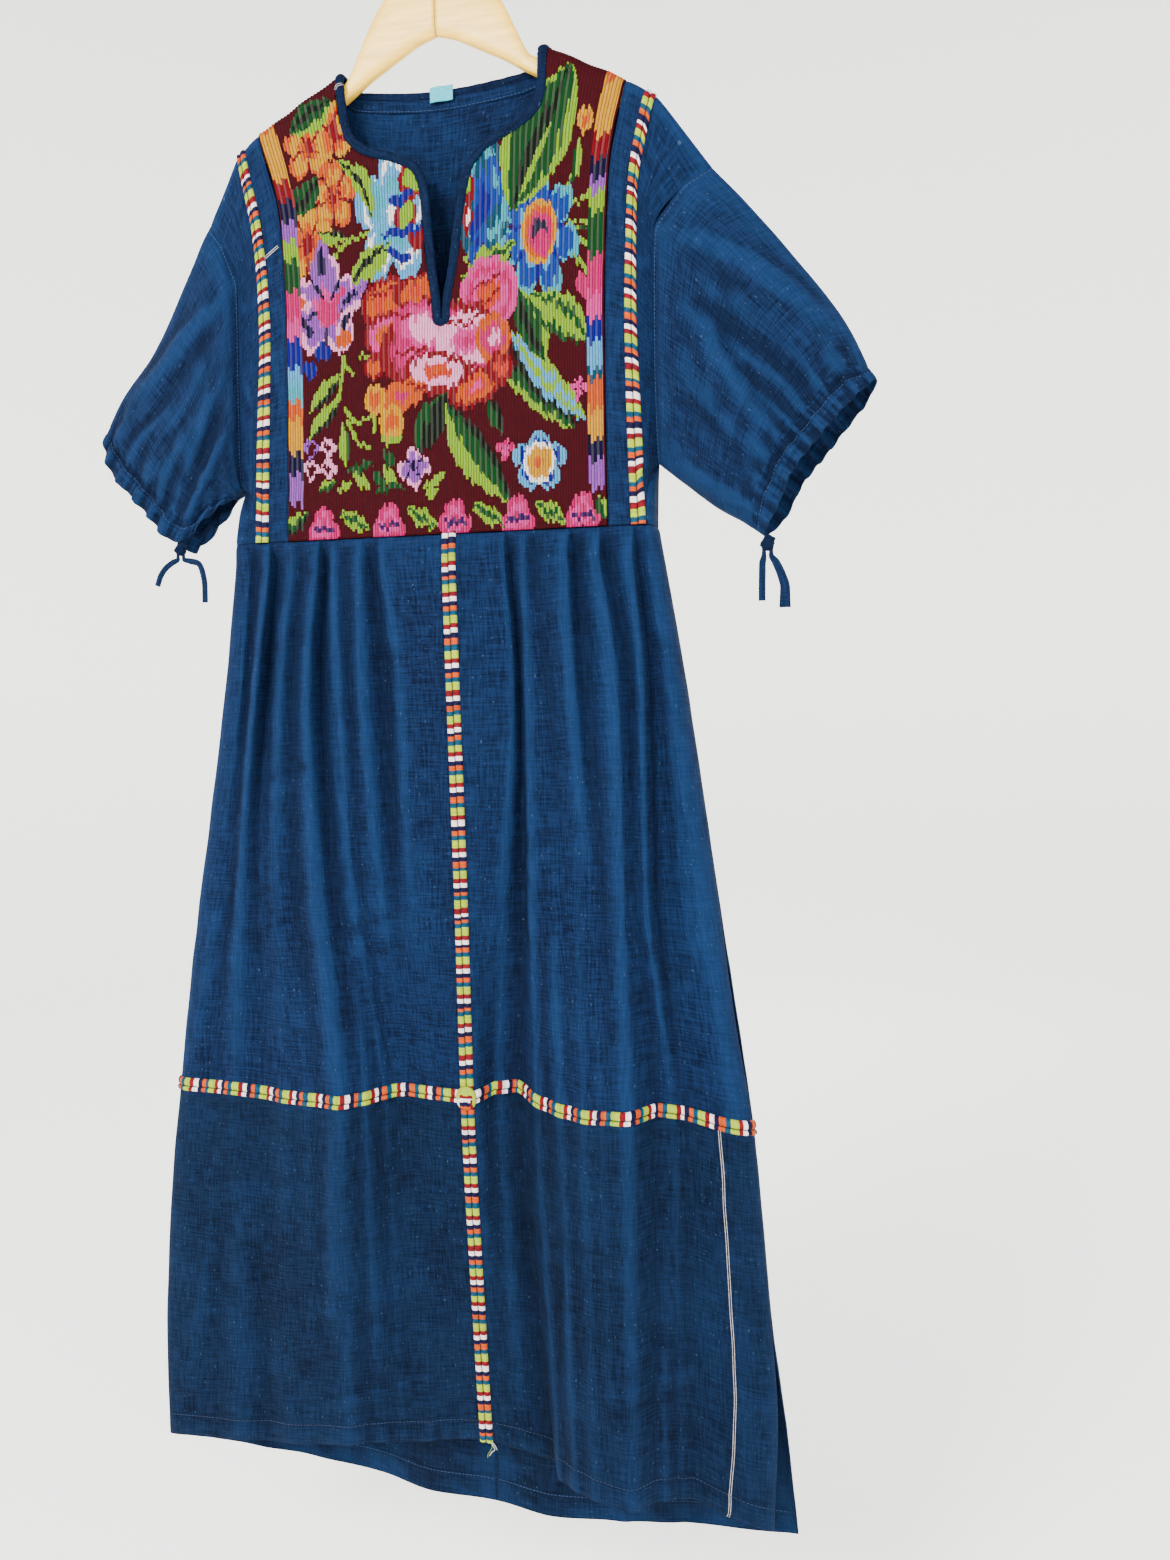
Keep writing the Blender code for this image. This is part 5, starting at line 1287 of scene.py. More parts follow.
def brocade_threads(x, z, beside_edge, rib):
    """The thread of every stitch: x and z of the stitches, how far they are from the outer edge of
    their half and which rib they lie on. Gives colours, and where figures lie on the ground."""
    drawn = np.random.default_rng(STITCH_SEED)
    stagger = drawn.uniform(-1, 1, rib.max() + 1)[rib]
    tone_stagger = drawn.uniform(-TONE_STAGGER, TONE_STAGGER, rib.max() + 1)[rib]
    tints = np.empty(x.shape + (4,))
    tints[:] = THREADS["maroon"]
    figure = np.zeros(x.shape, bool)
    z = z + stagger * RIB_STAGGER

    def work(covered, colour):
        tints[covered] = THREADS[colour]
        figure[covered] = colour != "maroon"

    def work_tones(covered, tones, share):
        step = np.clip(np.floor(share * len(tones) + tone_stagger), 0, len(tones) - 1).astype(int)
        for k, tone in enumerate(tones):
            work(covered & (step == k), tone)

    def work_stems(stems):
        for stem in stems:
            work(on_stem(stem, x, z), stem.colour)

    work_stems(STEMS)
    for bloom in BLOOMS:
        covered, share, parting = on_bloom(bloom, x, z)
        work_tones(covered, bloom.tones, share)
        if bloom.parting:
            work(covered & parting, bloom.parting)
    for leaf in LEAVES:
        covered, share = on_leaf(leaf, x, z)
        work_tones(covered, leaf.tones, share)
    for oval in OVALS:
        covered, share = on_oval(oval, x, z)
        work_tones(covered, oval.tones, share)
    work_stems(CROSSINGS)
    for side, band in BANDS.items():
        own = (x < CENTRE_X) if side == "left" else (x > CENTRE_X)
        in_band = own & (beside_edge > 1.0) & (beside_edge < BAND_WIDTH)
        top = BAND_TOP
        shifted = z + stagger * (BAND_STAGGER - RIB_STAGGER)
        for foot, colour in band:
            work(in_band & (shifted < top) & (shifted > foot), colour)
            top = foot
    light = drawn.uniform(*STITCH_SHADES, x.shape)
    tints[..., :3] *= light[..., None]
    return np.clip(tints, 0, 1), figure


def neck_outline():
    """The panel's edge round the neck and the slit, from the left shoulder to the right one."""
    left = [beside_neck("left", s) for s in np.linspace(1, 0, 60)]
    right = [beside_neck("right", s) for s in np.linspace(0, 1, 60)]
    reach = BINDING_HALF_WIDTH + EDGE_GAP + SLIT_ROUND
    turn = slit_turn(reach, SLIT_LIFT, (200, 225, 250, 270, 290, 315, 340))
    return np.array(left + turn + right, float)


def inside_outline(outline, x, z):
    """Whether places lie in the neck opening, which is open at the top."""
    corners = np.concatenate([[(outline[0, 0], OPEN_TOP)], outline, [(outline[-1, 0], OPEN_TOP)]])
    inside = np.zeros(x.shape, bool)
    for (x0, z0), (x1, z1) in zip(corners, np.roll(corners, -1, axis=0)):
        if z0 == z1:
            continue
        crossing = (z0 > z) != (z1 > z)
        inside ^= crossing & (x < x0 + (x1 - x0) * (z - z0) / (z1 - z0))
    return inside


def nearest_on(outline, x, z):
    """The nearest places on an outline."""
    best = np.full(x.shape, np.inf)
    found = np.zeros(x.shape + (2,))
    for (x0, z0), (x1, z1) in zip(outline[:-1], outline[1:]):
        length = max((x1 - x0) ** 2 + (z1 - z0) ** 2, TINY)
        t = np.clip(((x - x0) * (x1 - x0) + (z - z0) * (z1 - z0)) / length, 0, 1)
        px, pz = x0 + t * (x1 - x0), z0 + t * (z1 - z0)
        away = np.hypot(x - px, z - pz)
        nearer = away < best
        best[nearer] = away[nearer]
        found[nearer] = np.stack([px, pz], axis=-1)[nearer]
    return found


def panel_grid():
    """x and z of the panel's columns and rows before its neck is cut, and its rows' places."""
    ridge = {side: ridge_x(side, "panel") for side in SIDES}
    top = PANEL_TOP
    levels = np.linspace(YOKE_SEAM + HALF_GAP, top, round((top - YOKE_SEAM) / PANEL_ROW) + 1)
    ribs = np.arange(2 * PANEL_RIBS + 1) / (2 * PANEL_RIBS)
    x_rows, z_rows = [], []
    for level in levels:
        rise = np.clip((level - PANEL_BEND) / (top - PANEL_BEND), 0, 1)
        blend = rise * rise * (3 - 2 * rise)
        left, right = (
            yoke_edge(side, "panel", level + blend * (shoulder_z(ridge[side]) - top)) for side in SIDES
        )
        x = np.concatenate([left + (CENTRE_X - left) * ribs, CENTRE_X + (right - CENTRE_X) * ribs[1:]])
        heights = np.array([shoulder_z(k) for k in x])
        x_rows.append(x)
        z_rows.append(level + blend * (heights - top))
    return np.array(x_rows), np.array(z_rows)


def deep_points(x, z, side):
    """Points on the yoke's front or back wall."""
    y = np.vectorize(yoke_depth)(x, z, side)
    return np.stack([x, y, z], axis=-1)


def brocade_panel(look):
    """The floral panel with its woven ribs, cut round the neck."""
    x, z = panel_grid()
    outline = neck_outline()
    opening = inside_outline(outline, x, z)
    snapped = nearest_on(outline, x, z)
    far_in = opening & (np.hypot(x - snapped[..., 0], z - snapped[..., 1]) > NECK_REACH)
    moved = opening & ~far_in
    x, z = np.where(moved, snapped[..., 0], x), np.where(moved, snapped[..., 1], z)
    front = deep_points(x, z, -1)
    ridge_row = x[-1]
    ridge_z = np.array([shoulder_z(k) for k in ridge_row])
    flaps = [deep_points(ridge_row, ridge_z - drop, 1) for drop in PANEL_FLAPS]
    points = np.concatenate([front, np.array(flaps)])
    over_neck = (ridge_row > outline[0, 0]) & (ridge_row < outline[-1, 0])
    opening = np.concatenate([opening, np.repeat(over_neck[None], len(flaps), axis=0)])
    cell_x, cell_z = cell_means(points[..., 0]), cell_means(points[..., 2])
    edge = np.where(cell_x < CENTRE_X, cell_x - cell_means(points[..., 0])[:, :1], 0)
    edge = np.where(cell_x >= CENTRE_X, cell_means(points[..., 0])[:, -1:] - cell_x, edge)
    rib = np.broadcast_to(np.arange(points.shape[1] - 1) // 2, cell_x.shape)
    tints, figure = brocade_threads(cell_x, cell_z, edge, rib)
    crest = (np.arange(points.shape[1]) % 2 == 1).astype(float)
    mixed = tints + (np.array(THREADS["white"]) - tints) * look.pale_share
    tints = np.where((figure & (rib % 2 == 1))[..., None], mixed, tints)
    raised = np.zeros(points.shape[:2])
    raised[:-1, :-1] = figure
    normals = outward_normals(points, "front")
    wave = soft_waves(points[..., 0], points[..., 2], *WAVES["panel"])
    lift = crest * (RIB_HEIGHT + FLOAT_HEIGHT * raised) + wave
    points = points + normals * lift[..., None]
    # The crests are stored on the mesh; the brocade material paints shade in the valleys between them
    mesh = grid_mesh("brocade_panel", points, np.broadcast_to(crest, points.shape[:2]), tints, opening)
    piece = finished(
        "brocade_panel", mesh, brocade_material(look), ["floral_panel"], PANEL_THICKNESS
    )


def cell_means(values):
    return (values[:-1, :-1] + values[1:, :-1] + values[:-1, 1:] + values[1:, 1:]) / 4


# Plain pieces of the yoke

YOKE_CREASES = {
    "strip": creases((0.2, 0.3, 0.8, 0.5, 5, 0.7), (0.8, 0.6, 0.3, 0.8, 5, 0.7)),
    "side": creases(
        (0.3, 0.05, 0.8, 0.3, 7, 1.2), (0.4, 0.35, 0.95, 0.5, 6, 1.0), (0.35, 0.6, 0.9, 0.7, 6, 0.9),
    ),
    "back": creases(
        (0.1, 0.35, 0.3, 0.95, 14, 1.6), (0.72, 0.95, 0.9, 0.35, 14, 1.6),
        (0.35, 0.05, 0.42, 0.55, 12, 1.3), (0.6, 0.5, 0.66, 0.05, 12, 1.3),
        (0.2, 0.2, 0.8, 0.26, 11, -0.9), (0.25, 0.74, 0.75, 0.78, 9, -0.8),
    ),
}
# The flat cut of each piece in metres: width, length and area where it isn't a rectangle
Cut = namedtuple("Cut", "width length area")
# The gap at the back's centre seam, and the allowances that lie under the next piece
BACK_SEAM_GAP = 0.05
ALLOWANCE = 6.0
ALLOWANCE_DEPTH = 1.3
CUFF_ALLOWANCE = 2.5


def tucked(points, face, allowance=ALLOWANCE):
    """Rows with a seam allowance before the first one, which lies under the next piece."""
    sign = FACE_SIGN[face]
    turned_in = points[0] + unit_rows(points[0] - points[1]) * allowance
    turned_in[:, 1] -= sign * ALLOWANCE_DEPTH
    return np.concatenate([turned_in[None], points])


def plain_yoke(look):
    """The strips beside the panel, the bodice sides and the back."""
    for side in SIDES:
        strip = refined(strip_points(side), YOKE_FINENESS)
        strip = shaped(strip, "front", "strip", YOKE_CREASES["strip"])
        nodes = [f"yoke_strip_{side}"]
        cloth(f"strip_cloth_{side}", nodes, strip, "front", indigo_material(look))
        outer = refined(side_points(side), YOKE_FINENESS)
        outer = shaped(outer, "front", "side", YOKE_CREASES["side"])
        nodes = [f"bodice_side_{side}"]
        cloth(f"side_cloth_{side}", nodes, outer, "front", indigo_material(look))
    back = refined(tucked(back_points(), "back"), BACK_FINENESS)
    back = shaped(back, "back", "back", YOKE_CREASES["back"])
    cloth("back_cloth", ["bodice_back"], back, "back", indigo_material(look))


# Neck binding and tab

BINDING_ROUND = 12
NECK_STATIONS = 190
BACK_NECK_STATIONS = 110
SLIT_SHARE = 0.02
PUCKER_HEIGHT = 0.55
SEAM_SINK = 0.7
SEAM_ANGLE = 2.75
SEAM_SPREAD = 0.25
# Puckers: their share on a straight run, their growth in a bend and its limit, and waves per millimetre
STRAIGHT_PUCKER = 0.25
BENT_PUCKER = 3.2
SHARPEST_BEND = 0.45
PUCKER_WAVE = 1.25
# Uneven stitching of the roll, as heights and waves per millimetre
ROLL_WAVES = ((0.25, 0.41), (0.18, 2.9))


def binding_path():
    """The binding's middle line, closed, as points with the side of the yoke they lie on."""
    left = [neck_path("left")(s) for s in np.linspace(1, SLIT_SHARE, NECK_STATIONS)]
    right = [neck_path("right")(s) for s in np.linspace(SLIT_SHARE, 1, NECK_STATIONS)]
    radius = NECK_RIGHT[0][0] - NECK_FOOT[0]
    turn = slit_turn(radius, radius + 1.0, (205, 225, 247, 270, 293, 315, 335))
    back = curve_through([NECK_RIGHT[-1], *NECK_BACK, NECK_LEFT[-1]])
    behind = [back(s) for s in np.linspace(0, 1, BACK_NECK_STATIONS)[1:-1]]
    path = [(x, z, -1) for x, z in left + turn + right] + [(x, z, 1) for x, z in behind]
    return [(np.array([x, yoke_depth(x, z, side), z]), x, z, side) for x, z, side in path]


def neck_roll(look):
    """The rolled binding with its seam and the puckers of its turned corners."""
    path = binding_path()
    count = len(path)
    points = np.array([place[0] for place in path])
    lengths = lengths_along(points)
    rings = []
    for i, (point, x, z, side) in enumerate(path):
        forward = unit_rows(points[(i + 2) % count] - points[i - 2])
        root = max(shoulder_z(x) - z, 0.0) + SHOULDER_RADIUS
        rise = SHOULDER_RADIUS / root
        facing = np.array([0.0, side * math.sqrt(max(1 - rise * rise, 0.0)), rise])
        facing = unit_rows(facing - forward * (facing @ forward))
        wide = np.cross(forward, facing)
        bend = unit_rows(points[(i + 8) % count] - points[i]) @ unit_rows(points[i] - points[i - 8])
        growth = STRAIGHT_PUCKER + BENT_PUCKER * min(1 - bend, SHARPEST_BEND)
        pucker = PUCKER_HEIGHT * growth * math.sin(lengths[i] * PUCKER_WAVE)
        pucker += sum(height * math.sin(lengths[i] * wave) for height, wave in ROLL_WAVES)
        ring = []
        for k in range(BINDING_ROUND):
            angle = math.tau * (k + 0.5) / BINDING_ROUND
            out = max(math.sin(angle), 0.0)
            sink = SEAM_SINK * math.exp(-(((angle - SEAM_ANGLE) / SEAM_SPREAD) ** 2))
            half_width = BINDING_HALF_WIDTH + 0.4 * pucker * abs(math.cos(angle))
            half_depth = BINDING_HALF_DEPTH + pucker * out - sink
            ring.append(point + wide * half_width * math.cos(angle) + facing * half_depth * math.sin(angle))
        rings.append(ring)
    mesh = ring_mesh("neck_roll", np.array(rings), closed=True)
    finished("neck_roll", mesh, indigo_material(look), ["neck_binding"])


def ring_mesh(name, rings, closed=False, wear=None, tints=None):
    """A tube through rings of points in millimetres, capped at its ends or joined end to end."""
    if closed:
        rings = np.concatenate([rings, rings[:1]])
    rings = np.concatenate([rings, rings[:, :1]], axis=1)
    if wear is not None:
        wear = np.concatenate([wear, wear[:, :1]], axis=1)
    mesh = grid_mesh(name, rings, wear=wear, tints=tints)
    shape = bmesh.new()
    shape.from_mesh(mesh)
    bmesh.ops.remove_doubles(shape, verts=shape.verts, dist=MERGE_DISTANCE)
    if not closed:
        bmesh.ops.holes_fill(shape, edges=shape.edges, sides=0)
    bmesh.ops.recalc_face_normals(shape, faces=shape.faces)
    shape.to_mesh(mesh)
    shape.free()
    return mesh


TAB_FOLD = 2.2
TAB_CURL = 0.4
TAB_FACES = (12, 16)


def tape_tab(look):
    """The folded tape inside the back neck."""
    x, y, z = TAB_MIDDLE
    width, thickness, height = TAB_SIZE
    rows, columns = TAB_FACES
    points = np.empty((rows + 1, columns + 1, 3))
    for j in range(rows + 1):
        for i in range(columns + 1):
            across, down = i / columns - 0.5, j / rows - 0.5
            fold = TAB_FOLD * math.sin(math.pi * (across + 0.5)) * (0.4 + 0.5 * down)
            depth = y - fold * 0.5 + TAB_CURL * math.sin(9 * across)
            points[j, i] = (x + width * across, depth, z + height * down)
    mesh = grid_mesh("tape_tab", points, standing_out(points, "front"))
    piece = finished("tape_tab", mesh, tape_material(look), ["neck_tab"], thickness)


# The binding's inner edge, turned down inside the back neck

TURNING_WIDTH = 11.0
TURNING_LIFT = 1.0
TURNING_WALL = 0.7
TURNING_ROLL = 0.3
TURNING_HEM = 2.0


def neck_turning(look):
    edge = back_neck_edge()
    lengths = np.concatenate([[0], np.cumsum(np.hypot(*np.diff(edge, axis=0).T))])
    places = np.linspace(0, lengths[-1], 70)
    top_x, top_z = np.interp(places, lengths, edge[:, 0]), np.interp(places, lengths, edge[:, 1])
    rows = []
    for drop in np.linspace(TURNING_WIDTH, -1.0, 8):
        rows.append(deep_points(top_x, top_z - drop, 1) - np.array([0.0, TURNING_LIFT, 0.0]))
    points = shaped(np.array(rows), "front", "turning", rolled=TURNING_ROLL)
    mesh = grid_mesh("neck_turning", points, standing_out(points, "front"))
    finished("neck_turning", mesh, indigo_material(look), wall=TURNING_WALL)
    stitches("neck_turning_stitches", line_on(points, "front", TURNING_HEM), look)


# Randa trims

# The wrapped blocks of the trims from the top down, as wraps of each colour
YOKE_LEFT_WRAPS = (("white", 3), ("navy", 3), ("orange", 3), ("teal", 3), ("pale_lime", 5), ("crimson", 3))
YOKE_RIGHT_WRAPS = YOKE_LEFT_WRAPS[:1] + YOKE_LEFT_WRAPS[:0:-1]
WRAP_PITCH = 1.4
ROLL_PLACES = (-6.5, -6.0, -5.0, -3.3, -1.6, -0.6, 0.0, 0.6, 1.6, 3.3, 5.0, 6.0, 6.5)
ROLL_HEIGHTS = (0.0, 1.0, 1.8, 2.2, 1.8, 1.0, 0.35, 1.0, 1.8, 2.2, 1.8, 1.0, 0.0)
ROLL_LIFT = CLOTH_THICKNESS / 2 + 0.35
WRAP_RELIEF = 0.38
CREST_POWER = 0.7
LONG_WRAP_CHANCE = 0.12
SHORT_WRAP_CHANCE = 0.08
WRAP_SHADES = (0.95, 1.25)
TRIM_SEEDS = {"yoke": 21, "centre": 22, "knee": 23}
ROLL_STAGGER = 0.9
# Painted shade: how dark the faces beside the groove between the two rolls are made
PAINTED_GROOVE_SHADE = 0.3


def wrap_colours(count, wraps, seed):
    """The colour of each wrap along a trim, with now and then an uneven one."""
    drawn = random.Random(seed)
    colours = []
    while len(colours) < count:
        for colour, number in wraps:
            longer, shorter = drawn.random() < LONG_WRAP_CHANCE, drawn.random() < SHORT_WRAP_CHANCE
            colours += [colour] * (number + longer - shorter)
    return colours[:count]


def wrapped_trim(name, node, strip, wraps, look, seed):
    """A randa of two wrapped rolls over a strip of cloth, stations along by places across."""
    strip = along(strip, fine_places(strip, WRAP_STEP))
    turned = strip.swapaxes(0, 1)
    knots = np.interp(ROLL_PLACES, (-TRIM_HALF, TRIM_HALF), (0, strip.shape[1] - 1))
    strip = along(turned, knots).swapaxes(0, 1)
    normals = outward_normals(strip, "front")
    _, upward = thread_places(strip)
    wrap = np.floor(upward / WRAP_PITCH).astype(int)
    crest = np.abs(np.sin(math.pi * upward / WRAP_PITCH)) ** CREST_POWER
    heights = np.array(ROLL_HEIGHTS)
    lift = ROLL_LIFT + heights[None, :] + WRAP_RELIEF * (crest[:, None] - 0.6) * (heights > 0.2)
    top = strip + normals * lift[..., None]
    foot = strip[:, ::-1][:, [0, -1]] + normals[:, ::-1][:, [0, -1]] * (ROLL_LIFT - 0.3)
    rings = np.concatenate([top, foot], axis=1)
    middle = len(ROLL_PLACES) // 2
    # Crest measure for the thread material: high on the wraps, 0 between them, along the middle groove and
    # on the underside, where the material paints shade
    wear = np.zeros(rings.shape[:2])
    wear[:, : top.shape[1]] = crest[:, None]
    wear[:, middle] = 0.0
    colours = wrap_colours(wrap.max() + 2, wraps, seed)
    drawn = np.random.default_rng(seed)
    shade = drawn.uniform(*WRAP_SHADES, wrap.max() + 2)
    tints = np.array([THREADS[colours[k]] for k in wrap]) * shade[wrap][:, None]
    tints = np.repeat(tints[:, None], rings.shape[1] + 1, axis=1)
    other = np.floor((upward + ROLL_STAGGER) / WRAP_PITCH).astype(int)
    tints[:, middle:] = (np.array([THREADS[colours[k]] for k in other]) * shade[wrap][:, None])[:, None]
    # Painted shade: the faces beside the groove between the two rolls are darkened
    tints[:, middle - 1: middle + 1] *= PAINTED_GROOVE_SHADE
    tints = np.clip(tints, 0, 1)
    tints[..., 3] = 1.0
    mesh = ring_mesh(name, rings, wear=wear, tints=tints)
    finished(name, mesh, thread_material(look), [node])


def yoke_randas(look):
    for side, wraps in (("left", YOKE_LEFT_WRAPS), ("right", YOKE_RIGHT_WRAPS)):
        strip, outer = strip_points(side), side_points(side)
        under = np.concatenate([strip[:, 2:], outer[:, :2]], axis=1)[: len(YOKE_ROWS) - 1]
        places = (-TRIM_HALF, -SEAM_GAP, SEAM_GAP, TRIM_HALF)
        stations = [[point_at(offset, places, row) for offset in TRIM_COLUMNS] for row in under]
        stations = np.array(stations)[::-1]
        wrapped_trim(f"randa_yoke_{side}", f"trim_yoke_{side}", stations, wraps, look, TRIM_SEEDS["yoke"])


def skirt_randas(look):
    upper, lower = skirt_levels()
    for tier, levels in (("upper", upper), ("lower", lower)):
        strip = []
        for v in levels:
            middle = level_values(FRONT_CENTRE, v, False)
            strip.append([middle + np.array([offset, 0.0, 0.0]) for offset in TRIM_COLUMNS])
        strip = ease_edge(np.array(strip), top=HALF_GAP, foot=HALF_GAP)
        name, node = f"randa_centre_{tier}", f"trim_centre_{tier}"
        wrapped_trim(name, node, strip, YOKE_LEFT_WRAPS, look, TRIM_SEEDS["centre"])
    for side, folds, side_first in SKIRT_HALVES:
        places = even_places(len(folds), PLACES_PER_FOLD)
        kept = [u for u in places if u <= len(folds) - 1] if side_first else [u for u in places if u >= 1]
        stations = []
        for u in kept:
            station = []
            for offset in TRIM_COLUMNS:
                step = (4 - upper[-2]) if offset < 0 else (lower[1] - 4)
                v = 4 + offset / TRIM_HALF * step
                station.append(across_folds(folds, side, "front", v, u, side_first))
            stations.append(station)
        strip = np.array(stations)
        end = -1 if side_first else 0
        strip[end] += TRIM_CLEARANCE * unit_rows(strip[end - 1 if side_first else 1] - strip[end])
        name, node = f"randa_knee_{side}", f"trim_knee_{side}"
        wrapped_trim(name, node, strip, YOKE_LEFT_WRAPS, look, TRIM_SEEDS["knee"])


# Where the trims cross, the vertical one's wraps run over a round knot

CROSSING_HALF = (9.6, 11.0)
CROSSING_HEIGHT = 3.0
CROSSING_LIFT = 3.0
CROSSING_FACES = 28
CROSSING_WRAPS = 5
CROSSING_RELIEF = 0.25
# A crest measure high enough that the thread material paints no shade on the knot
CROSSING_SHADING_LEVEL = 0.8
CROSSING_WALL = 1.0
CROSSING_BANDS = ((0.36, "pale_lime"), (0.48, "crimson"), (0.64, "white"), (0.82, "navy"), (1.1, "orange"))


def crossing_colour(across, down):
    """The thread of one stitch of the knot by its place from -1 to 1 across and down."""
    if across < -0.62:
        return "pale_lime" if down < 0.1 else "white"
    if across > 0.66:
        return "pale_lime"
    if across > 0.45 and down > 0.05:
        return "crimson"
    return next(colour for limit, colour in CROSSING_BANDS if (down + 1) / 2 < limit)


def crossing_knot(look):
    upper, _ = skirt_levels()
    middle = level_values(FRONT_CENTRE, upper[-1], False)
    count = CROSSING_FACES
    points = np.empty((count + 1, count + 1, 3))
    tints = np.empty((count, count, 4))
    for j in range(count + 1):
        for i in range(count + 1):
            a, b = 2 * i / count - 1, 2 * j / count - 1
            round_a, round_b = a * math.sqrt(1 - b * b / 2), b * math.sqrt(1 - a * a / 2)
            share = min(round_a**2 + round_b**2, 1.0)
            wrap = CROSSING_RELIEF * abs(math.sin(math.pi * CROSSING_WRAPS * round_b + 1.2 * round_a))
            rise = CROSSING_LIFT + (CROSSING_HEIGHT + wrap) * math.sqrt(1 - share)
            x, y, z = middle
            points[j, i] = (x + CROSSING_HALF[0] * round_a, y - rise, z + 1.0 + CROSSING_HALF[1] * round_b)
            if i < count and j < count:
                tints[j, i] = THREADS[crossing_colour(round_a, -round_b)]
    tints[..., 3] = 1.0
    mesh = grid_mesh("crossing_knot", points, np.full(points.shape[:2], CROSSING_SHADING_LEVEL), tints)
    finished("crossing_knot", mesh, thread_material(look), wall=CROSSING_WALL)


# Loose thread ends of the centre trim at the hem, as paths from its right corner

THREAD_RADIUS = 0.35
LOOSE_ENDS = (
    ("white", ((4, -1, 1), (7, -2.5, -2), (9, -3, -5), (6, -3.2, -8), (3.5, -3, -12))),
    ("lime", ((4.5, -1, 1), (6, -2, -3), (4.5, -2.8, -7), (2, -2.8, -11), (1.6, -2.6, -14))),
    ("white", ((5, -1, 0.5), (8.5, -2, -1.5), (11, -2.4, -5.5))),
)


def loose_ends():
    _, lower = skirt_levels()
    foot = np.array(level_values(FRONT_CENTRE, lower[-1], False))
    for k, (colour, steps) in enumerate(LOOSE_ENDS):
        path = curve_through([foot + np.array(step) for step in steps])
        places = np.array([path(s) for s in np.linspace(0, 1, 12)]) * MM
        piece = strand(f"loose_end_{k}", places, THREAD_RADIUS, 2, plain_thread(colour))


# Skirt

SKIRT_HALVES = (("left", LEFT_HALF, True), ("right", RIGHT_HALF, False))
PLACES_PER_FOLD = 6
BACK_LEVELS = [0, 0.5, 1, 1.5, 2, 3]
SKIRT_CREASES = {
    ("upper", "left"): creases(
        (0.1, 0.05, 0.16, 0.55, 7, 1.6), (0.3, 0.2, 0.26, 0.75, 6, 1.3), (0.48, 0.05, 0.52, 0.6, 8, 1.8),
        (0.66, 0.35, 0.62, 0.85, 6, -1.4), (0.82, 0.02, 0.78, 0.45, 9, 1.6),
        (0.2, 0.55, 0.55, 0.62, 9, -1.0), (0.45, 0.28, 0.85, 0.36, 8, -0.9),
    ),
    ("upper", "right"): creases(
        (0.12, 0.1, 0.18, 0.7, 9, 1.6), (0.3, 0.05, 0.34, 0.55, 7, -1.4), (0.5, 0.3, 0.46, 0.9, 7, 1.5),
        (0.68, 0.05, 0.72, 0.6, 7, 1.4), (0.86, 0.2, 0.84, 0.8, 6, -1.3), (0.1, 0.42, 0.5, 0.5, 10, -0.9),
        (0.55, 0.22, 0.92, 0.3, 8, 0.9),
    ),
    ("lower", "left"): creases(
        (0.12, 0.1, 0.2, 0.9, 10, 1.8), (0.34, 0.0, 0.3, 0.6, 9, -1.5), (0.55, 0.25, 0.6, 0.98, 9, 1.6),
        (0.78, 0.05, 0.72, 0.55, 12, 1.5), (0.1, 0.72, 0.6, 0.8, 10, -1.0),
        (0.4, 0.4, 0.92, 0.48, 11, 0.9), (0.5, 0.12, 0.86, 0.18, 7, 0.8),
    ),
    ("lower", "right"): creases(
        (0.12, 0.05, 0.1, 0.75, 11, 1.7), (0.3, 0.2, 0.34, 0.95, 9, -1.4), (0.52, 0.0, 0.5, 0.5, 8, 1.5),
        (0.7, 0.35, 0.74, 0.95, 9, 1.5), (0.88, 0.05, 0.84, 0.6, 8, -1.3),
        (0.15, 0.6, 0.62, 0.68, 11, -0.9), (0.4, 0.3, 0.9, 0.36, 9, 0.9),
    ),
    ("back", "left"): creases(
        (0.15, 0.05, 0.22, 0.7, 13, 2.0), (0.45, 0.3, 0.42, 0.95, 12, -1.6),
        (0.72, 0.02, 0.78, 0.6, 13, 1.9), (0.1, 0.55, 0.7, 0.6, 13, -1.2), (0.3, 0.24, 0.9, 0.3, 11, 1.1),
    ),
    ("back", "right"): creases(
        (0.25, 0.05, 0.2, 0.65, 13, 2.0), (0.55, 0.35, 0.58, 0.95, 12, -1.6),
        (0.8, 0.05, 0.76, 0.7, 12, 1.8), (0.2, 0.48, 0.85, 0.56, 13, -1.2),
        (0.15, 0.2, 0.7, 0.26, 11, 1.1),
    ),
}
SKIRT_CUTS = {
    ("upper", "left"): Cut(0.31, 0.52, None),
    ("upper", "right"): Cut(0.28, 0.52, None),
    ("lower", "left"): Cut(0.33, 0.35, None),
    ("lower", "right"): Cut(0.31, 0.345, None),
    ("back", "left"): Cut(0.31, 0.9, None),
    ("back", "right"): Cut(0.26, 0.9, None),
}
HEM_STEP = 0.35
HEM_GROOVE = 0.45
GROOVE_WIDTH = 1.3


def even_places(folds, per_fold):
    return [k / per_fold for k in range(folds * per_fold + 1)]


def skirt_grid(folds, side, face, side_first, levels):
    """Rows from the top level to the lowest one over all the folds of a half."""
    places = even_places(len(folds), PLACES_PER_FOLD)
    return np.array([[across_folds(folds, side, face, v, u, side_first) for u in places] for v in levels])


def hem_relief(v):
    """The turned hem: a little thicker below its stitches, which sink in."""
    thicker = HEM_STEP * (0.5 - 0.5 * np.tanh((v - HEM_DEPTH) / 1.6))
    return thicker - HEM_GROOVE * np.exp(-(((v - HEM_DEPTH) / GROOVE_WIDTH) ** 2))


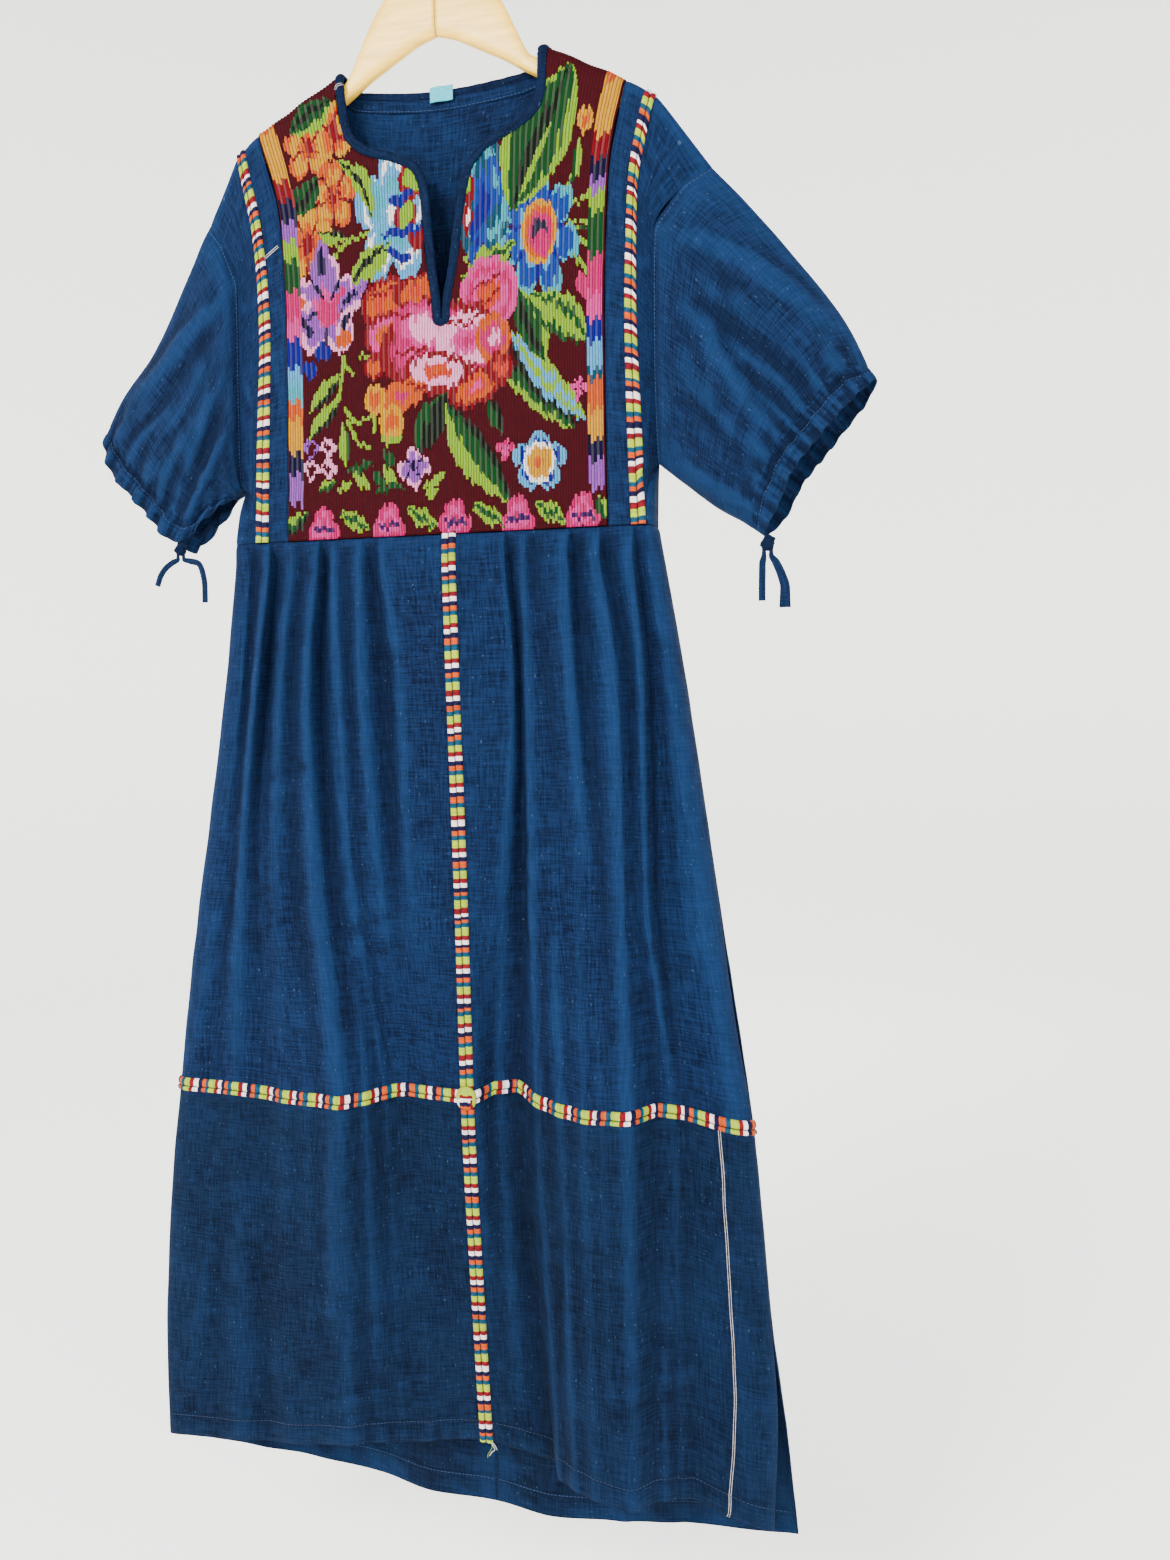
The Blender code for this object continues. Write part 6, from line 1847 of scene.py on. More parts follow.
def skirt_cloth(look):
    upper, lower = skirt_levels()
    for side, folds, side_first in SKIRT_HALVES:
        inner = {"right" if side_first else "left": HALF_GAP}
        for tier, levels in (("upper", upper), ("lower", lower)):
            grid = skirt_grid(folds, side, "front", side_first, levels)
            top = SLANT_EASE if tier == "upper" else HALF_GAP
            grid = ease_edge(grid, top=top, foot=HALF_GAP if tier == "upper" else 0.0, **inner)[::-1]
            grid = refined(grid, SKIRT_FINENESS)
            relief = hem_relief if tier == "lower" else None
            grid = shaped(grid, "front", "skirt", SKIRT_CREASES[tier, side], relief)
            material = indigo_material(look) if tier == "upper" else lower_material(look)
            name, nodes = f"skirt_cloth_{tier}_{side}", [f"skirt_{tier}_{side}"]
            cloth(name, nodes, grid, "front", material, tier)
            if tier == "lower":
                stitches(f"hem_stitches_{side}", line_on(grid, "front", HEM_DEPTH), look, pale=False)
            if (tier, side) == ("lower", "right"):
                selvedge_lines("skirt_selvedge", grid)
    centre = next(i for i, fold in enumerate(BACK_FOLDS) if fold.name == "back_centre")
    halves = (("left", BACK_FOLDS[: centre + 1], True), ("right", BACK_FOLDS[centre:], False))
    for side, folds, side_first in halves:
        inner = {"right" if side_first else "left": BACK_SEAM_GAP}
        grid = skirt_grid(folds, side, "back", side_first, BACK_LEVELS + lower)
        grid = refined(ease_edge(grid, top=SLANT_EASE, **inner)[::-1], SKIRT_FINENESS)
        grid = shaped(grid, "back", "skirt_back", SKIRT_CREASES["back", side], hem_relief)
        name, nodes, cut = f"skirt_cloth_back_{side}", [f"skirt_back_{side}"], SKIRT_CUTS["back", side]
        cloth(name, nodes, grid, "back", lower_material(look), "skirt_back")
        line, normals = line_on(grid, "back", HEM_DEPTH)
        stitches(f"hem_stitches_back_{side}", (line, normals), look, pale=False)
        stitches(f"hem_stitches_inside_{side}", (line, -normals), look)


# Stitching

STITCH_LENGTH = 2.4
STITCH_PITCH = 3.6
STITCH_WIDTH = 0.5
STITCH_TOP = 0.55
FIRST_STITCH = 3.0
LAST_STITCH = 4.0
STITCH_LIFT = CLOTH_THICKNESS / 2 + 0.1


def line_on(grid, face, height):
    """Points and normals along a grid at one height over its foot row."""
    _, upward = thread_places(grid)
    row = int(np.argmin(np.abs(upward - height)))
    normals = outward_normals(grid, face)
    return grid[row], normals[row]


def stitches(name, line, look, pale=True):
    """A row of small running stitches along a line on the cloth."""
    points, normals = line
    lengths = lengths_along(points)
    starts = np.arange(FIRST_STITCH, lengths[-1] - LAST_STITCH, STITCH_PITCH)
    shape = bmesh.new()
    for start in starts:
        ends = [point_at(s, lengths, points) for s in (start, start + STITCH_LENGTH)]
        out = unit_rows(point_at(start, lengths, normals))
        way = unit_rows(ends[1] - ends[0])
        side = np.cross(out, way)
        middle = (ends[0] + ends[1]) / 2 + out * STITCH_LIFT
        made = bmesh.ops.create_cube(shape, size=1.0)
        for vertex in made["verts"]:
            a, b, c = vertex.co
            narrow = STITCH_WIDTH * (STITCH_TOP if c > 0 else 1.0)
            vertex.co = (middle + way * a * STITCH_LENGTH + side * b * narrow + out * c * STITCH_WIDTH) * MM
    bmesh.ops.recalc_face_normals(shape, faces=shape.faces)
    finished(name, mesh_from(shape, name), sewing_material(look, pale))


# Pale lines of the cloth's selvedge: width of a line, the space between two middles, and how far
# they lie from the side edge at the hem and at the knee

LINE_WIDTH = 0.4
LINE_SPACE = 1.8
LINE_THICKNESS = 0.2
SELVEDGE_AT_HEM = 46.5
SELVEDGE_AT_KNEE = 36.5
# Short lines as their two ends, x and z, and how far they stand out of the yoke's wall
SHORT_LINES = {
    "strip_line": ((-170.0, -308.0), (-152.0, -296.0), 0.8),
    "binding_line": ((-94.5, -163.5), (-86.5, -158.5), 3.4),
}
SHORT_STEPS = 9
BOWED_HEIGHT = 2.0


def pale_ribbon(name, points, normals, way):
    """Two thin lines side by side on the cloth; way points from one to the other."""
    for k, shift in enumerate((-LINE_SPACE / 2, LINE_SPACE / 2)):
        middle = points + way * shift + normals * (CLOTH_THICKNESS / 2 + 0.15)
        rows = np.stack([middle - way * LINE_WIDTH / 2, middle + way * LINE_WIDTH / 2], axis=1)
        mesh = grid_mesh(f"{name}_{k}", rows)
        finished(f"{name}_{k}", mesh, plain_thread("white"), wall=LINE_THICKNESS)


def selvedge_lines(name, grid):
    normals = outward_normals(grid, "front")
    _, upward = thread_places(grid)
    share = upward / upward[-1]
    points, outs = [], []
    for row, out, rise in zip(grid[:, ::-1], normals[:, ::-1], share):
        inward = lengths_along(row)
        at = SELVEDGE_AT_HEM + (SELVEDGE_AT_KNEE - SELVEDGE_AT_HEM) * rise
        points.append(point_at(at, inward, row))
        outs.append(point_at(at, inward, out))
    points, outs = np.array(points), unit_rows(np.array(outs))
    way = unit_rows(np.cross(outs, unit_rows(np.gradient(points, axis=0))))
    pale_ribbon(name, points, outs, way)


def short_lines():
    for name, (start, finish, height) in SHORT_LINES.items():
        ends = np.array([start, finish])
        places = ends[0] + (ends[1] - ends[0]) * np.linspace(0, 1, SHORT_STEPS)[:, None]
        points = deep_points(places[:, 0], places[:, 1], -1)
        bow = np.sin(np.pi * np.linspace(0, 1, SHORT_STEPS)) if height > BOWED_HEIGHT else 1.0
        points[:, 1] -= height * bow
        run = unit_rows(np.array([ends[1, 0] - ends[0, 0], 0.0, ends[1, 1] - ends[0, 1]]))
        out = np.array([0.0, -1.0, 0.0])
        normals = np.repeat(out[None], SHORT_STEPS, axis=0)
        pale_ribbon(name, points, normals, np.repeat(np.cross(out, run)[None], SHORT_STEPS, axis=0))


# Sleeves

SLEEVE_CREASES = {
    "left": creases(
        (0.14, 0.1, 0.3, 0.9, 10, 4.1), (0.4, 0.05, 0.47, 0.7, 9, -3.0), (0.58, 0.08, 0.6, 0.85, 10, 3.8),
        (0.8, 0.15, 0.76, 0.8, 8, 2.7), (0.1, 0.55, 0.6, 0.72, 10, -1.6), (0.3, 0.3, 0.9, 0.38, 9, 1.4),
        (0.25, 0.02, 0.28, 0.4, 6, -2.2), (0.7, 0.02, 0.68, 0.38, 6, -2.0),
    ),
    "right": creases(
        (0.12, 0.08, 0.24, 0.85, 10, 4.1), (0.32, 0.05, 0.36, 0.7, 9, -3.2),
        (0.56, 0.05, 0.46, 0.8, 12, 4.3), (0.78, 0.08, 0.7, 0.8, 10, -3.0),
        (0.92, 0.1, 0.9, 0.75, 8, 2.4), (0.2, 0.62, 0.7, 0.5, 10, 1.6), (0.4, 0.3, 0.92, 0.22, 9, -1.4),
        (0.44, 0.02, 0.46, 0.36, 6, -2.2),
    ),
}
SLEEVE_STATIONS = (0.0, 0.02, 0.05, 0.1, 0.17, 0.25, 0.33, 0.42, 0.5, 0.6, 0.68, 0.76, 0.84, 0.9, 0.95, 1.0)
CUFF_STATIONS = (0.12, 0.3, 0.5, 0.7, 0.85, 1.0)
RIPPLE_START = 0.62
RIPPLE_HEIGHT = 2.0
SMALL_RIPPLES = 23
SMALL_RIPPLE_HEIGHT = 0.7
SLEEVE_SEAM = 2.5
SLEEVE_ROLL = 0.5
CUFF_ROLL = 0.4
CASING_GROOVE = 0.7
# Places across a sleeve at its two edges, and the spread and number of those between
EDGE_PLACES = (0.0, 0.004, 0.015, 0.03)
BODY_PLACES = (0.06, 0.94, 30)
CUFF_PLACES = (0.045, 0.955, 100)


def ripple(a, b):
    """Gathers of the cloth before the casing: they start on the sleeve and run into the cuff."""
    swing = math.sin(math.tau * CUFF_WAVES * b + CUFF_UNEVENNESS * math.sin(4 * math.pi * b))
    small = math.sin(math.tau * SMALL_RIPPLES * b + 2.1 * math.sin(math.tau * 3 * b))
    rise = min(max((a - RIPPLE_START) / (1 - RIPPLE_START), 0.0), 1.0) ** 2
    past = max(a - 1, 0.0)
    return (RIPPLE_HEIGHT * swing * (1 - 0.7 * past) + SMALL_RIPPLE_HEIGHT * small) * rise


def sleeve_grid(side, face, stations, places):
    surface = sleeve_surface(side, face)
    sign = FACE_SIGN[face]
    rows = []
    for a in stations:
        row = []
        for b in places:
            x, y, z = sleeve_point(side, face, surface, a, b)
            row.append((x, y + sign * ripple(a, b) * sleeve_profile(b), z))
        rows.append(row)
    return np.array(rows)


def casing_relief(v):
    """The stitched line of the drawstring's casing."""
    return -CASING_GROOVE * np.exp(-(((v - CASING_DEPTH) / GROOVE_WIDTH) ** 2))


def sleeve_cloth(look):
    last_places = (0.97, 0.985, 0.996, 1.0)
    body_places = [*EDGE_PLACES, *np.linspace(*BODY_PLACES), *last_places]
    cuff_places = [*EDGE_PLACES, *np.linspace(*CUFF_PLACES), *last_places]
    for side in SIDES:
        for face in FACE_SIGN:
            body = sleeve_grid(side, face, SLEEVE_STATIONS, body_places)
            body = refined(tucked(ease_edge(body, foot=EDGE_GAP), face)[::-1], SLEEVE_FINENESS)
            body = shaped(body, face, "sleeve", SLEEVE_CREASES[side], rolled=SLEEVE_ROLL)
            name, nodes = f"sleeve_cloth_{face}_{side}", [f"sleeve_{face}_{side}"]
            cloth(name, nodes, body, face, sleeve_material(look), "sleeve")
            seam = line_on(body[::-1], face, ALLOWANCE + SLEEVE_SEAM)
            stitches(f"armhole_stitches_{face}_{side}", seam, look)
            cuff = sleeve_grid(side, face, (1.0,) + tuple(1 + a for a in CUFF_STATIONS), cuff_places)
            cuff = refined(tucked(ease_edge(cuff, top=EDGE_GAP), face, CUFF_ALLOWANCE)[::-1], CUFF_FINENESS)
            cuff = shaped(cuff, face, "cuff", relief=casing_relief, rolled=CUFF_ROLL)
            name, nodes = f"cuff_cloth_{face}_{side}", [f"cuff_{face}_{side}"]
            cloth(name, nodes, cuff, face, sleeve_material(look))
            stitches(f"casing_stitches_{face}_{side}", line_on(cuff, face, CASING_DEPTH), look)


# Drawstring ties

TIE_THICKNESS = 1.0
TIE_TURN = 18
TIE_START = 0.55
TIE_WIDENING = 2.2
TIE_FLARE = 0.7
TIE_HIDDEN = 3.5
KNOT_RIDGES = 0.06
# The knot's turns of cord, as place from its middle, half size and tilt
KNOT_WRAPS = (
    ((0.0, 0.0, 0.0), (5.8, 4.2, 6.0), 25),
    ((0.8, -0.9, 2.2), (6.4, 4.0, 3.0), -24),
    ((-0.8, -0.9, -2.0), (6.0, 4.0, 2.8), 18),
    ((0.4, -0.4, 5.2), (3.6, 3.2, 2.6), 8),
)


def tie_route(side, end):
    """The middle line of one free end, in millimetres."""
    route = TIE_ENDS[side, end]
    x, y, top = KNOTS[side]
    leaving = TIE_SPACING * (1 if route[0][0] > x else -1)
    start = np.array([x + leaving, y, top - KNOT_SIZE[2] - TIE_GAP])
    below = start - np.array([0.0, 0.0, TIE_DROP])
    path = curve_through([start, below, *route])
    return np.array([path(s) for s in np.linspace(0, 1, 40)])


def tie_ribbon(side, end, look):
    """One flat woven end that turns a little as it hangs."""
    route = tie_route(side, end)
    count = len(route)
    rows = []
    for i, point in enumerate(route):
        share = i / (count - 1)
        forward = unit_rows(route[min(i + 1, count - 1)] - route[max(i - 1, 0)])
        turn = math.radians(TIE_TURN * math.sin(5 * share + (1 if end == "outer" else 3)))
        across = np.cross(forward, (0.0, -math.cos(turn), math.sin(turn) * 0.4))
        across = unit_rows(across)
        half = look.tie_width / MM / 2 * min(TIE_START + TIE_WIDENING * share, 1.0)
        if (side, end) == ("right", "outer"):
            half *= 1 + TIE_FLARE * share
        fold = np.cross(across, forward)
        rows.append([point + across * half * k + fold * 0.5 * (1 - k * k) for k in np.linspace(-1, 1, 7)])
    in_knot = np.array(rows[0]) + np.array([0.0, 0.0, TIE_HIDDEN])
    points = np.concatenate([in_knot[None], np.array(rows)])
    name = f"tie_ribbon_{side}_{end}"
    mesh = grid_mesh(name, points, standing_out(points, "front"))
    node = f"tie_end_{side}_{end}"
    piece = finished(name, mesh, sleeve_material(look), [node], TIE_THICKNESS)


def tie_lump(side, look):
    """The knot: the cord's turns over and under one another."""
    x, y, top = KNOTS[side]
    middle = np.array([x, y, top - KNOT_SIZE[2] / 2])
    shape = bmesh.new()
    for offset, half, tilt in KNOT_WRAPS:
        turn = Matrix.Rotation(math.radians(tilt), 3, "Y")
        made = bmesh.ops.create_uvsphere(shape, u_segments=20, v_segments=14, radius=1.0)
        for vertex in made["verts"]:
            place = turn @ Vector([k * h for k, h in zip(vertex.co, half)])
            ridges = 1 + KNOT_RIDGES * math.sin(place.z * 3.1 + place.x * 1.4)
            vertex.co = (Vector(middle) + Vector(offset) + place * ridges) * MM
    name = f"tie_lump_{side}"
    finished(name, mesh_from(shape, name), sleeve_material(look), [f"tie_knot_{side}"])


def ties(look):
    for side in SIDES:
        tie_lump(side, look)
        for end in ("outer", "inner"):
            tie_ribbon(side, end, look)


# Hanger

BOARD_STATIONS = 60
BOARD_SIDES = 20
BOARD_ROUNDING = 0.55
BOARD_TIP = 0.8
TIP_SHARE = 0.3


def wooden_arm(side, look):
    """One arm of the hanger, with rounded edges."""
    distance, tops, feet = (np.array(k) for k in zip(*BOARD))
    rings = []
    stations = np.linspace(distance[0], distance[-1], BOARD_STATIONS)
    for d in [*stations, distance[-1] + BOARD_TIP]:
        end = 1.0 if d <= distance[-1] else TIP_SHARE
        top, foot = smooth(distance, tops, d), smooth(distance, feet, d)
        middle, half = (top + foot) / 2, (top - foot) / 2 * end
        ring = []
        for k in range(BOARD_SIDES):
            angle = math.tau * k / BOARD_SIDES
            turn = math.cos(angle), math.sin(angle)
            across, up = (math.copysign(abs(k) ** BOARD_ROUNDING, k) for k in turn)
            ring.append((OUTWARD[side] * d, across * BOARD_HALF * end, middle + up * half))
        rings.append(ring)
    name = f"wooden_arm_{side}"
    mesh = ring_mesh(name, np.array(rings))
    finished(name, mesh, wood_material(look), [f"hanger_arm_{side}"])


# The hook's straight foot as x, z, and the collar's outline as distance out and z
HOOK_STEM = ((0.0, -58.0), (0.0, -50.0), (0.5, -45.0))
HOOK_STATIONS = 60
FERRULE = ((2.6, -60.0), (4.4, -57.5), (4.4, -54.5), (3.4, -53.0), (2.3, -52.4))


def wire_hook(look):
    """The hook's bent wire and the small collar where it enters the wood."""
    wire = HOOK_INNER_RADIUS + HOOK_WIRE_RADIUS
    points = list(HOOK_STEM)
    for k in range(HOOK_STATIONS):
        angle = math.radians(HOOK_START + HOOK_SWEEP * k / (HOOK_STATIONS - 1))
        points.append((wire * math.cos(angle), -HOOK_INNER_RADIUS + wire * math.sin(angle)))
    places = [(x * MM, 0.0, z * MM) for x, z in points]
    piece = strand("wire_hook", places, HOOK_WIRE_RADIUS, 4, wire_material(look))
    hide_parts("hanger_hook")
    shape = spun([(out * MM, up * MM) for out, up in FERRULE], 32)
    bmesh.ops.holes_fill(shape, edges=shape.edges, sides=0)
    bmesh.ops.recalc_face_normals(shape, faces=shape.faces)
    finished("hook_collar", mesh_from(shape, "hook_collar"), wire_material(look))


# Materials

class Value:
    """A socket of a material that can be reckoned with like a number."""

    def __init__(self, shader, socket):
        self.shader = shader
        self.socket = socket

    def reckon(self, operation, *others):
        inputs = dict(enumerate((self, *others)))
        return self.shader.add("ShaderNodeMath", {"operation": operation}, inputs).out(0)

    def __add__(self, other):
        return self.reckon("ADD", other)

    __radd__ = __add__

    def __sub__(self, other):
        return self.reckon("SUBTRACT", other)

    def __rsub__(self, other):
        return (self * -1.0) + other

    def __mul__(self, other):
        return self.reckon("MULTIPLY", other)

    __rmul__ = __mul__

    def __truediv__(self, other):
        return self.reckon("DIVIDE", other)

    def __rtruediv__(self, other):
        return self.reckon("POWER", -1.0) * other

    def __pow__(self, other):
        return self.reckon("POWER", other)

    def sine(self):
        return self.reckon("SINE")

    def between(self, low, high):
        """0 under the low value, 1 over the high one and even between them."""
        inputs = {"Value": self, "From Min": low, "From Max": high}
        return self.shader.add("ShaderNodeMapRange", {"clamp": True}, inputs).out(0)


class Made:
    def __init__(self, shader, node):
        self.shader = shader
        self.node = node

    def out(self, key):
        return Value(self.shader, self.node.outputs[key])


class Shader:
    """A material that is built from nodes in order."""

    def __init__(self, name):
        self.material = bpy.data.materials.new(name)
        self.material.use_nodes = True
        self.tree = self.material.node_tree
        self.surface = self.tree.nodes["Principled BSDF"]

    def add(self, kind, settings=None, inputs=None):
        node = self.tree.nodes.new(kind)
        for key, value in (settings or {}).items():
            setattr(node, key, value)
        for key, value in (inputs or {}).items():
            self.join(node.inputs[key], value)
        return Made(self, node)

    def join(self, socket, value):
        if isinstance(value, Value):
            self.tree.links.new(value.socket, socket)
        else:
            socket.default_value = value

    def finish(self, **inputs):
        for key, value in inputs.items():
            self.join(self.surface.inputs[key.replace("_", " ")], value)
        return self.material

    def blend(self, factor, first, second, way="MIX"):
        settings = {"data_type": "RGBA", "blend_type": way, "clamp_factor": True}
        return self.add("ShaderNodeMix", settings, {0: factor, 6: first, 7: second}).out(2)

    def noise(self, vector, scale, detail=2.0, roughness=0.5):
        inputs = {"Vector": vector, "Scale": scale, "Detail": detail, "Roughness": roughness}
        return self.add("ShaderNodeTexNoise", None, inputs).out("Fac")

    def threads(self):
        """Places along the two thread directions, in metres."""
        return self.add("ShaderNodeUVMap", {"uv_map": "threads"}).out("UV")

    def point(self):
        """Places on the object, in metres."""
        return self.add("ShaderNodeTexCoord").out("Object")

    def parts(self, vector):
        made = self.add("ShaderNodeSeparateXYZ", None, {0: vector})
        return made.out(0), made.out(1), made.out(2)

    def scaled(self, vector, factors):
        made = self.add("ShaderNodeVectorMath", {"operation": "MULTIPLY"}, {0: vector, 1: factors})
        return made.out(0)

    def kept(self, name, key="Fac"):
        """A value or colour stored on the mesh."""
        return self.add("ShaderNodeAttribute", {"attribute_name": name}).out(key)

    def bump(self, height, strength, distance):
        inputs = {"Strength": strength, "Distance": distance, "Height": height}
        return self.add("ShaderNodeBump", None, inputs).out("Normal")


def made_once(pattern):
    """Makes a material the first time that it is asked for and finds it again after that."""
    def wrap(build):
        def material(*values):
            name = pattern.format(*values)
            return bpy.data.materials.get(name) or build(Shader(name), *values)
        return material
    return wrap


def rgba(colour, factor=1.0):
    return (colour[0] * factor, colour[1] * factor, colour[2] * factor, 1.0)


WARP_STREAK = (560.0, 45.0, 1.0)
WEFT_STREAK = (45.0, 560.0, 1.0)
THREAD_PITCH = 0.0008


@made_once("{0}_cotton_cloth")
def woven_cloth(shader, _, colour, look):
    """Hand-woven indigo cotton: slubs both ways, pale specks, ridges painted paler as wear and painted
    highlight, and dips darkened as painted shade.
    """
    places = shader.threads()
    warp = shader.noise(shader.scaled(places, WARP_STREAK), 1.0, 2.0)
    weft = shader.noise(shader.scaled(places, WEFT_STREAK), 1.0, 2.0)
    cloud = shader.noise(places, 9.0, 3.0)
    wear = shader.kept("wear")
    light = 0.5 * warp.between(0.38, 0.62) + 0.5 * weft.between(0.38, 0.62)
    base = shader.blend(light, rgba(colour, 0.3), rgba(colour, 1.8))
    mottle = shader.noise(places, 330.0, 4.0, 0.7)
    base = shader.blend(mottle.between(0.55, 0.72) * 0.5, base, rgba(colour, 2.2))
    base = shader.blend(mottle.between(0.45, 0.28) * 0.5, base, rgba(colour, 0.3))
    base = shader.blend(cloud.between(0.35, 0.75) * 0.15, base, rgba(look.faded))
    # Ridges paler towards the faded colour: partly real wear, partly painted highlight where light catches
    # the ridges
    base = shader.blend(wear.between(0.52, 1.0) * look.wear, base, rgba(look.faded))
    # Painted shade: dips are darkened where shade falls in the hollows. Pieces without the stored ridge
    # measure, such as the neck roll and the tie knots, read 0 and take this painted shade all over
    base = shader.blend(wear.between(0.48, 0.0) * 0.5, base, rgba(colour, 0.4))
    speck = shader.noise(shader.scaled(places, (420.0, 260.0, 1.0)), 1.0, 1.0).between(0.70, 0.76)
    base = shader.blend(speck * 0.28, base, rgba(look.speck))
    u, v, _ = shader.parts(places)
    turn = math.tau / THREAD_PITCH
    weave = (u * turn).sine() * (v * turn).sine()
    height = 0.35 * weave + 1.1 * light + 0.5 * shader.noise(places, 160.0, 3.0)
    normal = shader.bump(height, 0.35, 0.0006)
    return shader.finish(
        Base_Color=base, Roughness=light * -0.1 + 0.9, Normal=normal, Specular_IOR_Level=0.05,
    )


def indigo_material(look):
    return woven_cloth("indigo", look.indigo, look)


def lower_material(look):
    return woven_cloth("lower", look.lower, look)


def sleeve_material(look):
    return woven_cloth("sleeve", look.sleeve, look)


@made_once("turquoise_tape_cloth")
def tape_material(shader, look):
    places = shader.threads()
    weft = shader.noise(shader.scaled(places, (200.0, 1500.0, 1.0)), 1.0)
    base = shader.blend(weft.between(0.3, 0.7), rgba(look.tape, 0.75), rgba(look.tape, 1.15))
    return shader.finish(Base_Color=base, Roughness=0.8, Normal=shader.bump(weft, 0.3, 0.0004))


@made_once("brocade_threads")
def brocade_material(shader, look):
    """The panel's threads: the stored stitch colours over round ribs, with painted shade darkening the
    valleys between them.
    """
    places = shader.threads()
    thread = shader.kept("thread", "Color")
    crest = shader.kept("wear")
    strand = shader.noise(shader.scaled(places, (700.0, 2600.0, 1.0)), 1.0, 2.0)
    base = shader.blend(1.0, thread, rgba((look.depth,) * 3), "MULTIPLY")
    base = shader.blend(strand.between(0.3, 0.7) * 0.25, base, (0.0, 0.0, 0.0, 1.0))
    # Painted shade: the valleys between the ribs are darkened towards a deep ground colour
    valley = crest.between(0.45, 0.0)
    base = shader.blend(valley * look.valley, base, rgba(look.ground, 0.25))
    _, v, _ = shader.parts(places)
    height = crest * 0.3 + 0.6 * strand + 0.25 * (v * (math.tau / 0.001)).sine()
    return shader.finish(
        Base_Color=base, Roughness=0.72, Normal=shader.bump(height, 0.4, 0.0006), Specular_IOR_Level=0.05,
    )


@made_once("wrapped_thread")
def thread_material(shader, look):
    """Wrapped cotton thread of the trims, with painted shade between the wraps, along the groove between the
    two rolls and on their underside.
    """
    places = shader.threads()
    thread = shader.kept("thread", "Color")
    crest = shader.kept("wear")
    strand = shader.noise(shader.scaled(places, (300.0, 3600.0, 1.0)), 1.0, 2.0)
    base = shader.blend(1.0, thread, rgba((look.depth * 1.1,) * 3), "MULTIPLY")
    base = shader.blend(strand.between(0.3, 0.7) * 0.3, base, rgba(look.shadow))
    # Painted shade where the stored crest measure is low: between the wraps, along the middle groove and on
    # the underside
    base = shader.blend(crest.between(0.5, 0.0) * 0.75, base, rgba(look.shadow))
    return shader.finish(
        Base_Color=base, Roughness=0.62, Normal=shader.bump(strand, 0.4, 0.0005), Specular_IOR_Level=0.1,
    )


def sewing_material(look, pale):
    return sewn("pale_sewing", 1.5, look) if pale else sewn("sewing", 0.5, look)


@made_once("{0}_thread")
def sewn(shader, _, strength, look):
    point = shader.point()
    light = shader.noise(point, 90.0)
    base = shader.blend(light.between(0.3, 0.7), rgba(look.indigo, strength), rgba(look.faded, strength))
    return shader.finish(Base_Color=base, Roughness=0.75)


@made_once("{0}_strand")
def plain_thread(shader, colour):
    """One strand of cotton thread."""
    point = shader.point()
    twist = shader.noise(shader.scaled(point, (900.0, 900.0, 500.0)), 1.0)
    tint = THREADS[colour]
    base = shader.blend(twist.between(0.35, 0.65), rgba(tint, 0.4), rgba(tint, 0.8))
    return shader.finish(Base_Color=base, Roughness=0.7)


@made_once("pale_wood")
def wood_material(shader, look):
    """Pale wood with its grain along the arms."""
    point = shader.point()
    grain = shader.noise(shader.scaled(point, (14.0, 120.0, 150.0)), 1.0, 4.0, 0.6)
    fine = shader.noise(shader.scaled(point, (60.0, 500.0, 700.0)), 1.0, 2.0)
    base = shader.blend(grain.between(0.35, 0.7), rgba(look.wood), rgba(look.wood, 0.72))
    base = shader.blend(fine.between(0.4, 0.75) * 0.25, base, rgba(look.wood, 0.5))
    x, _, _ = shader.parts(point)
    joint = x.reckon("ABSOLUTE").between(0.0009, 0.0003)
    base = shader.blend(joint * 0.7, base, rgba(look.wood, 0.25))
    return shader.finish(
        Base_Color=base, Roughness=grain * 0.15 + 0.38, Normal=shader.bump(grain, 0.12, 0.0006),
        Coat_Weight=0.2, Coat_Roughness=0.3,
    )


@made_once("bright_wire")
def wire_material(shader, look):
    point = shader.point()
    scratch = shader.noise(shader.scaled(point, (400.0, 400.0, 90.0)), 1.0, 2.0)
    return shader.finish(Base_Color=rgba(look.wire), Metallic=1.0, Roughness=scratch * 0.2 + 0.15)


@made_once("pale_floor")
def floor_material(shader, look):
    return shader.finish(
        Base_Color=rgba(look.floor), Roughness=0.9, Specular_IOR_Level=0.1, Emission_Color=rgba(look.floor),
        Emission_Strength=look.floor_glow,
    )


# Stage

FLOOR_Z = -1.62
BOWL_RADIUS = 4.2
BOWL_BEND = 1.1
BOWL_HEIGHT = 4.6
CAMERA_PLACE = (0.3991, -1.0023, -0.7312)
CAMERA_FORWARD = (-0.2573, 0.9650, -0.0506)
CAMERA_RIGHT = (0.9663, 0.2573, -0.0059)
CAMERA_LENS = 27.05
SENSOR_WIDTH = 36.0
# Lights as place, aim, width and watts
Lamp = namedtuple("Lamp", "name place aim size watts")
LAMPS = (
    Lamp("key_light", (-1.3, -2.9, 1.1), (0.0, 0.0, -0.7), 1.2, 120.0),
    Lamp("fill_light", (2.4, -2.2, -0.2), (0.0, 0.0, -0.8), 2.0, 34.0),
    Lamp("back_light", (0.4, 2.6, 0.9), (0.0, 0.0, -0.6), 2.0, 42.0),
)


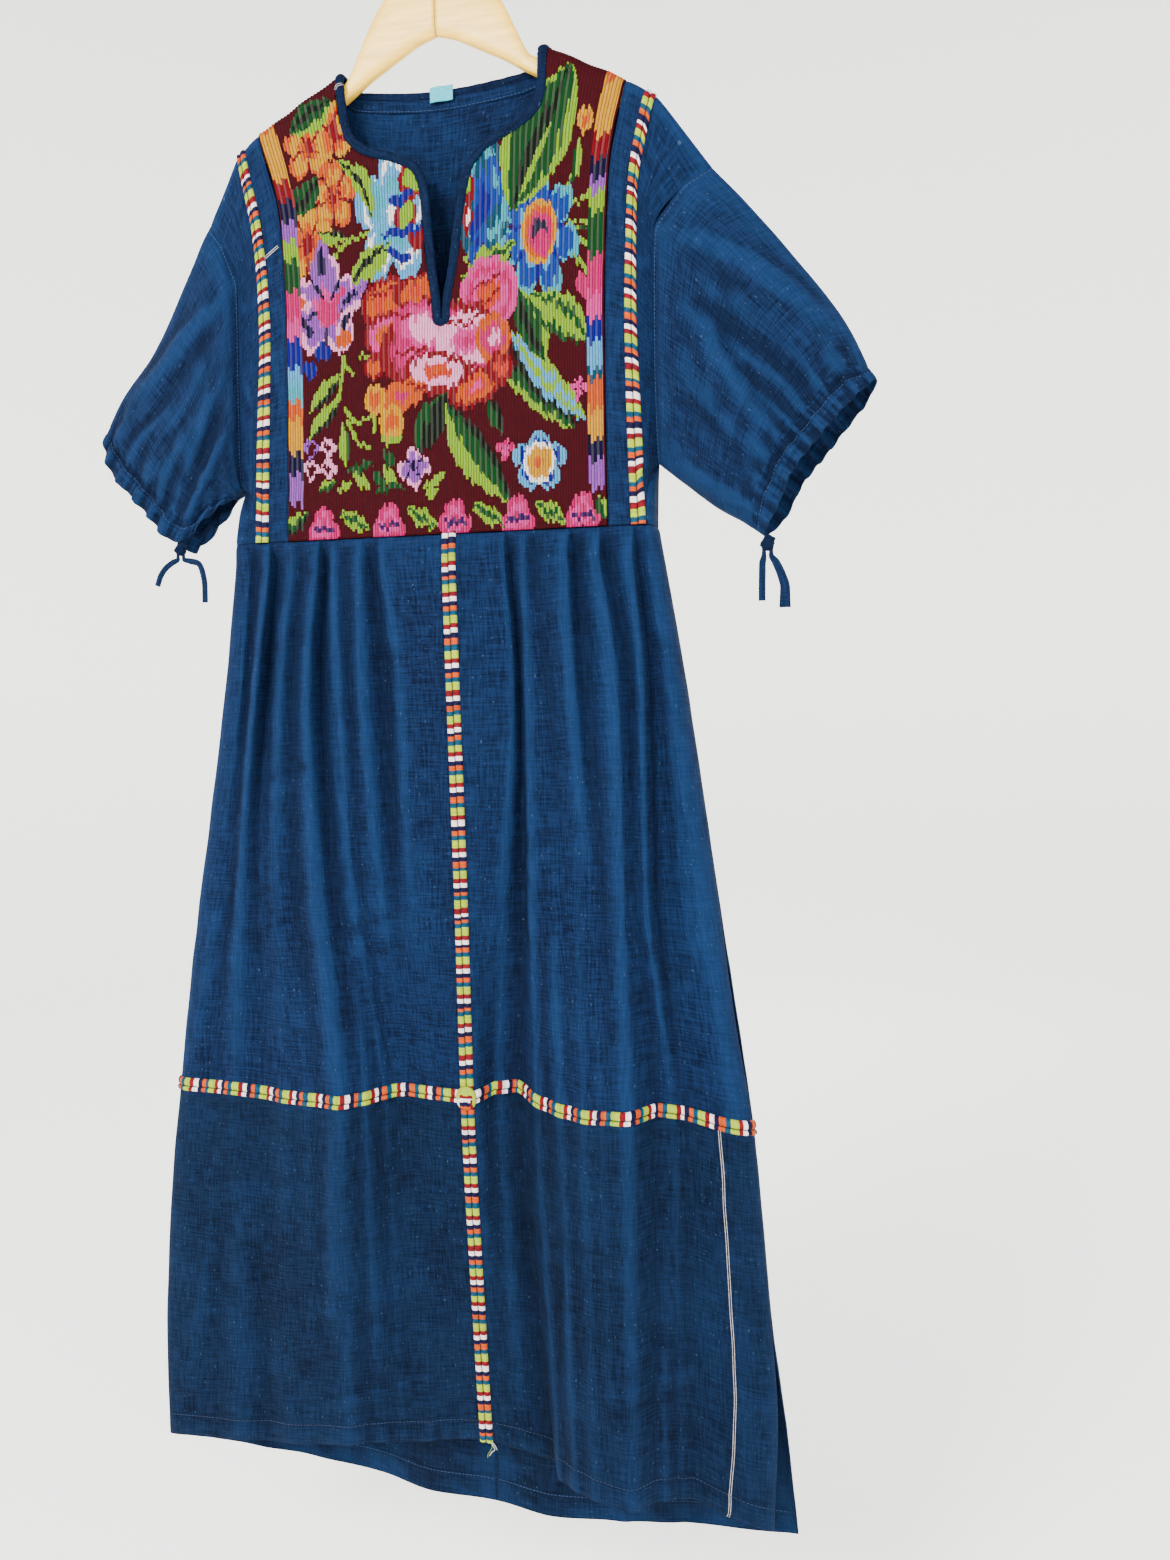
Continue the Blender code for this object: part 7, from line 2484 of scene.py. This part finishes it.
def floor_bowl(look):
    """One pale sweep that is floor and background at once."""
    profile = [(0.0, 0.0), (BOWL_RADIUS - BOWL_BEND, 0.0)]
    profile += [
        (BOWL_RADIUS - BOWL_BEND + BOWL_BEND * math.sin(a), BOWL_BEND - BOWL_BEND * math.cos(a))
        for a in np.radians(np.linspace(7.5, 90, 12))
    ]
    profile.append((BOWL_RADIUS, BOWL_HEIGHT))
    shape = spun([(out, FLOOR_Z + up) for out, up in profile], 96)
    bmesh.ops.recalc_face_normals(shape, faces=shape.faces)
    bmesh.ops.reverse_faces(shape, faces=shape.faces)
    mesh = mesh_from(shape, "floor")
    mesh.shade_smooth()
    mesh.materials.append(floor_material(look))
    return in_scene("floor", mesh)


def lamp(row, look):
    light = bpy.data.lights.new(row.name, "AREA")
    light.size = row.size
    light.energy = row.watts * look.brightness
    lamp_object = in_scene(row.name, light)
    lamp_object.location = row.place
    way = Vector(row.aim) - Vector(row.place)
    lamp_object.rotation_euler = way.to_track_quat("-Z", "Y").to_euler()
    return lamp_object


def camera():
    data = bpy.data.cameras.new("camera")
    data.lens = CAMERA_LENS
    data.sensor_width = SENSOR_WIDTH
    placed = in_scene("camera", data)
    forward, right = Vector(CAMERA_FORWARD), Vector(CAMERA_RIGHT)
    up = right.cross(forward)
    right = forward.cross(up)
    matrix = Matrix((right, up, -forward)).transposed().to_4x4()
    matrix.translation = Vector(CAMERA_PLACE)
    placed.matrix_world = matrix
    bpy.context.scene.camera = placed


def stage_set(look):
    world = bpy.data.worlds.new("studio")
    world.use_nodes = True
    background = world.node_tree.nodes["Background"]
    background.inputs["Color"].default_value = rgba(look.sky)
    background.inputs["Strength"].default_value = look.sky_strength
    bpy.context.scene.world = world
    floor_bowl(look)
    [lamp(row, look) for row in LAMPS]
    camera()


# Add-on

def colour(name, description, red, green, blue):
    return FloatVectorProperty(
        name=name, description=description, default=byte_colour(red, green, blue)[:3], size=3,
        subtype="COLOR", min=0.0, max=1.0,
    )


def amount(name, description, default, **limits):
    return FloatProperty(name=name, description=description, default=default, min=0.0, **limits)


class ClothLook(bpy.types.PropertyGroup):
    """Colours and sizes of the dress's cloth and threads."""

    indigo: colour("Indigo", "Colour of the plain cloth", 7, 20, 44)
    lower: colour("Lower indigo", "Colour of the lower tier and the skirt's back", 5, 16, 35)
    sleeve: colour("Sleeve blue", "Colour of the sleeves and ties", 8, 20, 43)
    # Also the colour towards which ridges are painted paler, partly as wear and partly as painted highlight
    faded: colour("Faded blue", "Colour of worn ridges", 20, 50, 88)
    speck: colour("Specks", "Colour of the pale slubs", 66, 92, 120)
    # Used only, at a quarter of its strength, as the painted shade in the valleys between the panel's ribs
    ground: colour("Brocade ground", "Colour of the panel between its figures", 40, 3, 8)
    shadow: colour("Shadow", "Colour between wrapped threads", 8, 10, 24)
    tape: colour("Turquoise", "Colour of the tape inside the neck", 34, 150, 165)
    # Strength of the ridges' paling: partly wear, partly painted highlight
    wear: amount("Wear", "How pale the ridges are", 0.3, max=1.0)
    # Strength of the painted shade between the panel's ribs
    valley: amount("Valleys", "How dark the panel is between ribs", 0.8, max=1.0)
    pale_share: amount("Pale ribs", "How pale every second rib is in the figures", 0.035, max=1.0)
    depth: amount("Depth", "How light the coloured threads are", 0.9, max=1.0)
    tie_width: FloatProperty(
        name="Tie width", description="Width of the drawstring's flat ends", default=0.0055, min=0.001,
        max=0.012, unit="LENGTH",
    )


class HangerLook(bpy.types.PropertyGroup):
    """Colours of the hanger."""

    wood: colour("Wood", "Colour of the arms", 247, 195, 52)
    wire: colour("Wire", "Colour of the hook", 205, 205, 208)


class StageLook(bpy.types.PropertyGroup):
    """Floor and light round the dress."""

    floor: colour("Floor", "Colour of the floor and background", 250, 249, 246)
    sky: colour("Sky", "Colour of the soft light from all sides", 232, 238, 250)
    sky_strength: amount("Sky strength", "Strength of the light from all sides", 0.7)
    brightness: amount("Brightness", "Factor on all lamps", 1.9)
    floor_glow: amount("Floor glow", "Light that the floor and background give off", 0.5)


LOOKS = {"dress_cloth": ClothLook, "dress_hanger": HangerLook, "dress_stage": StageLook}


class MakeHanger(bpy.types.Operator):
    """Make the wooden arms and the wire hook."""

    bl_idname = "dress.make_hanger"
    bl_label = "Hanger"

    def execute(self, context):
        look = context.scene.dress_hanger
        for side in SIDES:
            wooden_arm(side, look)
        wire_hook(look)
        return {"FINISHED"}


class MakePanel(bpy.types.Operator):
    """Weave the floral panel."""

    bl_idname = "dress.make_panel"
    bl_label = "Floral panel"

    def execute(self, context):
        brocade_panel(context.scene.dress_cloth)
        return {"FINISHED"}


class MakeYoke(bpy.types.Operator):
    """Cut the strips, the bodice sides and the back."""

    bl_idname = "dress.make_yoke"
    bl_label = "Yoke and back"

    def execute(self, context):
        plain_yoke(context.scene.dress_cloth)
        return {"FINISHED"}


class MakeNeck(bpy.types.Operator):
    """Roll the neck binding and fold the tab inside it."""

    bl_idname = "dress.make_neck"
    bl_label = "Neck"

    def execute(self, context):
        look = context.scene.dress_cloth
        neck_roll(look)
        neck_turning(look)
        tape_tab(look)
        short_lines()
        return {"FINISHED"}


class MakeSkirt(bpy.types.Operator):
    """Hang the skirt's tiers and its back."""

    bl_idname = "dress.make_skirt"
    bl_label = "Skirt"

    def execute(self, context):
        skirt_cloth(context.scene.dress_cloth)
        return {"FINISHED"}


class MakeTrims(bpy.types.Operator):
    """Wrap the randa trims."""

    bl_idname = "dress.make_trims"
    bl_label = "Randa trims"

    def execute(self, context):
        look = context.scene.dress_cloth
        yoke_randas(look)
        skirt_randas(look)
        crossing_knot(look)
        loose_ends()
        return {"FINISHED"}


class MakeSleeves(bpy.types.Operator):
    """Gather the sleeves into their cuffs and tie them."""

    bl_idname = "dress.make_sleeves"
    bl_label = "Sleeves and ties"

    def execute(self, context):
        look = context.scene.dress_cloth
        sleeve_cloth(look)
        ties(look)
        return {"FINISHED"}


class MakeStage(bpy.types.Operator):
    """Set the floor, the lights and the camera."""

    bl_idname = "dress.make_stage"
    bl_label = "Stage"

    def execute(self, context):
        stage_set(context.scene.dress_stage)
        return {"FINISHED"}


STEPS = (MakeHanger, MakePanel, MakeYoke, MakeNeck, MakeSkirt, MakeTrims, MakeSleeves, MakeStage)


class DressPanel(bpy.types.Panel):
    """The steps of the dress in the sidebar."""

    bl_idname = "VIEW3D_PT_dress"
    bl_label = "Embroidered dress"
    bl_space_type = "VIEW_3D"
    bl_region_type = "UI"
    bl_category = "Dress"

    def draw(self, context):
        for step in STEPS:
            self.layout.operator(step.bl_idname)
        for name, group in LOOKS.items():
            look = getattr(context.scene, name)
            for key in group.__annotations__:
                self.layout.prop(look, key)


def register():
    for group in LOOKS.values():
        bpy.utils.register_class(group)
    for step in STEPS:
        bpy.utils.register_class(step)
    bpy.utils.register_class(DressPanel)
    for name, group in LOOKS.items():
        setattr(bpy.types.Scene, name, PointerProperty(type=group))


def unregister():
    for name in LOOKS:
        delattr(bpy.types.Scene, name)
    bpy.utils.unregister_class(DressPanel)
    for step in reversed(STEPS):
        bpy.utils.unregister_class(step)
    for group in reversed(list(LOOKS.values())):
        bpy.utils.unregister_class(group)


def main():
    register()
    bpy.ops.dress.make_hanger()
    bpy.ops.dress.make_panel()
    bpy.ops.dress.make_yoke()
    bpy.ops.dress.make_neck()
    bpy.ops.dress.make_skirt()
    bpy.ops.dress.make_trims()
    bpy.ops.dress.make_sleeves()
    bpy.ops.dress.make_stage()


if __name__ == "__main__":
    main()
